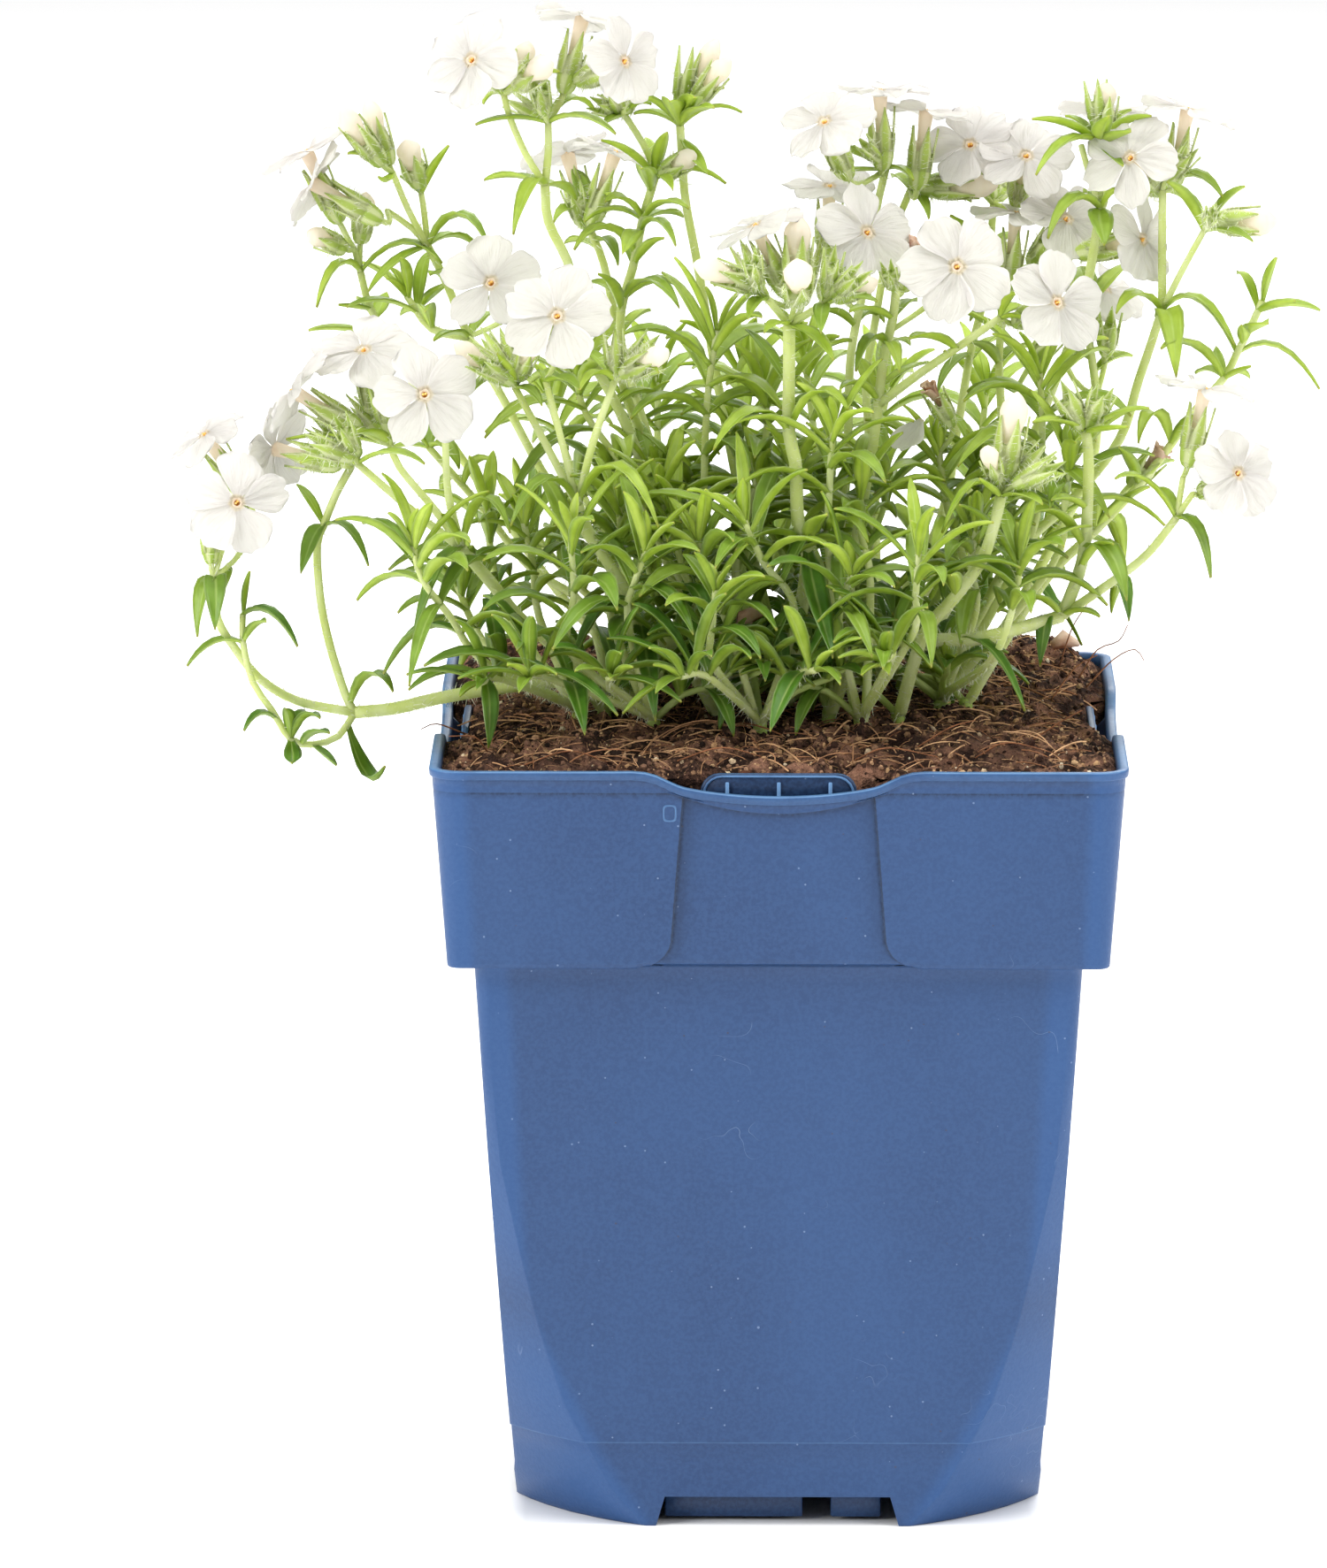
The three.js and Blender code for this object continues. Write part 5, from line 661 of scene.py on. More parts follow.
# Where the plant's parts are: for each CAD node its crown, and its rows by kind, with strokes between them.
#   stems: radius at foot, radius at end, points
#   shoots: leaf pairs, leaf length, points
#   leaves: width, arch, root, tip
#   calyces, buds, wilted: size, where it branches off, foot, tip
#   blooms: CAD node, where it branches off, middle of the face, direction it faces, radius, turn in degrees
PLANT_ROWS = """
plant stem_runner_left -22,-6
stems 0.95 0.9 -22,-6,128 -31.5,-7.5,131 -43.5,-10,130.5 -54.5,-12,129 -61.5,-13,127.5 -68,-14,127 / 0.65
0.55 -68,-14,127 -77,-15,129 -83,-17,133 -87,-19,138.5 -89.5,-21,143.5 -90,-22,150 / 0.6 0.55 -68,-14,127
-69.5,-14,130 -72,-13,138 -73.5,-12,145.5 -74,-10,153.5 -73,-9,156.5 -71,-8,161.5 -68.5,-8,166 / 0.5 0.45
-68,-14,127 -70.5,-16,123.5 -74.5,-18,122.5 -78,-19,123.5 -81,-20,128.5 -84,-20,133 -85.5,-20,139.5
-85.5,-20,144
leaves 3.4 4 -68,-14,128.5 -61.5,-20,131.5 / 3.4 -5 -68.5,-14,124.5 -63,-20,119.5 / 3 3 -90.5,-22,150
-92.5,-27,141.5 / 3.6 3 -89,-23,150 -89.5,-29,143 / 2.6 1 -88.5,-21,145 -87.5,-16,151 / 3 0 -85.5,-20,144.5
-84.5,-20,151 / 2.4 3 -85.5,-20,143.5 -76.5,-24,139.5 / 2 1 -85.5,-20,140 -81.5,-26,144 / 2.2 2
-85.5,-20,139.5 -94.5,-22,136 / 2.4 2 -79.5,-20,126 -85.5,-22,125.5 / 2.8 -1 -78,-19,123.5 -77.5,-28,121.5 /
2.4 2 -77.5,-19,123.5 -73,-24,128 / 2.4 1 -76,-18,123 -71.5,-26,126 / 2 0 -74,-18,122.5 -70.5,-22,120 / 2.2
1 -78,-19,123.5 -78.5,-24,129.5 / 2.2 1 -78,-19,123.5 -76,-14,127.5 / 2.8 2 -73.5,-9,156.5 -76.5,-14,149.5 /
2.4 3 -73,-9,156.5 -65.5,-15,151 / 2 1 -73.5,-9,156.5 -77.5,-4,162.5
calyces 0.8 -90,-22,150 -90.5,-20,152 -91,-18,157.5 / 0.9 -68.5,-8,166 -68.5,-9,167.5 -75,-10,173 / 0.8
-68.5,-8,166 -68.5,-6,167.5 -71.5,-2,171.5
blooms bloom_left_low -90,-22,150 -86,-26,163 0.1,-0.93,0.3 8.8 10 / bloom_left_edge -90,-22,150
-92,-10,171.5 -0.5,-0.25,0.82 7.2 30 / bloom_left_side -68.5,-8,166 -81,-6,168.5 -0.84,0.5,0.12 8.6 0
plant stem_left_mid -28,-12.5
stems 0.95 0.85 -28,-12.5,128 -34,-14,136 -41.5,-17,143 -45.5,-19,148.5 -50.5,-22,155 / 0.6 0.5
-50.5,-22,155 -58,-23,161 -67,-24,169 / 0.6 0.5 -50.5,-22,155 -54.5,-20,160.5 -60.5,-16,167 -62,-15,170.5 /
0.6 0.5 -50.5,-22,155 -52.5,-25,164 -53,-25,173.5 / 0.65 0.5 -28,-12.5,128 -28.5,-8.5,135 -32,6,141.5
-40.5,11,146.5 -48.5,9,157 -56.5,5,167
leaves 3.2 4 -51,-22,155 -58,-33,142 / 2.8 7 -50,-22,155 -42.5,-31,159 / 1.8 1 -51,-22,154.5 -53.5,-30,162 /
2.8 2 -66.5,-24,169.5 -56,-30,170 / 2.4 1 -67,-24,169.5 -76,-26,169.5 / 2.6 2 -62,-15,170.5 -56,-10,169.5 /
3.2 1 -62.5,-15,171 -67.5,-22,173.5 / 2.4 1 -62,-14,170.5 -79,-8,170.5 / 2.4 1 -56.5,5,167 -64.5,8,165.5 /
3.2 2 -56.5,5,167 -51.5,2,164 / 2.8 1 -56.5,5,167 -54.5,10,171.5 / 2.4 1 -56.5,5,167 -61.5,12,170 / 2.6 2
-50.5,8,159.5 -55,14,158 / 2.6 2 -50.5,8,159.5 -46,4,165
calyces 1 -67,-24,169 -67.5,-25,170 -75,-28,173 / 0.9 -67,-24,169 -67,-23,170 -69.5,-30,177 / 1
-62,-15,170.5 -62,-16,172 -64,-18,181.5 / 0.9 -62,-15,170.5 -63,-13,171 -69.5,-6,176
blooms bloom_left_tube -62,-15,170.5 -77.8,-16.5,179.6 -0.85,0.05,0.48 8.2 20 / bloom_left_flat
-62,-15,170.5 -66.3,-14,185.8 -0.12,-0.42,0.9 9.2 15 / bloom_left_front -53,-25,173.5 -56,-33,181.5
-0.08,-0.93,0.35 9 36
plant stem_front_left -10,-16
stems 0.95 0.85 -10,-16,128 -16,-20,138 -22,-22,142.5 -25,-23.5,149.5 -30,-24,157.5 -32,-25,162.5 / 0.6 0.5
-32,-25,162.5 -37,-24,172 -42,-22,181 / 0.55 0.5 -32,-25,162.5 -34.5,-26,173 -37,-26,182.5 / 0.6 0.5
-32,-25,162.5 -29.5,-27,173 -26,-28,183
leaves 3 6 -32.5,-25,162.5 -42.5,-33,160.5 / 2.8 8 -31.5,-25,162.5 -19,-37,161 / 4 1 -23.5,-22,143.5
-26.5,-34,142.5 / 3.4 3 -21.5,-22,142.5 -12.5,-32,144.5 / 3.6 4 -22.5,-22,143 -19.5,-38,130 / 2.6 2
-42,-22,181 -48.5,-30,181.5 / 2.4 1 -42,-22,181 -37.5,-28,179 / 2.2 1 -42,-22,181 -38.5,-16,185 / 2.2 0
-42,-22,181 -44.5,-32,188 / 2.6 1 -37,-26,182.5 -31.5,-34,182.5 / 2.2 1 -37,-26,182.5 -38,-18,182.5 / 2.6 2
-26,-28,183 -31.5,-34,182.5 / 2.4 2 -26,-28,183 -19,-36,185.5 / 2.2 1 -26,-28,183 -31.5,-20,187
calyces 1 -42,-22,181 -42.5,-21,182 -48,-16,188.5 / 0.9 -42,-22,181 -42,-20,182 -44.5,-14,188.5 / 0.9
-42,-22,181 -42.5,-24,182 -48,-34,187 / 0.9 -26,-28,183 -26,-28,183.5 -26.5,-30,191.5 / 1 -26,-28,183
-25.5,-26,183.5 -20,-18,188 / 0.8 -26,-28,183 -25,-28,183.5 -18.5,-26,185.5
buds 0.9 -42,-22,181 -43,-23,182.5 -51.5,-26,188.5 / 0.8 -42,-22,181 -41.5,-22,182 -39,-24,189 / 0.9
-26,-28,183 -25,-29,184 -17.5,-36,189
blooms bloom_front_left -37,-26,182.5 -35,-36,194.5 -0.05,-0.88,0.47 9.4 0
plant stem_top_left -8,3
stems 0.8 0.65 -8,3,128 -17.5,3,148 -21,4,161.5 -26,2,174 -30.5,0,183 -32.5,-2,192 -34,-3,198.5 -37,-4,205
-37.5,-5,211 / 0.5 0.45 -37.5,-5,211 -40.5,-6,216 -43,-7,222 -44,-8,226 / 0.6 0.5 -37.5,-5,211 -37,-4,216
-37,-4,221
leaves 3.4 4 -38,-5,210.5 -42.5,-12,204 / 3.2 1 -37,-4,211 -32.5,4,207.5 / 2.4 1 -37.5,-4,210.5
-47.5,6,210.5 / 3 1 -44,-8,226 -35,-14,230.5 / 2.2 1 -44,-8,226 -48.5,-12,227 / 1.8 1 -44,-8,226
-47.5,-4,224 / 3 3 -36.5,-4,221.5 -29.5,2,222 / 2.6 2 -36.5,-5,221.5 -26,-14,220.5 / 2.4 1 -38,-5,221.5
-48.5,-10,221.5
calyces 0.8 -37,-4,221 -38,-2,221.5 -43.5,-1,224.5 / 0.9 -37,-4,221 -37.5,-6,222.5 -38.5,-10,228.5
buds 0.9 -44,-8,226 -42.5,-6,227 -40,-4,234 / 1.1 -44,-8,226 -42,-10,227.5 -36.5,-18,232.5
blooms bloom_top_left -44,-8,226 -49,-16,232.5 -0.42,-0.8,0.42 8.6 0 / bloom_top_back -37,-4,221
-31.5,0,237.5 0.24,0.28,0.93 8.4 12 / bloom_top_mid -37,-4,221 -24.5,-14,232 0.6,-0.72,0.34 7.9 20
plant stem_top_leafy -4,9
stems 0.8 0.6 -4,9,128 -12,11,149.5 -20.5,10,164.5 -25,8,176 -25.5,6,182 -25.5,4,189.5 -23.5,3,197
-22,2,204.5 -20,1,211.5 / 0.5 0.45 -20,1,211.5 -21,1,215 -23,2,218.5 -25,2,221.5
leaves 1.8 1 -25,2,221.5 -20.5,0,223.5 / 1.8 0 -25,2,221.5 -28,-4,221 / 2.4 1 -20,1,212 -28.5,-6,218.5 / 2.4
2 -19.5,1,211.5 -8.5,-2,211 / 2.2 1 -20,1,212 -21.5,8,217 / 2.4 1 -19.5,1,212 -18,-4,219.5 / 2.2 1 -20,1,212
-17,-10,211 / 3.2 1 -20.5,1,210 -22,-14,215 / 2.6 2 -22,2,205 -28,-2,208 / 2.4 2 -21.5,2,205 -14.5,-6,207.5
/ 2.4 2 -22,2,204 -31.5,4,204 / 2.4 1 -21.5,2,203.5 -15.5,10,204 / 2.4 3 -22,2,203.5 -16.5,-10,202 / 3 1
-22.5,2,202.5 -25,-12,201 / 2.8 4 -23.5,3,198.5 -33,-4,200.5 / 2.6 1 -23.5,3,196.5 -18.5,-4,202.5 / 2.4 1
-23.5,3,197 -26,12,202 / 2.6 2 -25,4,192 -15.5,2,193.5 / 3 4 -25,4,190.5 -16,-10,192 / 2.4 1 -25.5,4,190.5
-29,-6,197 / 2.4 1 -25.5,4,191 -31,12,193
calyces 0.8 -25,2,221.5 -25.5,2,221.5 -27,0,225.5 / 0.8 -25,2,221.5 -25.5,3,221.5 -30,0,223.5 / 0.7
-25,2,221.5 -25,0,222 -24,8,223.5
buds 0.9 -20,1,211.5 -19,0,212 -13.5,-4,216
plant stem_top_back -13,14
stems 0.75 0.55 -13,14,128 -16,18,151.5 -22,20,168.5 -26,20,183 -28.5,18,195 -30.5,16,200.5
leaves 3.4 2 -30.5,16,200.5 -33.5,22,210 / 2.6 3 -30.5,16,200.5 -36.5,10,203 / 2.4 2 -30.5,16,200.5
-26,10,207.5 / 2.4 2 -30,16,199.5 -26,10,196 / 2.2 1 -29,18,196.5 -35,26,197.5 / 2.4 1 -26,20,183
-21,26,186.5 / 2.4 1 -26,20,183 -31,26,186
calyces 1 -30.5,16,200.5 -31.5,16,201.5 -33.5,12,208.5
blooms blooms_top_low -30.5,16,200.5 -26.5,14,214 0.33,0.05,0.94 8 0 / blooms_top_low -30.5,16,200.5
-34.5,23.5,212.4 -0.25,0.35,0.9 8.4 18
plant stem_top_bud 2,6
stems 0.75 0.6 2,6,128 -4.5,8,150 -9.5,8,174.5 -11.5,6,186.5 -13.5,4,198.5 -15,3,206.5 -15.5,2,211.5
-16,0,220
leaves 2.6 1 -16,0,220 -23.5,-2,225.5 / 2.4 1 -16,0,220 -23.5,4,221.5 / 2.6 1 -16,0,220 -9,2,226 / 2.2 2
-16,0,220 -6,-2,222.5 / 2.4 1 -16,0,220 -10.5,-12,224.5 / 3.8 1 -16,0,220 -17.5,-12,225.5 / 3.6 1 -16,0,220
-13.5,-11,226 / 2.2 0 -15,1,217.5 -11.5,-6,213
calyces 1 -16,0,220 -16,0,221.5 -14.5,0,232.5
buds 0.9 -16,0,220 -15,1,223 -10,0,234 / 0.9 -16,0,220 -14,-2,223.5 -8,-6,231.5
plant stem_upper_left -17,17
stems 0.7 0.6 -17,17,128 -28,22,145 -38,24,159 -45,24,172 -50.5,22,182.5 -54,20,191.5 -57,18,198 / 0.45 0.42
-57,18,198 -59.5,17,201 -63.5,16,204 / 0.5 0.45 -57,18,198 -60,16,204 -62.5,14,210.5 / 0.45 0.42 -57,18,198
-57.5,18,203 -58,18,206.5
shoots 2 11 -50.5,22,182.5 -56.5,21,184 -60.5,20,189.5
leaves 1.6 1 -62.5,14,210.5 -69.5,8,214.5 / 1.8 -1 -62.5,14,210.5 -64.5,6,211 / 2.2 0 -58,18,206.5
-53.5,14,215 / 2 0 -58,18,206.5 -61.5,22,209 / 3 5 -57,18,198.5 -47,12,199 / 2.6 1 -57,18,198 -66.5,12,191.5
/ 2.4 2 -56.5,18,198.5 -49,26,196.5 / 2.8 1 -53.5,20,190.5 -56.5,10,194.5 / 3 0 -54,20,191 -58.5,26,187 /
2.6 1 -50.5,22,182.5 -56,12,183.5 / 2.6 1 -51,22,183.5 -46.5,30,185.5
calyces 0.7 -62.5,14,210.5 -63.5,16,211.5 -67,22,214.5
buds 1 -62.5,14,210.5 -64,12,212 -71,6,222 / 0.9 -62.5,14,210.5 -63,14,211.5 -66.5,14,222.5 / 1.1
-58,18,206.5 -58,18,207.5 -60.5,16,215.5
blooms blooms_upper_left -63.5,16,204 -75.5,12,209 -0.88,0.1,0.46 8.4 10 / bloom_left_upper -50.5,22,182.5
-46.5,4,194 -0.28,-0.86,0.42 8.8 24
plant stem_far_left -24,20
stems 0.65 0.55 -24,20,128 -35,28,138 -46.5,30,153.5 -55.5,28,167 -62.5,26,179 -66.5,23,187 -68,20,193.5 /
0.42 0.42 -68,20,193.5 -69,19,197.5
leaves 2.8 4 -68,20,194 -75,14,188.5 / 2.5 4 -67.5,20,194 -54.5,16,195.5 / 2.6 0 -66.5,23,186.5
-71.5,18,188.5 / 2.6 0 -66,23,185.5 -69,30,188 / 2.6 0 -66,23,185.5 -64,28,189 / 2.4 1 -63.5,25,181.5
-76.5,20,184
buds 0.9 -69,19,197.5 -70,17,197.5 -76.5,16,200.5 / 0.9 -68,20,193.5 -68,20,198 -67,20,206.5
blooms blooms_upper_left -69,19,197.5 -76.5,15,213.9 -0.42,0.05,0.9 8.4 32
plant stem_centre 1,-9
stems 1.05 0.9 1,-9,128 3.5,-14,143.5 4.5,-22,155 3,-24,159.5 2.5,-24,169.5 1.5,-24,174 1.5,-23,183.5
1.5,-22,191 / 0.55 0.5 1.5,-22,191 -2,-24,195.5 / 0.55 0.5 1.5,-22,191 7,-23,194.5
leaves 3.6 5 1,-24,174 -10.5,-32,172.5 / 3.6 5 2,-24,174.5 11,-30,178.5 / 3.8 1 4.5,-23,155.5 8.5,-42,141 /
3.2 3 4,-22,155.5 -7,-32,156.5 / 3 3 5,-22,155.5 13.5,-30,154.5 / 3.4 1 4.5,-22,155.5 7.5,-36,163 / 3.2 1
2,-22,190.5 8.5,-32,187 / 3 2 1.5,-23,180 11.5,-14,187.5 / 2.2 1 0.5,-23,180 -5.5,-12,189 / 2.4 1
1.5,-22,191 -2.5,-30,191 / 2.4 1 -2,-24,195.5 -10.5,-22,197.5 / 2.4 1 -2,-24,195.5 -5,-36,194 / 2.4 1
7,-23,194.5 15.5,-26,195.5 / 2.6 1 7,-23,194.5 6.5,-34,191.5 / 2.4 1 7,-23,194.5 10.5,-12,200.5
calyces 0.9 -2,-24,195.5 -3,-22,196.5 -6.5,-16,203 / 0.9 -2,-24,195.5 -3.5,-19,196 -5,-10,201 / 0.8
-2,-24,195.5 -3.5,-27,197.5 -4.5,-38,204.5 / 0.9 1.5,-22,191 3.5,-18,193.5 5.5,-8,203 / 0.9 7,-23,194.5
7.5,-22,195.5 8.5,-28,203.5 / 0.9 7,-23,194.5 8.5,-24,196 13,-32,201
buds 1 -2,-24,195.5 -3,-26,197.5 -13.5,-34,202.5 / 1.2 1.5,-22,191 2.5,-20,195.5 3,-18,208 / 1.25
1.5,-22,191 2.5,-26,195.5 3,-40,203 / 0.8 7,-23,194.5 8.5,-22,195 15.5,-24,198.5
blooms bloom_centre_side -2,-24,195.5 -4,-18,206.5 -0.4,-0.12,0.9 8.4 5 / bloom_centre_right 7,-23,194.5
14,-12,204.5 0.42,-0.74,0.5 8.8 14
plant stem_right_centre 9,-4
stems 0.9 0.65 9,-4,128 11.5,-8,148.5 13.5,-10,161.5 15,-12,170.5 16.5,-12,183.5 18,-12,190.5 18.5,-12,195 /
0.65 0.5 15.5,-12,176.5 22,-15,182 28,-17,186.5 35,-17,191.5
leaves 4.6 1 28.5,-17,187 20.5,-22,189 / 2.8 3 15.5,-12,186.5 12,-18,183 / 2.4 2 15,-12,177.5 9.5,-20,180.5
/ 2.4 1 16,-12,180.5 24,-4,182.5 / 2.4 2 16.5,-12,185 19,-22,183.5 / 2.4 1 17,-12,185.5 21,-2,185 / 2.6 1
15,-12,177.5 12.5,-6,183.5 / 2.8 1 17.5,-12,190 11,-20,193 / 2.6 1 18,-12,190 22,-4,192.5 / 2.4 1
35,-17,191.5 40,-10,191.5 / 2.2 1 35,-17,191.5 37.5,-24,196.5 / 2.4 1 35,-17,191.5 41.5,-22,190.5
calyces 1 18.5,-12,195 19.5,-8.5,194.5 22,-5,200.5 / 0.7 18.5,-12,195 18,-13,195.5 17,-20,200
wilted 0.9 18.5,-12,195 19.5,-7.5,198 22,-8,203
blooms bloom_right_front 17.5,-12,189 28,-26,201 0.16,-0.88,0.44 9.6 36 / bloom_right_low 35,-17,191.5
44,-24,195 0.5,-0.78,0.37 9 8
plant stem_upper_right 6,4
stems 0.7 0.55 6,4,128 9.5,8,150 11,10,167 11.5,10,181.5 14,10,194.5 15.5,9,205 17,8,212
leaves 3 1 17,8,212 6,2,216.5 / 2.2 0 17,8,211.5 8,0,213 / 2.2 1 17,8,212 21.5,2,211 / 1.8 0 17,8,212
18.5,14,217 / 2.4 1 12.5,10,187 6.5,4,189.5 / 2.6 2 12,10,185.5 17,16,186
calyces 0.7 17,8,212 16,5,213.5 13,0,217.5
blooms bloom_upper_edge 17,8,212 16,6,225 -0.03,0.08,0.99 8.3 0 / bloom_upper_left 17,8,212 7,-6,221.5
-0.3,-0.55,0.78 8.4 36 / bloom_back_tilted 12.5,10,188 8,10,209 0.04,-0.26,0.96 7.8 25
plant stem_upper_right_b 14,3
stems 0.7 0.5 14,3,128 14.5,12,151 14.5,15,166.5 14,16,176.5 15.5,15,186.5 17,14,195.5 18.5,13,201.5
21,12,208
leaves 2.4 1 21,12,208 24,4,204.5 / 2.2 1 21,12,208 31,14,206 / 2.6 1 21,12,208 30.5,16,210 / 2.2 1
21,12,208 18,18,209.5
buds 1 21,12,208 22.5,10,208.5 35,6,209.5 / 0.8 21,12,208 21.5,12,209.5 23,12,216.5
blooms blooms_right_row 21,12,208 23.5,8,221.5 0.12,0.15,0.98 8 20
plant stem_right_front 19,-18
stems 0.95 0.8 19,-18,128 23,-24,141.5 28,-28,148.5 32,-30,154.5 34,-31,160.5 35,-31,165
leaves 3 5 35,-31,165 25.5,-36,160 / 2.6 1 35,-31,165 41.5,-38,165 / 2.4 1 35,-31,165 45,-26,168 / 2 0
35,-31,165 31.5,-40,169.5 / 2.6 2 28,-28,148.5 22,-34,153 / 2.6 1 28.5,-28,148.5 27,-40,154
calyces 1 35,-31,165 36.5,-31,167 42.5,-30,172.5 / 1 35,-31,165 37,-33,167 44,-38,171.5
buds 1.2 35,-31,165 35.5,-31,168 37.5,-33,182 / 0.8 35,-31,165 34.5,-32,167.5 32.5,-38,174
plant stem_right_low 8,-15
stems 1 0.9 8,-15,128.5 13.5,-18,138.5 25,-20,140 32.5,-26,141.5 45,-20.5,144 / 0.9 0.75 45,-20.5,144
47,-21,149 48.5,-22,155 49,-22,163.5 49,-22,171 48.5,-22,174 / 0.65 0.55 45,-20.5,144 52.5,-22,149.5
58.5,-23,154.5 63,-24,160.5 / 0.45 0.42 63,-24,160.5 64,-24,167 / 0.45 0.42 63,-24,160.5 65.5,-25,164.5
leaves 2.4 1 48.5,-22,174 40,-28,176.5 / 2.2 1 48.5,-22,174 58.5,-26,178.5 / 2.4 0 48.5,-22,174 55,-32,176.5
/ 2.4 1 48.5,-22,174 45.5,-10,179 / 3.6 3 48.5,-22,155 39.5,-28,161.5 / 3.8 4 49,-22,155 55,-32,148.5 / 2.6
2 48.5,-21,150 53,-28,157 / 2.4 1 49,-22,161.5 43,-28,164 / 3.4 3 44.5,-20,144 34.5,-28,146 / 2.6 3
42,-20,143.5 41.5,-24,136.5 / 2.4 1 44.5,-20,144 51,-26,145 / 3 4 33,-20,141.5 39,-36,131.5 / 2.2 3
63,-24,160.5 53,-28,167.5 / 3 3 63,-24,160.5 68.5,-28,151.5 / 2.2 1 63,-24,160.5 60,-16,164 / 2.4 2
53.5,-22,150 55.5,-28,144.5 / 2 1 53.5,-22,150 53,-14,143.5
calyces 1.15 48.5,-22,174 48,-22,174.5 44.5,-24,181.5 / 1.15 48.5,-22,174 49,-22,174.5 51.5,-24,181
blooms bloom_right_edge 64,-24,167 67.5,-22,181 0.22,0.08,0.97 8.6 10 / bloom_far_right 65.5,-25,164.5
72.5,-32,169 0.42,-0.82,0.39 7.8 18
plant stem_right_tall 27,2
stems 0.8 0.55 27,2,128 36.5,2,148 47.5,0,160 54.5,-2,169.5 57.5,-4,179.5 60,-5,187.5 61,-6,192 61,-6,199.5
61,-6,210.5 / 0.5 0.45 61,-6,191 64.5,-8,198.5 67.5,-10,204.5
leaves 3 3 61,-6,211 70.5,-10,210 / 2.8 1 61,-6,211 68,2,205.5 / 3 1 67.5,-10,204.5 61.5,-14,213 / 2.4 1
67.5,-10,204.5 74,-8,211.5 / 1.8 1 67.5,-10,204.5 75,-18,204 / 3 3 60.5,-6,190.5 53.5,-12,191.5 / 2 5
61.5,-6,191 72.5,-12,186.5 / 4 5 61,-5,189.5 63,-18,182 / 2.6 1 60,-5,189 64,6,188
calyces 0.9 61,-6,210.5 61.5,-7,212 65.5,-10,217.5 / 0.7 61,-6,210.5 60.5,-3,210 58.5,6,209.5 / 0.7
67.5,-10,204.5 68,-12,206 68.5,-24,209.5
buds 1.15 67.5,-10,204.5 69,-11,206 79,-13,206.5
blooms bloom_top_right 61,-6,210.5 65,-5,223.5 0.2,0.05,0.98 8.4 15 / bloom_right_upper 61,-6,210.5
55.5,-12,216.5 -0.4,-0.75,0.52 8.6 0
plant stem_right_top 20,10
stems 0.8 0.65 20,10,128 31,12,146.5 39.5,10,164.5 45,6,179.5 47,2,185.5 49,-2,193.5 50.5,-6,203.5
51,-7,207.5 / 0.5 0.5 51,-7,207.5 51,-5,213.4 51,-4.3,217.8 / 0.42 0.42 51,-7,207.5 49,-7,214 48,-5,217.5
leaves 3.2 0 51,-8,218.5 52,-18,224 / 3.2 0 51,-8,218.5 55.5,-17,221.5 / 3 1 51,-8,218.5 40,-10,222.5 / 2.6
3 51,-8,218.5 40.5,-14,214 / 3.2 1 51,-8,218.5 59,-10,223 / 2.6 1 51,-8,218.5 56,-2,223 / 2.2 0 51,-8,218.5
54.5,-14,215.5 / 2.6 1 51,-8,218.5 45.5,-2,222 / 3.2 4 51,-7,207.5 42.5,-12,203.5 / 4 1 51,-7,207.5
51.5,-16,203 / 2.2 2 51,-7,207.5 55.5,-10,210 / 2.2 1 51,-7,207.5 48.5,0,209.5
calyces 1 51,-4.3,217.8 51,-4.3,219.3 50,-4.3,227.8
buds 1 51,-4.3,217.8 51.5,-4.3,219.3 52,-4,227.6
blooms bloom_top_right_back 51,-7,207.5 52.5,6,222 0.02,0.35,0.93 8.2 30
plant stem_back_right 12,17
stems 0.75 0.55 12,17,128 25.5,20,151 29,22,168 31,22,180 33.5,20,191.5 34.5,17,205
leaves 3 1 34,19,196 27.5,12,204 / 2.8 1 34,19,197 38.5,24,199.5 / 2.4 1 31,22,180 25.5,14,175 / 2.6 1
31,22,178.5 36.5,28,182
calyces 0.9 34.5,17,205 34.5,18,205.5 33,22,210 / 0.9 34.5,17,205 35,19,205.5 37,24,209
blooms blooms_right_row 34.5,17,205 30.5,8,216 -0.15,-0.75,0.64 8.3 36 / blooms_right_row 34.5,17,205
39.5,6,214.5 0.1,-0.7,0.7 8.5 10
plant stem_back_right_b 24,14
stems 0.75 0.55 24,14,128 34,16,149 36,16,166 35.5,15,181 37,13,193
leaves 3 1 36,13,191.5 30.5,4,188 / 2.6 1 36,13,191.5 42.5,18,195 / 3.2 1 35.5,15,178 30.5,8,184 / 2.8 1
35.5,15,178 40.5,20,181.5
calyces 0.9 37,13,193 37.5,14,194 36,18.5,199
blooms blooms_right_mid 37,13,193 38,8,205 0.1,0.05,0.99 8.2 5 / blooms_right_mid 37,13,193 46,4,204.5
0.42,-0.6,0.68 8.6 24
plant stem_back_right_c 31,10
stems 0.8 0.55 31,10,128 44,10,150 50.5,8,164.5 51,7,175 50,5,183 49,3,189.5
leaves 4 1 49,3,189.5 48.5,13,195.5 / 3 1 49,3,189.5 56.5,14,196 / 2.4 1 50.5,6,179.5 57,10,181.5 / 2.4 1
50.5,6,181 45.5,14,180.5
calyces 1 51,7,175 52.5,6,182 53,2,189.5
blooms bloom_right_narrow 49,3,189.5 58,-6,202.5 0.8,-0.54,0.25 8 0 / bloom_right_behind 51,7,175
52.5,12,192.1 0.42,-0.35,0.84 8.2 28
plant shoot_right_tip 30,-8
stems 0.75 0.5 30,-8,128 42,-9,147 50.5,-10,156 57.5,-10,163.5 62.5,-10,170 66,-9,175 71,-8,180.5
73,-8,184.5 75.5,-8,189.5 77,-8,193
leaves 3.6 0 77,-8,193 79,-8,200 / 2.6 0 76.5,-8,191.5 82,-14,194 / 2.4 1 76.5,-8,191 87,-4,191 / 2.2 2
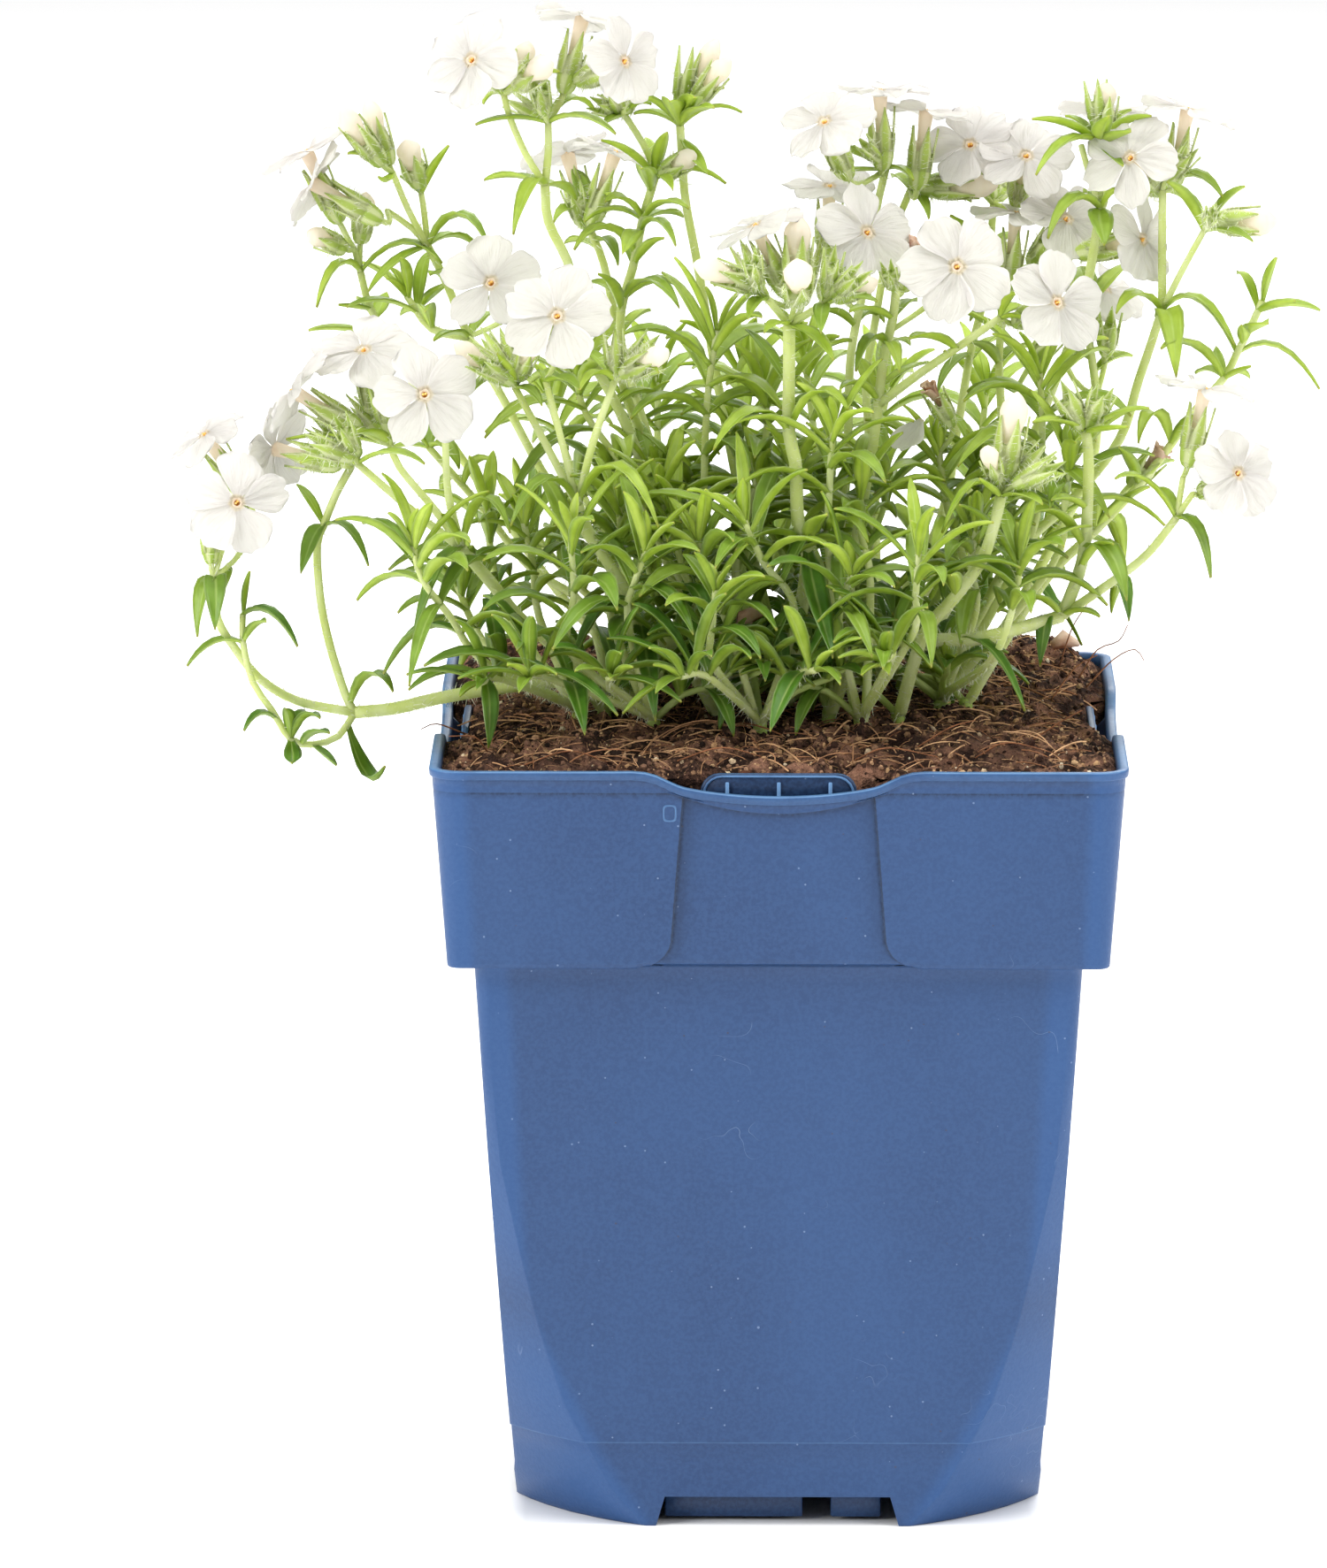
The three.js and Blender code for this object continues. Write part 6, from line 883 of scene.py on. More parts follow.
76.5,-8,191.5 73,-4,197 / 3.4 0 75,-8,188.5 77.5,-18,191 / 2 0 73.5,-8,185.5 73.5,-14,190 / 2 4 73.5,-8,185
87,-6,178.5 / 2 4 73,-8,184.5 62.5,2,191.5 / 2.8 3 71.5,-8,181.5 60.5,-16,186.5 / 1.8 0 71.5,-8,181.5
70,0,184.5 / 1.8 0 71.5,-8,181.5 75,-14,183.5 / 2 1 71,-8,180.5 75.5,0,179.5 / 2.2 1 71,-8,180.5
66.5,-2,180.5 / 3 5 63,-10,170.5 57,-18,171.5 / 2.6 1 63,-10,170.5 67,-20,176.5 / 2.6 1 58,-10,163.5
54,-18,171 / 3.2 1 51.5,-10,156.5 59,-14,164 / 2.6 1 51.5,-10,156.5 50.5,-16,162.5 / 3.4 3 52,-10,157.5
55.5,-4,150 / 2.6 1 58,-10,163.5 63.5,0,166
plant leafy_left -32,-16
shoots 3 14 -32,-16,128 -47,-26,137.5 -52,-29,145 -56.5,-31,151.5 -57.9,-32.4,157.2 / 2 11 -32,-16,128
-44,-20,135.5 -49,-18,142.5 -51.5,-17,148.5 / 3 13 -32,-16,128 -43.5,-6,141 -46,-4,149 -47,-4,158.5 / 1 12
-32,-16,128 -44,-28,135 -47,-34,135.5 / 2 12 -32,-16,128 -38.5,-8,141.5 -39.5,-6,149.5 -41,-6,156.5
plant leafy_front_left -20,-24
shoots 3 15 -20,-24,128 -33,-30,139.5 -32.5,-31,149 -33,-32,158.5 / 1 12 -20,-24,128 -27,-34,135.5
-26,-38,137 / 2 14 -20,-24,128 -24,-30,145 -23,-32,151 -21,-33,156.5 / 2 14 -20,-24,128 -37,-32,136
-39.5,-38,137 / 2 13 -20,-24,128 -27,-24,145.5 -25.5,-18,154.5 -25.5,-17,161.5
plant leafy_centre -5,-5
shoots 4 15 -5,-5,128 -12,-9,150 -12,-11,164.5 -11.5,-11,177.5 -10,-11,188.5 / 3 14 -5,-5,128 -19,-2,152
-24.5,1,163.5 -31,3,172.5 -33,4,179.5 / 2 13 -5,-5,128 -17.5,-12,149 -18,-13,156.5 -19,-14,162.5 / 2 13
-5,-5,128 -7,-8,150 -4.5,-8,160 -2,-7,172.5 -3,-6,178.5 / 2 13 -5,-5,128 -11.5,-14,142.5 -15.5,-16,151
-16.5,-17,158.5
plant leafy_front_centre -3,-26
shoots 2 10 -3,-26,128 -10.5,-33,138.5 -10.5,-36,145.5 -10,-37,151 / 1 13 -3,-26,128 2.5,-34,136.5
6,-39,138.5 / 2 15 -3,-26,128 2.5,-27,145.5 -2.5,-29,154 -5.5,-31,161 / 1 13 -3,-26,128 -11.5,-36,137
-15.5,-40,137.5 / 2 12 -3,-26,128 -7.5,-28,142 -11.5,-28,152 -13,-28,157.5
plant leafy_right_centre 13,-22
shoots 3 14 13,-22,128 8,-22,152.5 8,-23,166 8.5,-24,174.5 / 2 14 13,-22,128 21.5,-33,144 21.5,-35,149
22,-37,157 / 2 13 13,-22,128 14.5,-22,149.5 13,-20,157.5 13,-19,164.5 / 2 13 13,-22,128 9.5,-30,145
11.5,-34,153 / 1 13 13,-22,128 18,-34,140 16.5,-40,139.5
plant leafy_right 26,-5
shoots 3 13 26,-5,128 30,-8,147 27,-8,159 25.5,-8,168.5 / 2 13 26,-5,128 31.5,-12,143.5 30.5,-14,151
31.5,-15,157 / 4 16 26,-5,128 39.5,-8,153 41.5,-9,163 42,-9,173 41.5,-10,181.5 / 2 13 26,-5,128 43.5,-14,151
45.5,-15,161 46.5,-15,168 / 2 13 26,-5,128 34,-27.5,138.5 37.5,-29,149 38,-28,154.5
wilted 0.9 25.5,-8,168.5 27.5,-8,172.5 23.5,-11,180.5
plant leafy_back_left -16,28
shoots 3 13 -16,28,128 -26,34,142 -34,38,158 -38,40,170 / 3 13 -16,28,128 -18,40,144 -20,46,160 -20,48,172 /
3 13 -16,28,128 -8,36,146 -6,40,162 -6,42,176 / 2 12 -16,28,128 -32,26,140 -42,26,152 / 2 12 -16,28,128
-22,42,136 -28,50,144 / 2 12 -16,28,128 -4,44,138 0,52,146
plant leafy_back_right 16,28
shoots 3 13 16,28,128 26,34,142 32,36,158 34,38,172 / 3 13 16,28,128 16,40,144 16,46,160 18,50,170 / 3 13
16,28,128 8,34,146 6,36,162 4,36,178 / 2 12 16,28,128 34,24,140 44,24,150 / 2 12 16,28,128 26,42,136
34,50,142 / 2 12 16,28,128 12,46,138 10,54,144
"""


def value_of(word):
    """A point, a number or a name."""
    if "," in word:
        return [float(part) for part in word.split(",")]
    return word if word[0].isalpha() else float(word)


def read_plants(text):
    """Each plant's crown and its rows, by kind."""
    plants = {}
    for part in text.split("plant ")[1:]:
        name, crown, *words = part.split()
        plant = plants[name] = {"crown": value_of(crown)}
        for word in words:
            if word.isalpha():
                rows = plant[word] = [[]]
            elif word == "/":
                rows.append([])
            else:
                rows[-1].append(value_of(word))
    return plants


PLANTS = read_plants(PLANT_ROWS)

# ---------------------------------------------------------------- growing along paths and over surfaces

# How far, in radians, a lying shape leans out of the surface at most, and a turn all the way round
LEAN = 0.35
FULL_TURN = 6.283


def geometry_tree(name, **inputs):
    """A Geometry Nodes tree with named inputs, and a Value for each of them. None stands for a material."""
    kinds = {int: "NodeSocketInt", float: "NodeSocketFloat", type(None): "NodeSocketMaterial"}
    tree = bpy.data.node_groups.new(name, "GeometryNodeTree")
    tree.interface.new_socket("Geometry", in_out="INPUT", socket_type="NodeSocketGeometry")
    for label, value in inputs.items():
        socket = tree.interface.new_socket(label, in_out="INPUT", socket_type=kinds[type(value)])
        if value is not None:
            socket.default_value = value
    tree.interface.new_socket("Geometry", in_out="OUTPUT", socket_type="NodeSocketGeometry")
    builder = Tree(tree)
    start = builder.nodes.new("NodeGroupInput")
    values = {socket.name: Value(builder, socket) for socket in start.outputs if socket.name}
    return tree, builder, values


def run_tree(tree, mesh, **inputs):
    """The plain mesh that a tree makes from a mesh, with inputs given by name."""
    source = bpy.data.objects.new("source", mesh)
    scene.collection.objects.link(source)
    modifier = source.modifiers.new("grow", "NODES")
    modifier.node_group = tree
    for item in tree.interface.items_tree:
        if item.in_out == "INPUT" and item.name in inputs:
            modifier[item.identifier] = inputs[item.name]
    evaluated = source.evaluated_get(bpy.context.evaluated_depsgraph_get())
    made = bpy.data.meshes.new_from_object(evaluated)
    bpy.data.objects.remove(source)
    return made


def close_tree(b, geometry, finish):
    """The end of every tree: its result as one plain mesh of one material."""
    whole = b.add("GeometryNodeRealizeInstances", inputs={"Geometry": geometry})
    done = b.add("GeometryNodeSetMaterial", inputs={"Geometry": whole, "Material": finish})
    b.add("NodeGroupOutput", inputs={"Geometry": done})


def random_value(b, kind, low, high, seed):
    vectors = kind == "FLOAT_VECTOR"
    first = 0 if vectors else 2
    inputs = {first: low, first + 1: high, "Seed": seed}
    return b.add("FunctionNodeRandomValue", {"data_type": kind}, inputs, 0 if vectors else 1)


def swept_line(b, line, sides, radius, more=()):
    """A closed tube along a line."""
    round_line = b.add("GeometryNodeCurvePrimitiveCircle", inputs={"Resolution": sides, "Radius": radius})
    inputs = {"Curve": line, "Profile Curve": round_line, "Fill Caps": True, **dict(more)}
    return b.add("GeometryNodeCurveToMesh", inputs=inputs)


def make_stem_tree():
    """Sweeps every line of the mesh to a stem, as thick as its points say."""
    tree, b, values = geometry_tree("stems", Sides=8, Finish=None)
    lines = b.add("GeometryNodeMeshToCurve", inputs={"Mesh": values["Geometry"]})
    thick = b.add("GeometryNodeInputNamedAttribute", {"data_type": "FLOAT"}, {"Name": "thick"})
    swept = swept_line(b, lines, values["Sides"], 1.0, {"Scale": thick})
    close_tree(b, b.add("GeometryNodeSetShadeSmooth", inputs={"Geometry": swept}), values["Finish"])
    return tree


def make_scatter_tree(name, shape, lying):
    """Sets small shapes over the faces of a mesh, turned at random; lying ones keep flat on the surface."""
    tree, b, values = geometry_tree(name, Density=1.0, Least=0.5, Most=1.0, Flatness=0.7, Seed=1, Finish=None)
    inputs = {"Mesh": values["Geometry"], "Density": values["Density"], "Seed": values["Seed"]}
    spots = b.add("GeometryNodeDistributePointsOnFaces", inputs=inputs, out="Points")
    low, high = ((-LEAN, -LEAN, 0), (LEAN, LEAN, FULL_TURN)) if lying else ((0, 0, 0), (FULL_TURN,) * 3)
    turned = random_value(b, "FLOAT_VECTOR", low, high, 5)
    turn = b.add("FunctionNodeEulerToRotation", inputs={"Euler": turned})
    if lying:
        inputs = {"Rotation": spots.of("Rotation"), "Rotate By": turn}
        turn = b.add("FunctionNodeRotateRotation", inputs=inputs)
    share = random_value(b, "FLOAT", 0.0, 1.0, 9)
    size = values["Least"] + (values["Most"] - values["Least"]) * share * share * share
    uneven = random_value(b, "FLOAT", 0.45, 1.0, 13)
    scale = b.add("ShaderNodeCombineXYZ", inputs={0: size, 1: size * uneven, 2: size * values["Flatness"]})
    inputs = {"Points": spots, "Instance": shape(b), "Rotation": turn, "Scale": scale}
    placed = b.add("GeometryNodeInstanceOnPoints", inputs=inputs)
    inputs = {"Geometry": placed, "Name": "pick", "Value": random_value(b, "FLOAT", 0.0, 1.0, 17)}
    named = b.add("GeometryNodeStoreNamedAttribute", {"data_type": "FLOAT", "domain": "INSTANCE"}, inputs)
    close_tree(b, named, values["Finish"])
    return tree


def crumb_shape(b):
    return b.add("GeometryNodeMeshIcoSphere", inputs={"Radius": 1.0, "Subdivisions": 1})


def fibre_shape(b):
    """A bent thread, one unit long, with three sides."""
    inputs = {"Resolution": 5, "Start": (-0.5, 0, 0.01), "Middle": (0.1, 0.22, 0.16),
              "End": (0.5, -0.05, 0.03)}
    return swept_line(b, b.add("GeometryNodeCurveQuadraticBezier", inputs=inputs), 3, 0.016)


def hair_shape(b):
    """A fine cone, one unit long, that stands on its foot."""
    inputs = {"Vertices": 3, "Radius Top": 0.0, "Radius Bottom": 0.055, "Depth": 1.0}
    return b.add("GeometryNodeMeshCone", inputs=inputs)


stem_tree = make_stem_tree()
crumb_tree = make_scatter_tree("crumbs", crumb_shape, False)
fibre_tree = make_scatter_tree("fibres", fibre_shape, True)
hair_tree = make_scatter_tree("hairs", hair_shape, True)

# ---------------------------------------------------------------- pot

# Where a side's points lie: from its middle to the panel's edge, from there to its end, and round a corner
CENTRE_SHARES = np.array([0, 0.14, 0.28, 0.4, 0.52, 0.64, 0.76, 0.88, 0.96, 0.992])
OUTER_SHARES = np.array([0.004, 0.025, 0.07, 0.12, 0.17, 0.23, 0.31, 0.42, 0.55, 0.68, 0.8, 0.9, 0.965,
                         0.993, 1])
CORNER_SHARES = np.array([0.04, 0.14, 0.3, 0.5, 0.7, 0.86, 0.96])
# The rim's dip: distance from the side's middle, 0, drop
DIP = np.array(smooth_path([[-8, 0, 3.6], [0, 0, 4], [8, 0, 3.6], [15, 0, 2.5], [19, 0, 0.7], [22, 0, 0],
                            [27, 0, 0]], 1))
# How far from its middle a side of the body stays flat: [height, distance]
BODY_FLAT = np.array([[0, 21], [6, 26.5], [20, 33.8], [33, 38], [48, 41.5], [60, 44], [75, 45.4], [93, 45.6]])
POT_HEIGHT = 125
POT_WALL = 1.3
RIM_HALF = 55
LIP = 0.38
BAND_HEIGHT = 32
BAND_FOOT = 93
BAND_TAPER = 2.8
BASE_HALF = 42.1
BODY_TAPER = 6
COLLAR_LOW = 118.2
COLLAR_HIGH = 121.6
PANEL_DEPTH = 1.3
PANEL_HALF = 16.8
FLARE_TOP = 98
FLARE_HALF = 21.6
NOTCH_INNER = 18
NOTCH_OUTER = 18.2
NOTCH_HEIGHT = 4.9
FOOT_TOP = 5.2
FLOOR_HALF = 41.6
FLOOR_RADIUS = 46.6
# Half the gap between the points on the two sides of the panel's edge
SEAM = 0.07
TAB = {"half": 12.3, "foot": 112.0, "top": 124.0, "round": 3.0, "front": -50.8, "back": -49.8}
# The band's rings between its foot and the collar, by share of the way up
PANEL_SHARES = [0.008, 0.03, 0.06, 0.1, 0.14, 0.18, 0.22, 0.3, 0.42, 0.55, 0.68, 0.8, 0.9, 0.96]
# The rim's rings: [drop below its top, inset, painted shade, pale edge from wear and a painted highlight]
RIM_RINGS = [[1.42, 0, 0.35, 0], [1.3, -0.3, 0, 0.2], [1.15, -LIP, 0, 0.1], [0.25, -LIP, 0, 0.15],
             [0.06, -0.28, 0, 0.8], [0, 0.1, 0, 0.65], [0, 0.8, 0, 0.4], [0.2, 1.3, 0.3, 0.1]]


def band_half(z):
    return RIM_HALF - LIP - (BAND_TAPER - LIP) * (POT_HEIGHT - z) / BAND_HEIGHT


def body_half(z):
    return BASE_HALF + BODY_TAPER * z / BAND_FOOT


def rim_top(x):
    """The rim's height: it dips in the middle of each side."""
    return POT_HEIGHT - np.interp(x, DIP[:, 0], DIP[:, 2], right=0)


def collar_foot(x):
    curve = np.minimum(COLLAR_LOW + 2.7 * (x / 15) ** 2, COLLAR_HIGH)
    return np.minimum(curve, rim_top(x) - 1.6)


def band_foot(x):
    return BAND_FOOT + 0.45 * (x < FLARE_HALF)


def up_panel(share):
    """A height between the band's foot and the collar's, by share."""
    return lambda x: band_foot(x) + share * (collar_foot(x) - band_foot(x))


def panel_edge(z):
    """Half the width of the recess: it flares out in a round at its foot."""
    if z >= FLARE_TOP:
        return PANEL_HALF - 1.8 * (z - FLARE_TOP) / 23.4
    return PANEL_HALF + 4.8 * (1 - math.sqrt(1 - min(1.0, (FLARE_TOP - z) / 4.7) ** 2))


def pot_ring(height, half_at, flat, centre, edge, gap, inset=0.0, recess=0.0):
    """One ring of the pot, and where painted shade darkens the panel's edges. Each side is flat that far from
    its middle, the corners are arcs about (centre, centre), and recess counts between the edges."""
    corner_height = float(height(np.array([flat]))[0])
    half = half_at(corner_height) - inset
    radius = math.hypot(half + inset - centre, flat - centre) - inset
    flat = centre + math.sqrt(max(radius ** 2 - (half - centre) ** 2, 0))
    outer = edge + gap + OUTER_SHARES * (flat - edge - gap)
    right = np.concatenate([CENTRE_SHARES * (edge - gap), [edge - gap, edge + gap], outer])
    x = np.concatenate([-right[:0:-1], right])
    far = np.abs(x)
    z = height(far)
    y = -(half_at(z) - inset - recess * (far < edge))
    start = math.atan2(centre - half, flat - centre)
    turns = start + CORNER_SHARES * (-math.pi / 2 - 2 * start)
    n = len(turns)
    corner = np.column_stack([centre + radius * np.cos(turns), radius * np.sin(turns) - centre,
                              np.full(n, corner_height)])
    ring = [np.vstack([np.column_stack([x, y, z]), corner])]
    for _ in range(3):
        last = ring[-1]
        ring.append(np.column_stack([-last[:, 1], last[:, 0], last[:, 2]]))
    # painted shade along the recessed panel's edge, and a fainter band of it just inside
    step_shade = (np.abs(far - edge) < gap + 0.01) + 0.7 * (np.abs(far - edge + 0.22) < 0.14)
    return np.vstack(ring), np.tile(np.concatenate([step_shade * float(recess > 0), np.zeros(n)]), 4)


def band_ring(height, inset=0.0, recess=0.0):
    edge = panel_edge(float(height(np.array([16.0]))[0]))
    return pot_ring(height, band_half, 50.0, 50.0, edge, SEAM, inset, recess)


def body_ring(z, inset=0.0, height=None, outer=NOTCH_OUTER):
    flat = float(np.interp(z, *BODY_FLAT.T))
    centre = flat * float(step_between(z, 30, 78))
    edge, gap = (NOTCH_INNER + outer) / 2, (outer - NOTCH_INNER) / 2
    return pot_ring(height or (lambda x: 0 * x + z), body_half, flat, centre, edge, gap, inset)


def foot_ring(share, inset=0.0):
    """A ring by share of the way up the foot, which is notched in the middle of each side."""
    def height(x):
        low = np.where(x < NOTCH_INNER + 0.05, NOTCH_HEIGHT, 0)
        return low + share * (FOOT_TOP - low)

    return body_ring(FOOT_TOP * share, inset, height, NOTCH_OUTER + 1.2 * (1 - share))


def pot_rings():
    """From the foot up the outside, over the rim and down the inside: each as its points, its painted shade
    along the panel's edges, how dark painted shade makes it, and how pale its edge is from wear and a painted
    highlight."""
    rings = []

    def add(ring, dark=0.0, wear_and_highlight=0.0):
        rings.append((*ring, dark, wear_and_highlight))

    for share in (0, 0.04, 0.15, 0.5, 1):
        add(foot_ring(share, 0 if share else 0.25))
    for z in (7, 10, 13.75):
        add(body_ring(z, 0.22))
    # a pale line along the mould line: painted highlight
    add(body_ring(13.9), 0, 0.3)
    for z in (14.1, 16, 20, 25, 30, 35, 40, 46, 52, 60, 68, 76, 84, 90, 92.3):
        add(body_ring(z))
    # painted shade under the band's foot, on the body and on the band's lowest rings
    add(body_ring(92.8, -0.5), 0.6)
    add(band_ring(band_foot, 0.9, PANEL_DEPTH), 0.6)
    add(band_ring(band_foot, 0.2, PANEL_DEPTH))
    for share in PANEL_SHARES:
        add(band_ring(up_panel(share), 0, PANEL_DEPTH))
    # painted shade just under the collar
    add(band_ring(up_panel(0.985), 0, PANEL_DEPTH), 0.45)
    add(band_ring(up_panel(0.998), 0, PANEL_DEPTH), 1)
    for rise in (0.05, 0.25):
        add(band_ring(lambda x, r=rise: collar_foot(x) + r))
    add(band_ring(lambda x: 0.6 * collar_foot(x) + 0.4 * (rim_top(x) - 1.4)))
    for drop, inset, dark, wear_and_highlight in RIM_RINGS:
        add(band_ring(lambda x, d=drop: rim_top(x) - d, inset), dark, wear_and_highlight)
    # the inside, dark with painted shade
    add(band_ring(lambda x: rim_top(x) - 1.5, POT_WALL), 0.8)
    add(band_ring(lambda x: collar_foot(x) + 0.2, POT_WALL), 1)
    add(band_ring(lambda x: collar_foot(x) - 1.4, POT_WALL, PANEL_DEPTH), 1)
    for share in (0.6, 0.25, 0.12, 0.06):
        add(band_ring(up_panel(share), POT_WALL, PANEL_DEPTH), 1)
    for z in (92, 76, 60, 48, 40, 33, 20, 12, 6.9):
        add(body_ring(z, POT_WALL), 1)
    for share in (1, 0.5, 0.15, 0):
        add(foot_ring(share, POT_WALL), 1)
    return rings


def plain_lays(k, n, wear_and_highlight=0.0, dark=0.0):
    """The pot's lay: wear with a painted highlight, and painted shade, the same for all points."""
    return np.tile([wear_and_highlight, dark, 0.0], (k, n, 1))


def on_each_side(rings):
    """The same rings on the pot's four sides."""
    for turn in range(4):
        cos, sin = round(math.cos(turn * math.pi / 2)), round(math.sin(turn * math.pi / 2))
        yield rings @ np.array([[cos, sin, 0], [-sin, cos, 0], [0, 0, 1]], float)


def block(form, x, y, z, bevel=0.2, dark=0.0, wear_and_highlight=0.0):
    """A box with soft edges, the same on all four sides."""
    rings = []
    for height, inset in ((z[0], bevel), (z[0] + bevel, 0), (z[1] - bevel, 0), (z[1], bevel)):
        corners = []
        for east, north in ((1, 1), (0, 1), (0, 0), (1, 0)):
            way_x, way_y = (-1 if east else 1), (-1 if north else 1)
            pair = [(x[east] + way_x * inset, y[north] + way_y * bevel),
                    (x[east] + way_x * bevel, y[north] + way_y * inset)]
            corners += pair if east == north else pair[::-1]
        rings.append([(a, b, height) for a, b in corners])
    for turned in on_each_side(np.array(rings, float)):
        form.loft(turned, plain_lays(4, 8, wear_and_highlight, dark), pot_plastic)


def make_tabs(form):
    """The plates behind the dips: rounded top corners, a bead round them, three ribs, and the ledge."""
    half, foot, top, round_by = TAB["half"], TAB["foot"], TAB["top"], TAB["round"]
    outline = [(half, foot)]
    for cx, start in ((half - round_by, 0), (-half + round_by, 90)):
        for a in (0, 18, 36, 54, 72, 90):
            angle = math.radians(start + a)
            outline.append((cx + round_by * math.cos(angle), top - round_by + round_by * math.sin(angle)))
    outline = np.array([*outline, (-half, foot)])
    middle = np.array([0, (foot + top) / 2])
    front, back = TAB["front"], TAB["back"]

    def grown(y, by):
        """The outline at a depth, made larger or smaller about its middle."""
        at = middle + (outline - middle) * by
        return np.column_stack([at[:, 0], np.full(len(at), y), at[:, 1]])

    plate = [grown(front, 0.985), grown(front + 0.15, 1), grown(back - 0.15, 1), grown(back, 0.985)]
    # the plate is dark with painted shade, its flat faces a little paler from wear and a painted highlight
    lays = plain_lays(4, len(outline), 0, 0.85)
    lays[1:3, :, 0] = 0.25
    for turned in on_each_side(np.array(plate)):
        form.loft(turned, lays, pot_plastic)
    # the bead is pale: wear and a painted highlight
    bead = rings_along(grown(front, [0.955, 0.93]), 0.2, 6)
    for turned in on_each_side(bead):
        form.loft(turned, plain_lays(len(bead), 6, 0.75), pot_plastic)
    # the ledge, dark with painted shade
    block(form, (-half, half), (front - 0.1, back), (foot, foot + 1), dark=1)
    # the ribs are pale: wear and a painted highlight
    for x in (-8.1, 0, 8.1):
        block(form, (x - 0.3, x + 0.3), (front - 0.45, front + 0.2), (foot + 0.6, top - 1.3), 0.12, 0, 0.95)


def make_mould_mark(form):
    """A small raised square ring on each side's left panel, by the collar."""
    turns = np.arange(20) * math.pi / 10
    square = [np.sign(side) * np.abs(side) ** 0.5 for side in (np.cos(turns), np.sin(turns))]
    rings = []
    for angle in np.arange(6) * math.pi / 3:
        wide, out = 0.16 * math.cos(angle), 0.1 * math.sin(angle)
        z = 118.3 + (1.25 + wide) * square[1]
        rings.append(np.column_stack([-17.1 + (0.95 + wide) * square[0], -band_half(z) - out, z]))
    # the raised ring is pale: wear and a painted highlight
    for turned in on_each_side(np.array(rings)):
        form.loft(turned, plain_lays(6, 20, 0.45), pot_plastic, None)


def make_floor_plate(form):
    """The pot's floor, with an oblong drain hole on each side of its middle."""
    breaks = np.array([-FLOOR_HALF, -33, -27, -21, -12, -4.5, 4.5, 12, 21, 27, 33, FLOOR_HALF])
    n = len(breaks)
    x, y = np.meshgrid(breaks, breaks)
    shrink = np.minimum(1, FLOOR_RADIUS / np.maximum(np.hypot(x, y), 1))
    flat = np.stack([(x * shrink).ravel(), (y * shrink).ravel()], axis=-1)
    open_cells = {(5, 1), (5, 9), (1, 5), (9, 5)}
    points = [np.column_stack([flat, np.full(n * n, z)]) for z in (5.5, 7.0)]
    # the floor plate is dark with painted shade
    first = form.add_points(np.vstack(points), np.tile([0.0, 1.0, 0.0], (2 * n * n, 1)))
    quads = []
    solid_cells = {(i, j) for i in range(n - 1) for j in range(n - 1)} - open_cells
    for i, j in sorted(solid_cells):
        a, b, c, d = j * n + i, j * n + i + 1, (j + 1) * n + i + 1, (j + 1) * n + i
        quads += [[d, c, b, a], [a + n * n, b + n * n, c + n * n, d + n * n]]
        for side, (p, q) in {(0, -1): (a, b), (1, 0): (b, c), (0, 1): (c, d), (-1, 0): (d, a)}.items():
            if (i + side[0], j + side[1]) not in solid_cells:
                quads.append([p, q, q + n * n, p + n * n])
    form.add_faces(np.array(quads) + first, pot_plastic)


def make_pot():
    """The pot's shell, and what is joined to it: tabs, mould marks, floor, centre pad and foot ribs."""
    form = Form()
    rings = pot_rings()
    lays = np.zeros((len(rings), len(rings[0][0]), 3))
    # each ring's lay: wear with a painted highlight, and painted shade, deepest along the panel's edges
    for lay, (_, step_shade, dark, wear_and_highlight) in zip(lays, rings):
        lay[:, 0] = wear_and_highlight
        lay[:, 1] = np.maximum(dark, np.minimum(step_shade, 1))
    form.loft(np.array([ring[0] for ring in rings]), lays, pot_plastic, None)
    make_tabs(form)
    make_mould_mark(form)
    make_floor_plate(form)
    disc = np.array([(math.cos(a), math.sin(a)) for a in np.arange(24) * math.pi / 12])
    pad = [np.column_stack([disc * r, np.full(24, z)]) for r, z in ((5.5, 0), (6, 0.4), (6, 5.8))]
    # the pad is dark with painted shade
    form.loft(pad, plain_lays(3, 24, 0, 1), pot_plastic)
    # the ribs behind the foot's notches are darkened by painted shade
    for span in ((-18, 4), (8.5, 16.5)):
        block(form, span, (-38.6, -37.4), (0.7, 6), 0.25, 0.45)
    form.piece("pot_nursery", "pot_plastic", "pot")


make_pot()

# ---------------------------------------------------------------- soil


SOIL_LEVEL = 123.9
SOIL_HALF = 53.2
SOIL_CORNER = 3.3
SOIL_CELLS = 80
SOIL_FOOT = 7.4
# The slots round the tabs: half their width, how far out they begin, and how deep they are
SLOT_HALF = 12.5
SLOT_FROM = 49.4
SLOT_FLOOR = 120.0
# The soil keeps inside the recessed panels, over this half width
BACKING_FACE = 50.6
BACKING_HALF = 18.5
# Under its top the filling follows the pot: [height, half its width, radius that cuts its corners]
SOIL_SKIRT = [(110, 51.3, 90), (95, 50.3, 90), (92, 46.1, 62.5), (60, 44.2, 61), (33, 42.4, 56.2),
              (19, 41.5, 51.8), (SOIL_FOOT, 40.8, 47.0)]


def soil_height(x, y):
    """Level at the rim, mounded in the middle and heaped along the back."""
    edge = np.maximum(np.abs(x), np.abs(y)) / RIM_HALF
    mound = 2.5 * (1 - edge ** 3)
    heap = 4.4 * step_between(y, 29, 45) * (1 - (np.abs(x) / 53) ** 8)
    heap = heap * (1 - (np.maximum(y, 0) / RIM_HALF) ** 14)
    lumps = 0.45 * np.sin(0.31 * x + 1.7) * np.cos(0.27 * y) + 0.3 * np.sin(0.53 * y + 0.21 * x)
    return SOIL_LEVEL - 1.3 * edge ** 9 + mound + heap + lumps * (1 - edge ** 6)


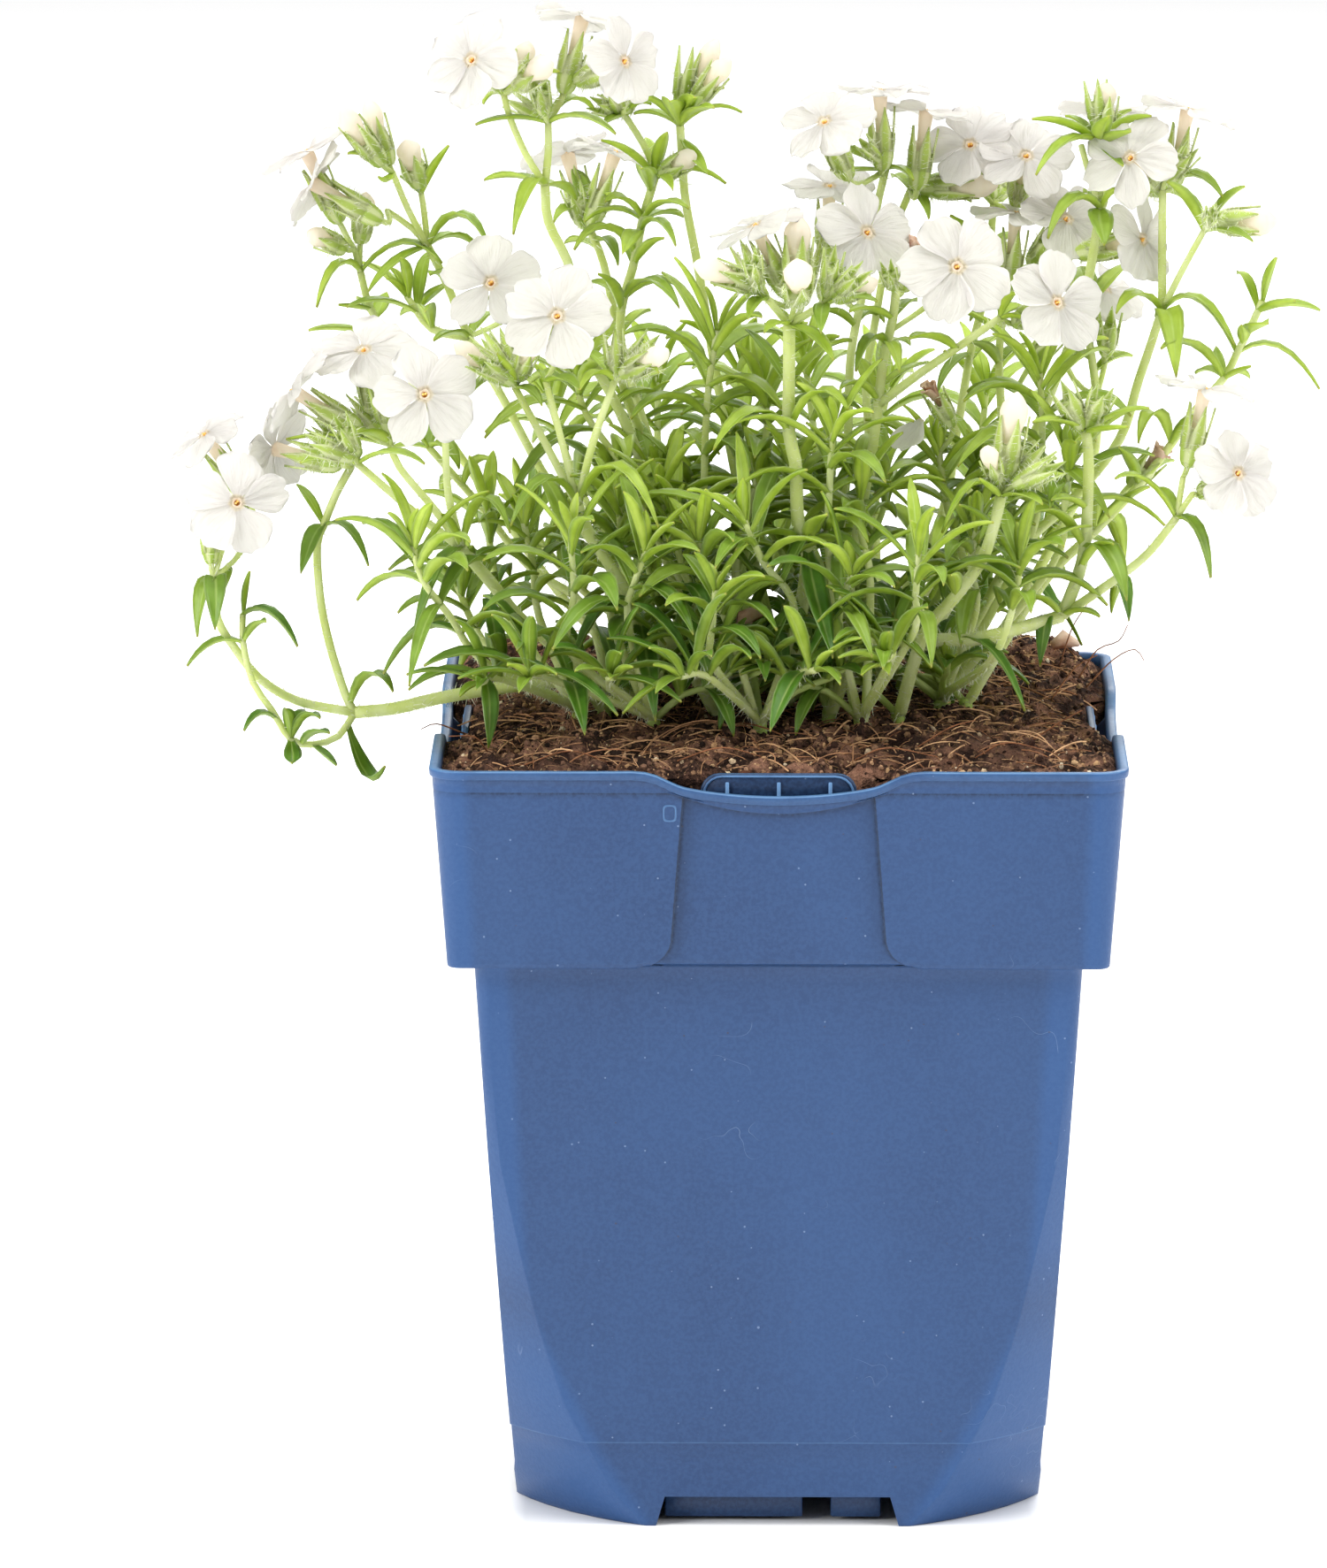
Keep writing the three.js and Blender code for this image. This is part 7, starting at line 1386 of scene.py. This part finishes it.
def make_soil():
    """The filling: a lumpy top with room round the label tabs, on a block that fills the pot. Returns the
    square grid of the top's points."""
    form = Form()
    breaks = np.linspace(-SOIL_HALF, SOIL_HALF, SOIL_CELLS + 1)
    for wanted in (-SLOT_HALF, SLOT_HALF, -SLOT_FROM, SLOT_FROM):
        breaks[np.argmin(np.abs(breaks - wanted))] = wanted
    n = len(breaks)
    x, y = np.meshgrid(breaks, breaks)
    bumps = np.random.default_rng(7).normal(0, 0.75, (n, n))
    bumps = (bumps + np.roll(bumps, 1, 0) + np.roll(bumps, 1, 1) + np.roll(bumps, (1, 1), (0, 1))) / 2
    z = soil_height(x, y) + bumps * (np.maximum(abs(x), abs(y)) < 52)
    for across, deep in ((x, y), (y, x)):
        z = np.where((np.abs(across) <= SLOT_HALF + 0.1) & (np.abs(deep) > SLOT_FROM), SLOT_FLOOR, z)
    # the four corners are drawn in to rounds
    core = SOIL_HALF - SOIL_CORNER
    over = (np.abs(x) > core) & (np.abs(y) > core)
    dx, dy = np.abs(x) - core, np.abs(y) - core
    reach = np.maximum(np.hypot(dx, dy), 1e-6)
    pull = np.where(over, np.minimum(1, np.maximum(dx, dy) / reach), 1)
    x = np.where(over, np.sign(x) * (core + dx * pull), x)
    y = np.where(over, np.sign(y) * (core + dy * pull), y)
    x, y = (np.where(np.abs(y) < BACKING_HALF, np.clip(x, -BACKING_FACE, BACKING_FACE), x),
            np.where(np.abs(x) < BACKING_HALF, np.clip(y, -BACKING_FACE, BACKING_FACE), y))
    top = np.stack([x, y, z], axis=-1)
    first = form.add_points(top.reshape(-1, 3), np.zeros((n * n, 3)))
    grid = first + np.arange(n * n).reshape(n, n)
    form.add_faces(grid_faces(grid).reshape(-1, 4), soil_peat)
    above = np.concatenate([grid[0, :-1], grid[:-1, -1], grid[-1, :0:-1], grid[:0:-1, 0]])
    edge = top.reshape(-1, 3)[above - first]
    for z_now, half_now, cut in SOIL_SKIRT:
        at = edge[:, :2] * half_now / SOIL_HALF
        at = at * np.minimum(1, cut / np.hypot(at[:, 0], at[:, 1]))[:, None]
        now = form.add_points(np.column_stack([at, np.full(len(at), z_now)]), np.zeros((len(at), 3)))
        below = now + np.arange(len(at))
        form.add_faces(wall_faces(np.vstack([below, above])).reshape(-1, 4), soil_peat)
        above = below
    middle = np.full(len(above), form.add_points(np.array([[0, 0, SOIL_FOOT]]), np.zeros((1, 3))))
    form.add_faces(np.stack([np.roll(above, -1), above, middle], axis=-1), soil_peat)
    form.piece("soil_filling", "potting_soil", "soil")
    return top


# Root fibres that stand out of the soil or hang over the rim
STRAY_ROOTS = """
50,18,125.5 54.5,19,130 58,20,131.5 59.5,21,129.5 / 49,24,126 52,25,130.5 55.5,25,132 57,26,134.5 /
46,30,127 48,31,133 50.5,31.5,137 / -50,-22,125 -54.5,-24,127 -57,-26,126.5 / -46,-38,125 -48,-41,128
-52,-43,128.5 / -40,-46,124.5 -33,-47.5,127 -27,-46,125 / -16,-45,125 -9,-47,127.5 -2,-45,125.5 / 12,-44,125
17,-47,127.5 25,-46.5,126 / 31,-42,125 36,-45,128 44,-44,126 / 40,-30,125.5 45,-31,129 48,-33,131 /
22,-38,126 27,-40,129.5 31,-39,130.5 / 44,4,126 48,6,131 51.5,6,133
"""


def make_soil_bits(top):
    """Crumbs and root fibres over the soil's top."""
    def patch(border):
        """The soil's top without the given number of cells along its edges, and without the tabs' slots."""
        keep = top[border:-border, border:-border]
        n = len(keep)
        quads = grid_faces(np.arange(n * n).reshape(n, n)).reshape(-1, 4)
        level = keep.reshape(-1, 3)[quads][..., 2].min(axis=1) > SLOT_FLOOR + 1
        mesh = bpy.data.meshes.new("soil_top")
        mesh.from_pydata((keep.reshape(-1, 3) * MM).tolist(), [], quads[level].tolist())
        return mesh

    crumbs = run_tree(crumb_tree, patch(1), Density=620000.0, Least=0.0002, Most=0.00085, Flatness=0.75,
                      Seed=3, Finish=soil_crumb)
    settle("soil_crumbs", crumbs, "potting_soil")
    fibres = run_tree(fibre_tree, patch(4), Density=170000.0, Least=0.0022, Most=0.0105, Flatness=1.0, Seed=5,
                      Finish=root_fibre)
    settle("soil_fibres", fibres, "potting_soil")
    form = Form()
    for row in STRAY_ROOTS.split("/"):
        path = smooth_path([value_of(word) for word in row.split()], 1.2)
        rings = rings_along(path, np.linspace(0.16, 0.08, len(path)), 5)
        form.loft(rings, ring_lays(len(path), 5, 0), root_fibre)
    form.piece("soil_stray_roots", "potting_soil")


make_soil_bits(make_soil())

# ---------------------------------------------------------------- plant

# Where a plant leaves the soil: the crown that its stems come from
CROWN_RADIUS = 1.7
CROWN_FOOT = 114
CROWN_TOP = 128.4
CROWN_SPREAD = 0.8
SHOOT_FOOT = 127.5
CALYX_RADIUS = 2
CALYX_LENGTH = 9.5
FLOWER_DEPTH = 13
STEM_STEP = 2.2

# A blade's eight points round: place across, rise on its halves' slope, and how far they lie under it
BLADE_PLACES = np.array([-1, -0.55, 0, 0.55, 1, 0.5, 0, -0.5])
BLADE_SLOPE = np.array([1, 0.72, 0, 0.72, 1, 0.6, 0, 0.6])
BLADE_UNDER = np.array([0, 0, 0, 0, 0, 0.8, 1.25, 0.8])
# How much paler a blade is at these points: its underside is lighter
UNDERSIDE = np.array([0, 0, 0, 0, 0, 0.4, 0.4, 0.4])
LEAF_SHARES = np.array([0, 0.07, 0.18, 0.33, 0.5, 0.66, 0.8, 0.91, 1])
LEAF_WIDTHS = np.array([0.36, 0.46, 0.72, 0.96, 1, 0.88, 0.62, 0.34, 0.05])
LEAF_THICK = 0.3
# Leaf tips keep a little inside the solids' box
LEAST, MOST = (np.array(corner) / MM + pad for corner, pad in zip(cad_box, (0.5, -0.5)))


def blade(form, line, across, widths, fold, thick, tint, finish, along=(0.0, 1.0)):
    """A thin closed blade along a line: its halves slope up from the middle by fold, with a keel below."""
    line = np.asarray(line, float)
    k = len(line)
    way = np.gradient(line, axis=0)
    way /= np.linalg.norm(way, axis=1)[:, None]
    across = np.broadcast_to(across, (k, 3))
    across = across - way * np.sum(across * way, axis=1)[:, None]
    across = across / np.linalg.norm(across, axis=1)[:, None]
    up = np.cross(across, way)
    half = (np.asarray(widths) / 2)[:, None, None]
    rise, under = fold * BLADE_SLOPE, BLADE_UNDER * thick
    rings = (line[:, None] + across[:, None] * half * BLADE_PLACES[None, :, None]
             + up[:, None] * (half * rise[None, :, None] - under[None, :, None]))
    lays = ring_lays(k, 8, np.clip(tint + UNDERSIDE, 0, 1), along)
    lays[..., 0] = np.abs(BLADE_PLACES) / 2 if finish is calyx_ribbed else (BLADE_PLACES + 1) / 2
    form.loft(rings, lays, finish, "strip")


def leaf(form, width, arch, root, tip, tint, chance):
    """An arching pointed leaf from its root on a stem to its tip."""
    root, tip = np.array(root, float), np.clip(np.array(tip, float), LEAST, MOST)
    if max(abs(tip[0]), abs(tip[1])) < SOIL_HALF - 0.2:
        tip[2] = max(tip[2], soil_height(tip[0], tip[1]) + 0.7)
    bend = (root + tip) / 2 + UP * 2 * arch
    out = (tip - root) * [1, 1, 0]
    if out.dot(out) < 0.04:
        out = np.array([0.0, -1.0, 0.0])
    side = np.cross(unit(out), UP)
    length = np.linalg.norm(tip - root)
    sway = side * 0.035 * length * (chance() - 0.5)
    line = bent_line(root, bend, tip, LEAF_SHARES) + sway * np.sin(np.pi * LEAF_SHARES[:, None]) * 2
    twist = (chance() - 0.5) * 0.9
    way = unit(tip - root)
    lift = np.cross(side, way)
    turned = [outward((side, lift), angle) for angle in twist * LEAF_SHARES]
    fold = 0.25 + 0.3 * chance()
    blade(form, line, np.array(turned), LEAF_WIDTHS * width, fold, LEAF_THICK, tint, leaf_green)


def measured(foot, tip):
    """What a calyx or a bud is built on: its foot, the direction of its tip, two sides and its length."""
    foot, tip = np.array(foot, float), np.array(tip, float)
    axis = unit(tip - foot)
    return foot, axis, crossways(axis), np.linalg.norm(tip - foot)


def calyx(form, foot, tip, size, tint, share_open, flare):
    """Five ribs joined by thin skin, which part into five pointed teeth."""
    foot, axis, sides, length = measured(foot, tip)
    radius = CALYX_RADIUS * size
    shares = [0, 0.03, 0.1, 0.22, 0.38, 0.52, share_open]
    widths = [0.26, 0.55, 0.78, 0.92, 1, 1, 0.97]
    turns = even_turns(20)
    ribs = 1 + 0.07 * np.cos(5 * turns)
    around = circle(sides, turns)
    rings = [foot + axis * s * length + around * (radius * w * ribs)[:, None] for s, w in zip(shares, widths)]
    lays = ring_lays(len(rings), 20, tint, (0, share_open))
    lays[..., 0] = 0.5 - np.abs(np.arange(20) % 4 / 4 - 0.5)
    form.loft(rings, lays, calyx_ribbed)
    # each tooth's line and width, as shares of the length and of the radius
    steps = [0.3, share_open, share_open + (1 - share_open) * 0.5, 1.0]
    reach = np.array([0.86, 0.94, 1.0 + 0.1 * flare, 1.0 + 0.3 * flare]) * radius
    widths = np.array([0.9, 1.0, 0.55, 0.06]) * radius * 1.12
    for i in range(5):
        out = outward(sides, 2 * math.pi * i / 5)
        line = [foot + axis * s * length + out * r for s, r in zip(steps, reach)]
        blade(form, line, -np.cross(axis, out), widths, -0.12, 0.28, tint, calyx_ribbed, (0.3, 1.0))


def stalk(form, start, foot, axis, tint):
    """The stalk between a stem and the foot of a calyx."""
    reach = np.linalg.norm(foot - start)
    if reach < 0.6:
        return
    path = bent_line(start, foot - axis * 0.4 * reach, foot, np.linspace(0, 1, 6))
    path[-1] = foot + axis * 0.3
    rings = rings_along(path, np.linspace(0.42, 0.5, 6), 7)
    form.loft(rings, ring_lays(6, 7, tint), stem_green)


def bud(form, foot, tip, size, tint, chance):
    """A furled flower that swells above its calyx and ends in a twisted point."""
    foot, axis, sides, length = measured(foot, tip)
    calyx(form, foot, foot + axis * length * 0.74, size * 0.92, tint, 0.55, 0.15)
    shares = [0.35, 0.48, 0.58, 0.67, 0.76, 0.84, 0.91, 0.96, 1]
    widths = [0.5, 0.62, 0.78, 0.93, 1, 0.9, 0.62, 0.38, 0.08]
    turns = even_turns(15)
    lean = chance() * 6
    rings = []
    for s, w in zip(shares, widths):
        swell = 1 + 0.07 * np.cos(5 * turns + 4 * s + lean)
        rings.append(foot + axis * s * length + circle(sides, turns) * (1.85 * size * w * swell)[:, None])
    form.loft(rings, ring_lays(len(rings), 15, 0.75 + 0.25 * chance()), petal_cream)


def wilted(form, foot, tip, size, tint, chance):
    """A withered flower: its lobes hang twisted from the calyx."""
    foot, axis, sides, length = measured(foot, tip)
    calyx(form, foot, foot + axis * length * 0.75, size * 0.9, tint, 0.6, 0.2)
    for i in range(5):
        out = outward(sides, 2 * math.pi * (i + chance()) / 5)
        spread = 0.5 + 1.1 * chance()
        line = [foot + axis * length * 0.45, foot + axis * length * 0.7 + out * 0.5 * spread * size,
                foot + axis * length * 0.9 + out * 1.2 * spread * size,
                foot + axis * length * (1.02 - 0.1 * chance()) + out * (1.7 * spread * size)]
        line[-1] = line[-1] - UP * 0.8 * chance()
        widths = np.array([1.0, 1.9, 2.3, 0.7]) * size
        blade(form, line, -np.cross(axis, out), widths, 0.5 * chance(), 0.22, chance(), petal_wilted)


# A lobe from its throat to its end: how far along, and how wide
LOBE_SHARES = np.array([0, 0.08, 0.2, 0.34, 0.48, 0.62, 0.74, 0.84, 0.92, 0.985, 1])
LOBE_WIDTHS = np.array([0.085, 0.115, 0.2, 0.3, 0.385, 0.445, 0.47, 0.46, 0.42, 0.35, 0.33])
# Its points across, over the face and back under it
ACROSS = np.array([-0.97, -0.76, -0.5, -0.25, 0, 0.25, 0.5, 0.76, 0.97])
LOBE_PLACES = np.array([-1, *ACROSS, 1, *-ACROSS])
LOBE_UNDER = np.array([0] * 11 + [1] * 9)
LOBE_THICK = 0.14
# The tube and the eye from the tube's foot: [rise from the face, radius]
TUBE_RINGS = [(-9.2, 0.75), (-6, 0.85), (-3, 1.0), (-1.2, 1.15), (-0.35, 1.15), (-0.1, 0.9), (-0.15, 0.6),
              (-0.5, 0.45), (-1.3, 0.35)]
ANTHER_RINGS = [(-0.8, 0.1), (-0.25, 0.2), (0.0, 0.2), (0.2, 0.06)]


def lobe(form, middle, axis, out, radius, sweep, chance):
    """One of a flower's five lobes: narrow at the throat, broad and faintly notched at its end. Its right
    edge lies over the next lobe's left edge."""
    side = np.cross(axis, out)
    notch = radius * (0.025 + 0.075 * chance())
    size = radius * (0.93 + 0.07 * chance())
    off = 0.16 * (chance() - 0.5)
    s = LOBE_PLACES
    ragged = radius * (0.014 * np.sin(11 * s + 6 * chance()) + 0.016 * np.sin(6 * s + 6 * chance()))
    ends = size - notch * np.exp(-((s - 1.5 * off) / 0.25) ** 2) - 0.15 * radius * np.abs(s) ** 3 + ragged
    start = 0.09 * radius
    t = LOBE_SHARES[:, None]
    reach = start + (ends[None, :] - start) * t
    skew = off * radius * t ** 2
    uneven = 1 + 0.05 * np.sin(7 * t + 6 * chance()) * np.sign(s)[None, :]
    broad = LOBE_WIDTHS[:, None] * radius * (0.76 + 0.3 * chance()) * s[None, :] * uneven + skew
    pleat = (0.015 + 0.03 * chance()) * radius
    fine = 0.03 * radius * np.cos(4 * np.pi * s + 6 * chance())
    tilt = (0.05 + 0.08 * chance()) * radius
    curl = 0.12 * radius * (chance() - 0.5)
    lift = (sweep * t ** 1.6 - pleat * np.cos(np.pi * s)[None, :] * np.sin(np.pi * np.minimum(t * 0.8, 1))
            + tilt * s[None, :] * t - curl * (s[None, :] ** 2) * t + fine[None, :] * np.sin(np.pi * t * 0.9)
            + 0.015 * radius * np.sin(8 * t + 5 * s[None, :] + 6 * chance()))
    lift = lift - LOBE_UNDER[None, :] * LOBE_THICK
    rings = middle + reach[..., None] * out + broad[..., None] * side + lift[..., None] * axis
    lays = np.empty(rings.shape)
    lays[..., 0] = (s + 1) / 2
    lays[..., 1] = t
    lays[..., 2] = chance()
    form.loft(rings, lays, petal_white, "strip")


def flower(form, middle, facing, radius, turn):
    """Five spread lobes on the tube that stands in the calyx."""
    middle = np.array(middle, float)
    axis = unit(np.array(facing, float))
    sides = crossways(axis)
    chance = draws(round(1000 + 37 * middle[0] + 91 * middle[2]))
    droop = -0.12 * radius * chance()
    for i in range(5):
        sway = 8 * (chance() - 0.5)
        out = ring_point(np.zeros(3), sides, 1.0, 72 * i + turn + sway)
        lobe(form, middle, axis, out, radius, droop + 0.16 * radius * (chance() - 0.6), chance)
    around = circle(sides, even_turns(10))
    rings = [middle + axis * lift + around * r for lift, r in TUBE_RINGS]
    own = [petal_cream] * 7 + [anther_orange]
    form.loft(rings, ring_lays(len(rings), 10, 0.35), petal_cream, ring_finish=own)
    for i in range(2):
        spot = ring_point(middle, sides, 0.2, 180 * i + 70 * chance())
        rings = [spot + axis * lift + around[::2] * r for lift, r in ANTHER_RINGS]
        form.loft(rings, ring_lays(4, 5, 0.5), anther_orange)


def sunk(crown, points):
    """A stem's points, with its foot sunk in the crown, a little to the side that it leaves by."""
    first, after = np.array(points[0], float), np.array(points[1], float)
    if math.dist(first[:2], crown) > CROWN_RADIUS or first[2] > CROWN_TOP + 0.5:
        return points
    away = unit(after[:2] - crown) * CROWN_SPREAD
    foot = [*(crown + away / 2), CROWN_TOP - 1.5]
    return [foot, [*(crown + away), CROWN_TOP], *points[1:]]


def grow_stems(form, lines, tint):
    """Sweeps the stems of one plant; lines are [radius at foot, radius at end, points]."""
    points, edges, thick, lays = [], [], [], []
    for start, end, path in lines:
        edges += [(i, i + 1) for i in range(len(points), len(points) + len(path) - 1)]
        points += path.tolist()
        share = np.linspace(0, 1, len(path))
        thick += (start + (end - start) * share).tolist()
        lays += [(0, s, tint) for s in share]
    mesh = bpy.data.meshes.new("lines")
    mesh.from_pydata((np.array(points) * MM).tolist(), edges, [])
    mesh.attributes.new("thick", "FLOAT", "POINT").data.foreach_set("value", np.array(thick) * MM)
    lay = mesh.attributes.new("lay", "FLOAT_VECTOR", "POINT")
    lay.data.foreach_set("vector", np.array(lays, float).ravel())
    form.add_mesh(run_tree(stem_tree, mesh, Sides=8, Finish=stem_green), stem_green)


def nearest(spots, point):
    return spots[np.argmin(np.sum((spots - np.array(point, float)) ** 2, axis=1))]


def height_tint(z, chance):
    """Leaves are lighter towards the top of the plant: younger there, and painted shade darkens the low ones.
    """
    return float(np.clip(min((z - 133) / 48, 0.62) + 0.5 * (chance() - 0.5), 0, 1))


# A shoot's leaves by row, from its tip down: how long, how upright, how wide and how much paler they are
ROW_LENGTH = [0.92, 1.05, 1.12, 1.1, 1.05, 0.95, 0.9]
ROW_RISE = [0.9, 0.62, 0.38, 0.2, 0.08, 0, 0]
ROW_WIDTH = [0.66, 0.82, 0.94, 1, 1, 1, 1]
ROW_FRESH = [0.3, 0.1, -0.05, -0.05, -0.05, -0.05, -0.05]
TOP_PAIR_AT = 0.96
LOWEST_PAIR_AT = 0.16
FIRST_GAP = 2.6
WIDEST_GAP = 9
# Leaves below this height spread widely, and most of them are kept from dipping
LOW_LEAVES = 142


def shoot_leaves(form, pairs, length, points, seed, shade=0.0):
    """Pairs of leaves, each turned a quarter from the one below, closer and more upright towards the tip."""
    chance = draws(seed)
    turn = 180 * chance() + 90 * (pairs - 1)
    total = sum(math.dist(a, b) for a, b in zip(points, points[1:]))
    share, gap = TOP_PAIR_AT, FIRST_GAP
    for row in range(int(pairs) + 3):
        if share < LOWEST_PAIR_AT:
            break
        root, way = curve_at(points, share), curve_direction(points, share)
        sides = crossways(way)
        like = min(row, 6)
        for side in range(2):
            way_out = turn + 180 * side + 30 * (chance() - 0.5)
            tilt = ROW_RISE[like] + (0.7 if root[2] < LOW_LEAVES else 0.25) * (chance() - 0.5)
            size = length * (0.9 + 0.3 * chance()) * ROW_LENGTH[like]
            tip = ring_point(root, sides, size * math.cos(tilt), way_out) + way * size * math.sin(tilt)
            if root[2] < LOW_LEAVES and tip[2] < root[2] and chance() < 0.65:
                tip[2] = 2 * root[2] - tip[2]
            width = (2.9 + 1.1 * chance()) * ROW_WIDTH[like]
            droop = 0 if row < 2 else 0.06 * size * row * chance()
            fresh = ROW_FRESH[like] * min((root[2] - 124) / 40, 1)
            # the tint is lighter up the plant and at young rows, and less by shade, which is painted shade
            # for shoots deep in the plant
            tint = float(np.clip(height_tint(root[2], chance) + fresh - shade, 0, 1))
            leaf(form, width, (0.1 + 0.03 * row) * size, root, tip - UP * droop, tint, chance)
        share -= gap / total
        gap = min(gap * 1.32, WIDEST_GAP)
        turn += 90
    # two half-grown leaves at the very tip
    root, way = curve_at(points, 1.0), curve_direction(points, 1.0)
    size = length * 0.5
    for side in range(2):
        out = ring_point(np.zeros(3), crossways(way), 1.0, turn + 45 + 180 * side)
        tint = min(height_tint(root[2], chance) + 0.4, 1)
        leaf(form, 2.1, 0.08 * size, root, root + out * size * 0.35 + way * size * 0.9, tint, chance)


def dressed(name, plant, index):
    """All the green of one CAD node: its stems, leaves, calyces and buds, with their furled flowers."""
    form = Form()
    crown = np.array(plant["crown"])
    stems, shoots = plant.get("stems", []), plant.get("shoots", [])
    lines = [(a * 1.15, b * 1.12, smooth_path(sunk(crown, points), STEM_STEP)) for a, b, *points in stems]
    lines += [(0.78, 0.52, smooth_path(sunk(crown, points), STEM_STEP)) for _, _, *points in shoots]
    foot = np.array([[*crown, CROWN_FOOT + 4], [*crown, CROWN_TOP - 1], [*crown, CROWN_TOP]])
    grow_stems(form, lines, 0.75)
    # the crown's stub is dark: painted shade where it leaves the soil under the leaves
    grow_stems(form, [(1.3, 0.9, foot)], 0.1)
    spots = np.vstack([path for _, _, path in lines])
    for row, (width, arch, root, tip) in enumerate(plant.get("leaves", [])):
        chance = draws(7000 + 131 * index + row)
        leaf(form, width * 1.06, arch, nearest(spots, root), tip, height_tint(tip[2], chance), chance)
    for row, (pairs, length, *points) in enumerate(shoots):
        shoot_leaves(form, pairs, length, points, 100 * index + row + 1)
    chance = draws(5000 + index)
    heads = [(kind, *row) for kind in ("calyces", "buds", "wilted") for row in plant.get(kind, [])]
    for kind, size, start, foot, tip in heads:
        foot, axis, _, _ = measured(foot, tip)
        tint = 0.35 + 0.5 * chance()
        stalk(form, nearest(spots, start), foot, axis, 0.6)
        if kind == "calyces":
            calyx(form, foot, tip, size * 0.82, tint, 0.6, 0.35)
        else:
            {"buds": bud, "wilted": wilted}[kind](form, foot, tip, size, tint, chance)
    for _, start, middle, facing, _, _ in plant.get("blooms", []):
        axis = unit(np.array(facing))
        foot = np.array(middle) - axis * FLOWER_DEPTH
        stalk(form, nearest(spots, start), foot, axis, 0.6)
        calyx(form, foot, foot + axis * (CALYX_LENGTH + 0.8), 0.95, 0.35 + 0.5 * chance(), 0.6, 0.3)
    form.piece("green_" + name, "greenery", name)
    grow_hairs("hairs_" + name, form, index)


def grow_hairs(name, form, seed):
    """Fine hairs over the stems, stalks and calyces of a plant."""
    soft = [form.finishes.index(finish) for finish in (stem_green, calyx_ribbed) if finish in form.finishes]
    quads = np.concatenate(form.faces[4])[np.isin(np.concatenate(form.owners[4]), soft)]
    mesh = bpy.data.meshes.new("skin")
    mesh.from_pydata((np.concatenate(form.points) * MM).tolist(), [], quads.tolist())
    hairs = run_tree(hair_tree, mesh, Density=1900000.0, Least=0.0007, Most=0.0019, Flatness=1.0, Seed=seed,
                     Finish=hair_white)
    settle(name, hairs, "greenery")


for index, (name, plant) in enumerate(PLANTS.items()):
    dressed(name, plant, index)

bloom_forms = {}
for plant in PLANTS.values():
    for name, _, middle, facing, radius, turn in plant.get("blooms", []):
        flower(bloom_forms.setdefault(name, Form()), middle, facing, radius, turn)
for name, form in bloom_forms.items():
    form.piece("white_" + name, "petals", name)


def inner_shoots():
    """Short leafy shoots that fill the plant's middle, rooted at the crowns: tall ones and low ones."""
    form = Form()
    chance = draws(4242)
    crowns = [np.array(plant["crown"]) for plant in PLANTS.values()]
    lines, leafy = [], []

    def grow(points, radii, *leaves):
        lines.append((*radii, smooth_path(points, 3)))
        leafy.append((points, *leaves))

    for _ in range(17):
        crown = crowns[int(chance() * len(crowns))]
        end = np.array([-52 + 100 * chance(), -26 + 54 * chance(), 138 + 26 * chance()])
        end[:2] = crown + (end[:2] - crown) * 0.55
        start = np.array([*crown, SHOOT_FOOT])
        knee = (start + end) / 2 + np.array([*(end[:2] - crown) * 0.12, -3])
        lean = end + np.array([*(end[:2] - crown) * 0.02, 5 + 4 * chance()])
        grow([start, knee, end, lean], (0.7, 0.48), 9 + 4 * chance(), 3, 0.15)
    for i in range(30):
        crown = crowns[i % len(crowns)]
        turn = 2 * math.pi * chance()
        out = np.array([math.cos(turn), math.sin(turn), 0.0])
        reach = 7 + 8 * chance()
        end = np.clip(np.array([*crown, 0.0]) + out * reach, -46, 46) + UP * (131.5 + 5 * chance())
        start = np.array([*crown, SHOOT_FOOT])
        points = [start, (start + end) / 2 + UP * 1.5, end, end + out * 3 + UP * 2.5]
        grow(points, (0.6, 0.45), 8 + 4 * chance(), 1, 0.1)
    grow_stems(form, lines, 0.3)
    for i, (points, length, pairs, shade) in enumerate(leafy):
        shoot_leaves(form, pairs, length, points, 9000 + i, shade)
    form.piece("green_inner_shoots", "greenery")


inner_shoots()


def withered_bits():
    """Withered flowers, a dry leaf, a fallen petal and a scrap of dry leaf on the soil."""
    form = Form()
    chance = draws(77)
    for foot, tip in (([56, -8, 163], [59.5, -9, 167]), ([40.5, -2, 182], [42.5, -4, 185])):
        foot, axis, _, _ = measured(foot, tip)
        stalk(form, foot - axis * 5 - UP, foot, axis, 0.6)
        wilted(form, foot, foot + axis * 9, 1.0, 0.6, chance)
    across = np.array([0.3, 0.0, 1.0])
    line = [[-7, -14, 140.5], [-5.5, -14.5, 142], [-3.5, -13, 142.8], [-2, -10, 142.5]]
    blade(form, line, across, [1.2, 3.4, 3.0, 0.6], 0.4, 0.25, 0.9, petal_wilted)
    line = [[45, 39, 128.6], [47, 39.5, 129.6], [49.5, 40, 128.8]]
    blade(form, line, across, [1.5, 3.2, 0.9], 0.5, 0.4, 0.2, petal_wilted)
    form.piece("withered_bits", "greenery")
    petal = Form()
    out = unit(np.array([-0.5, -0.3, -0.8]))
    axis = unit(np.cross(out, [0.9, -0.6, 0.1]))
    lobe(petal, np.array([23.0, -12, 175]), axis, out, 7.5, 1.2, chance)
    petal.piece("petal_fallen", "petals")


withered_bits()

# ---------------------------------------------------------------- floor and finish

FLOOR_REACH = 6
floor_mesh = bpy.data.meshes.new("floor")
corners = [(x * FLOOR_REACH, y * FLOOR_REACH, 0) for x, y in ((-1, -1), (1, -1), (1, 1), (-1, 1))]
floor_mesh.from_pydata(corners, [], [(0, 1, 2, 3)])
floor_mesh.materials.append(floor_pale)
floor = bpy.data.objects.new("floor", floor_mesh)
scene.collection.objects.link(floor)
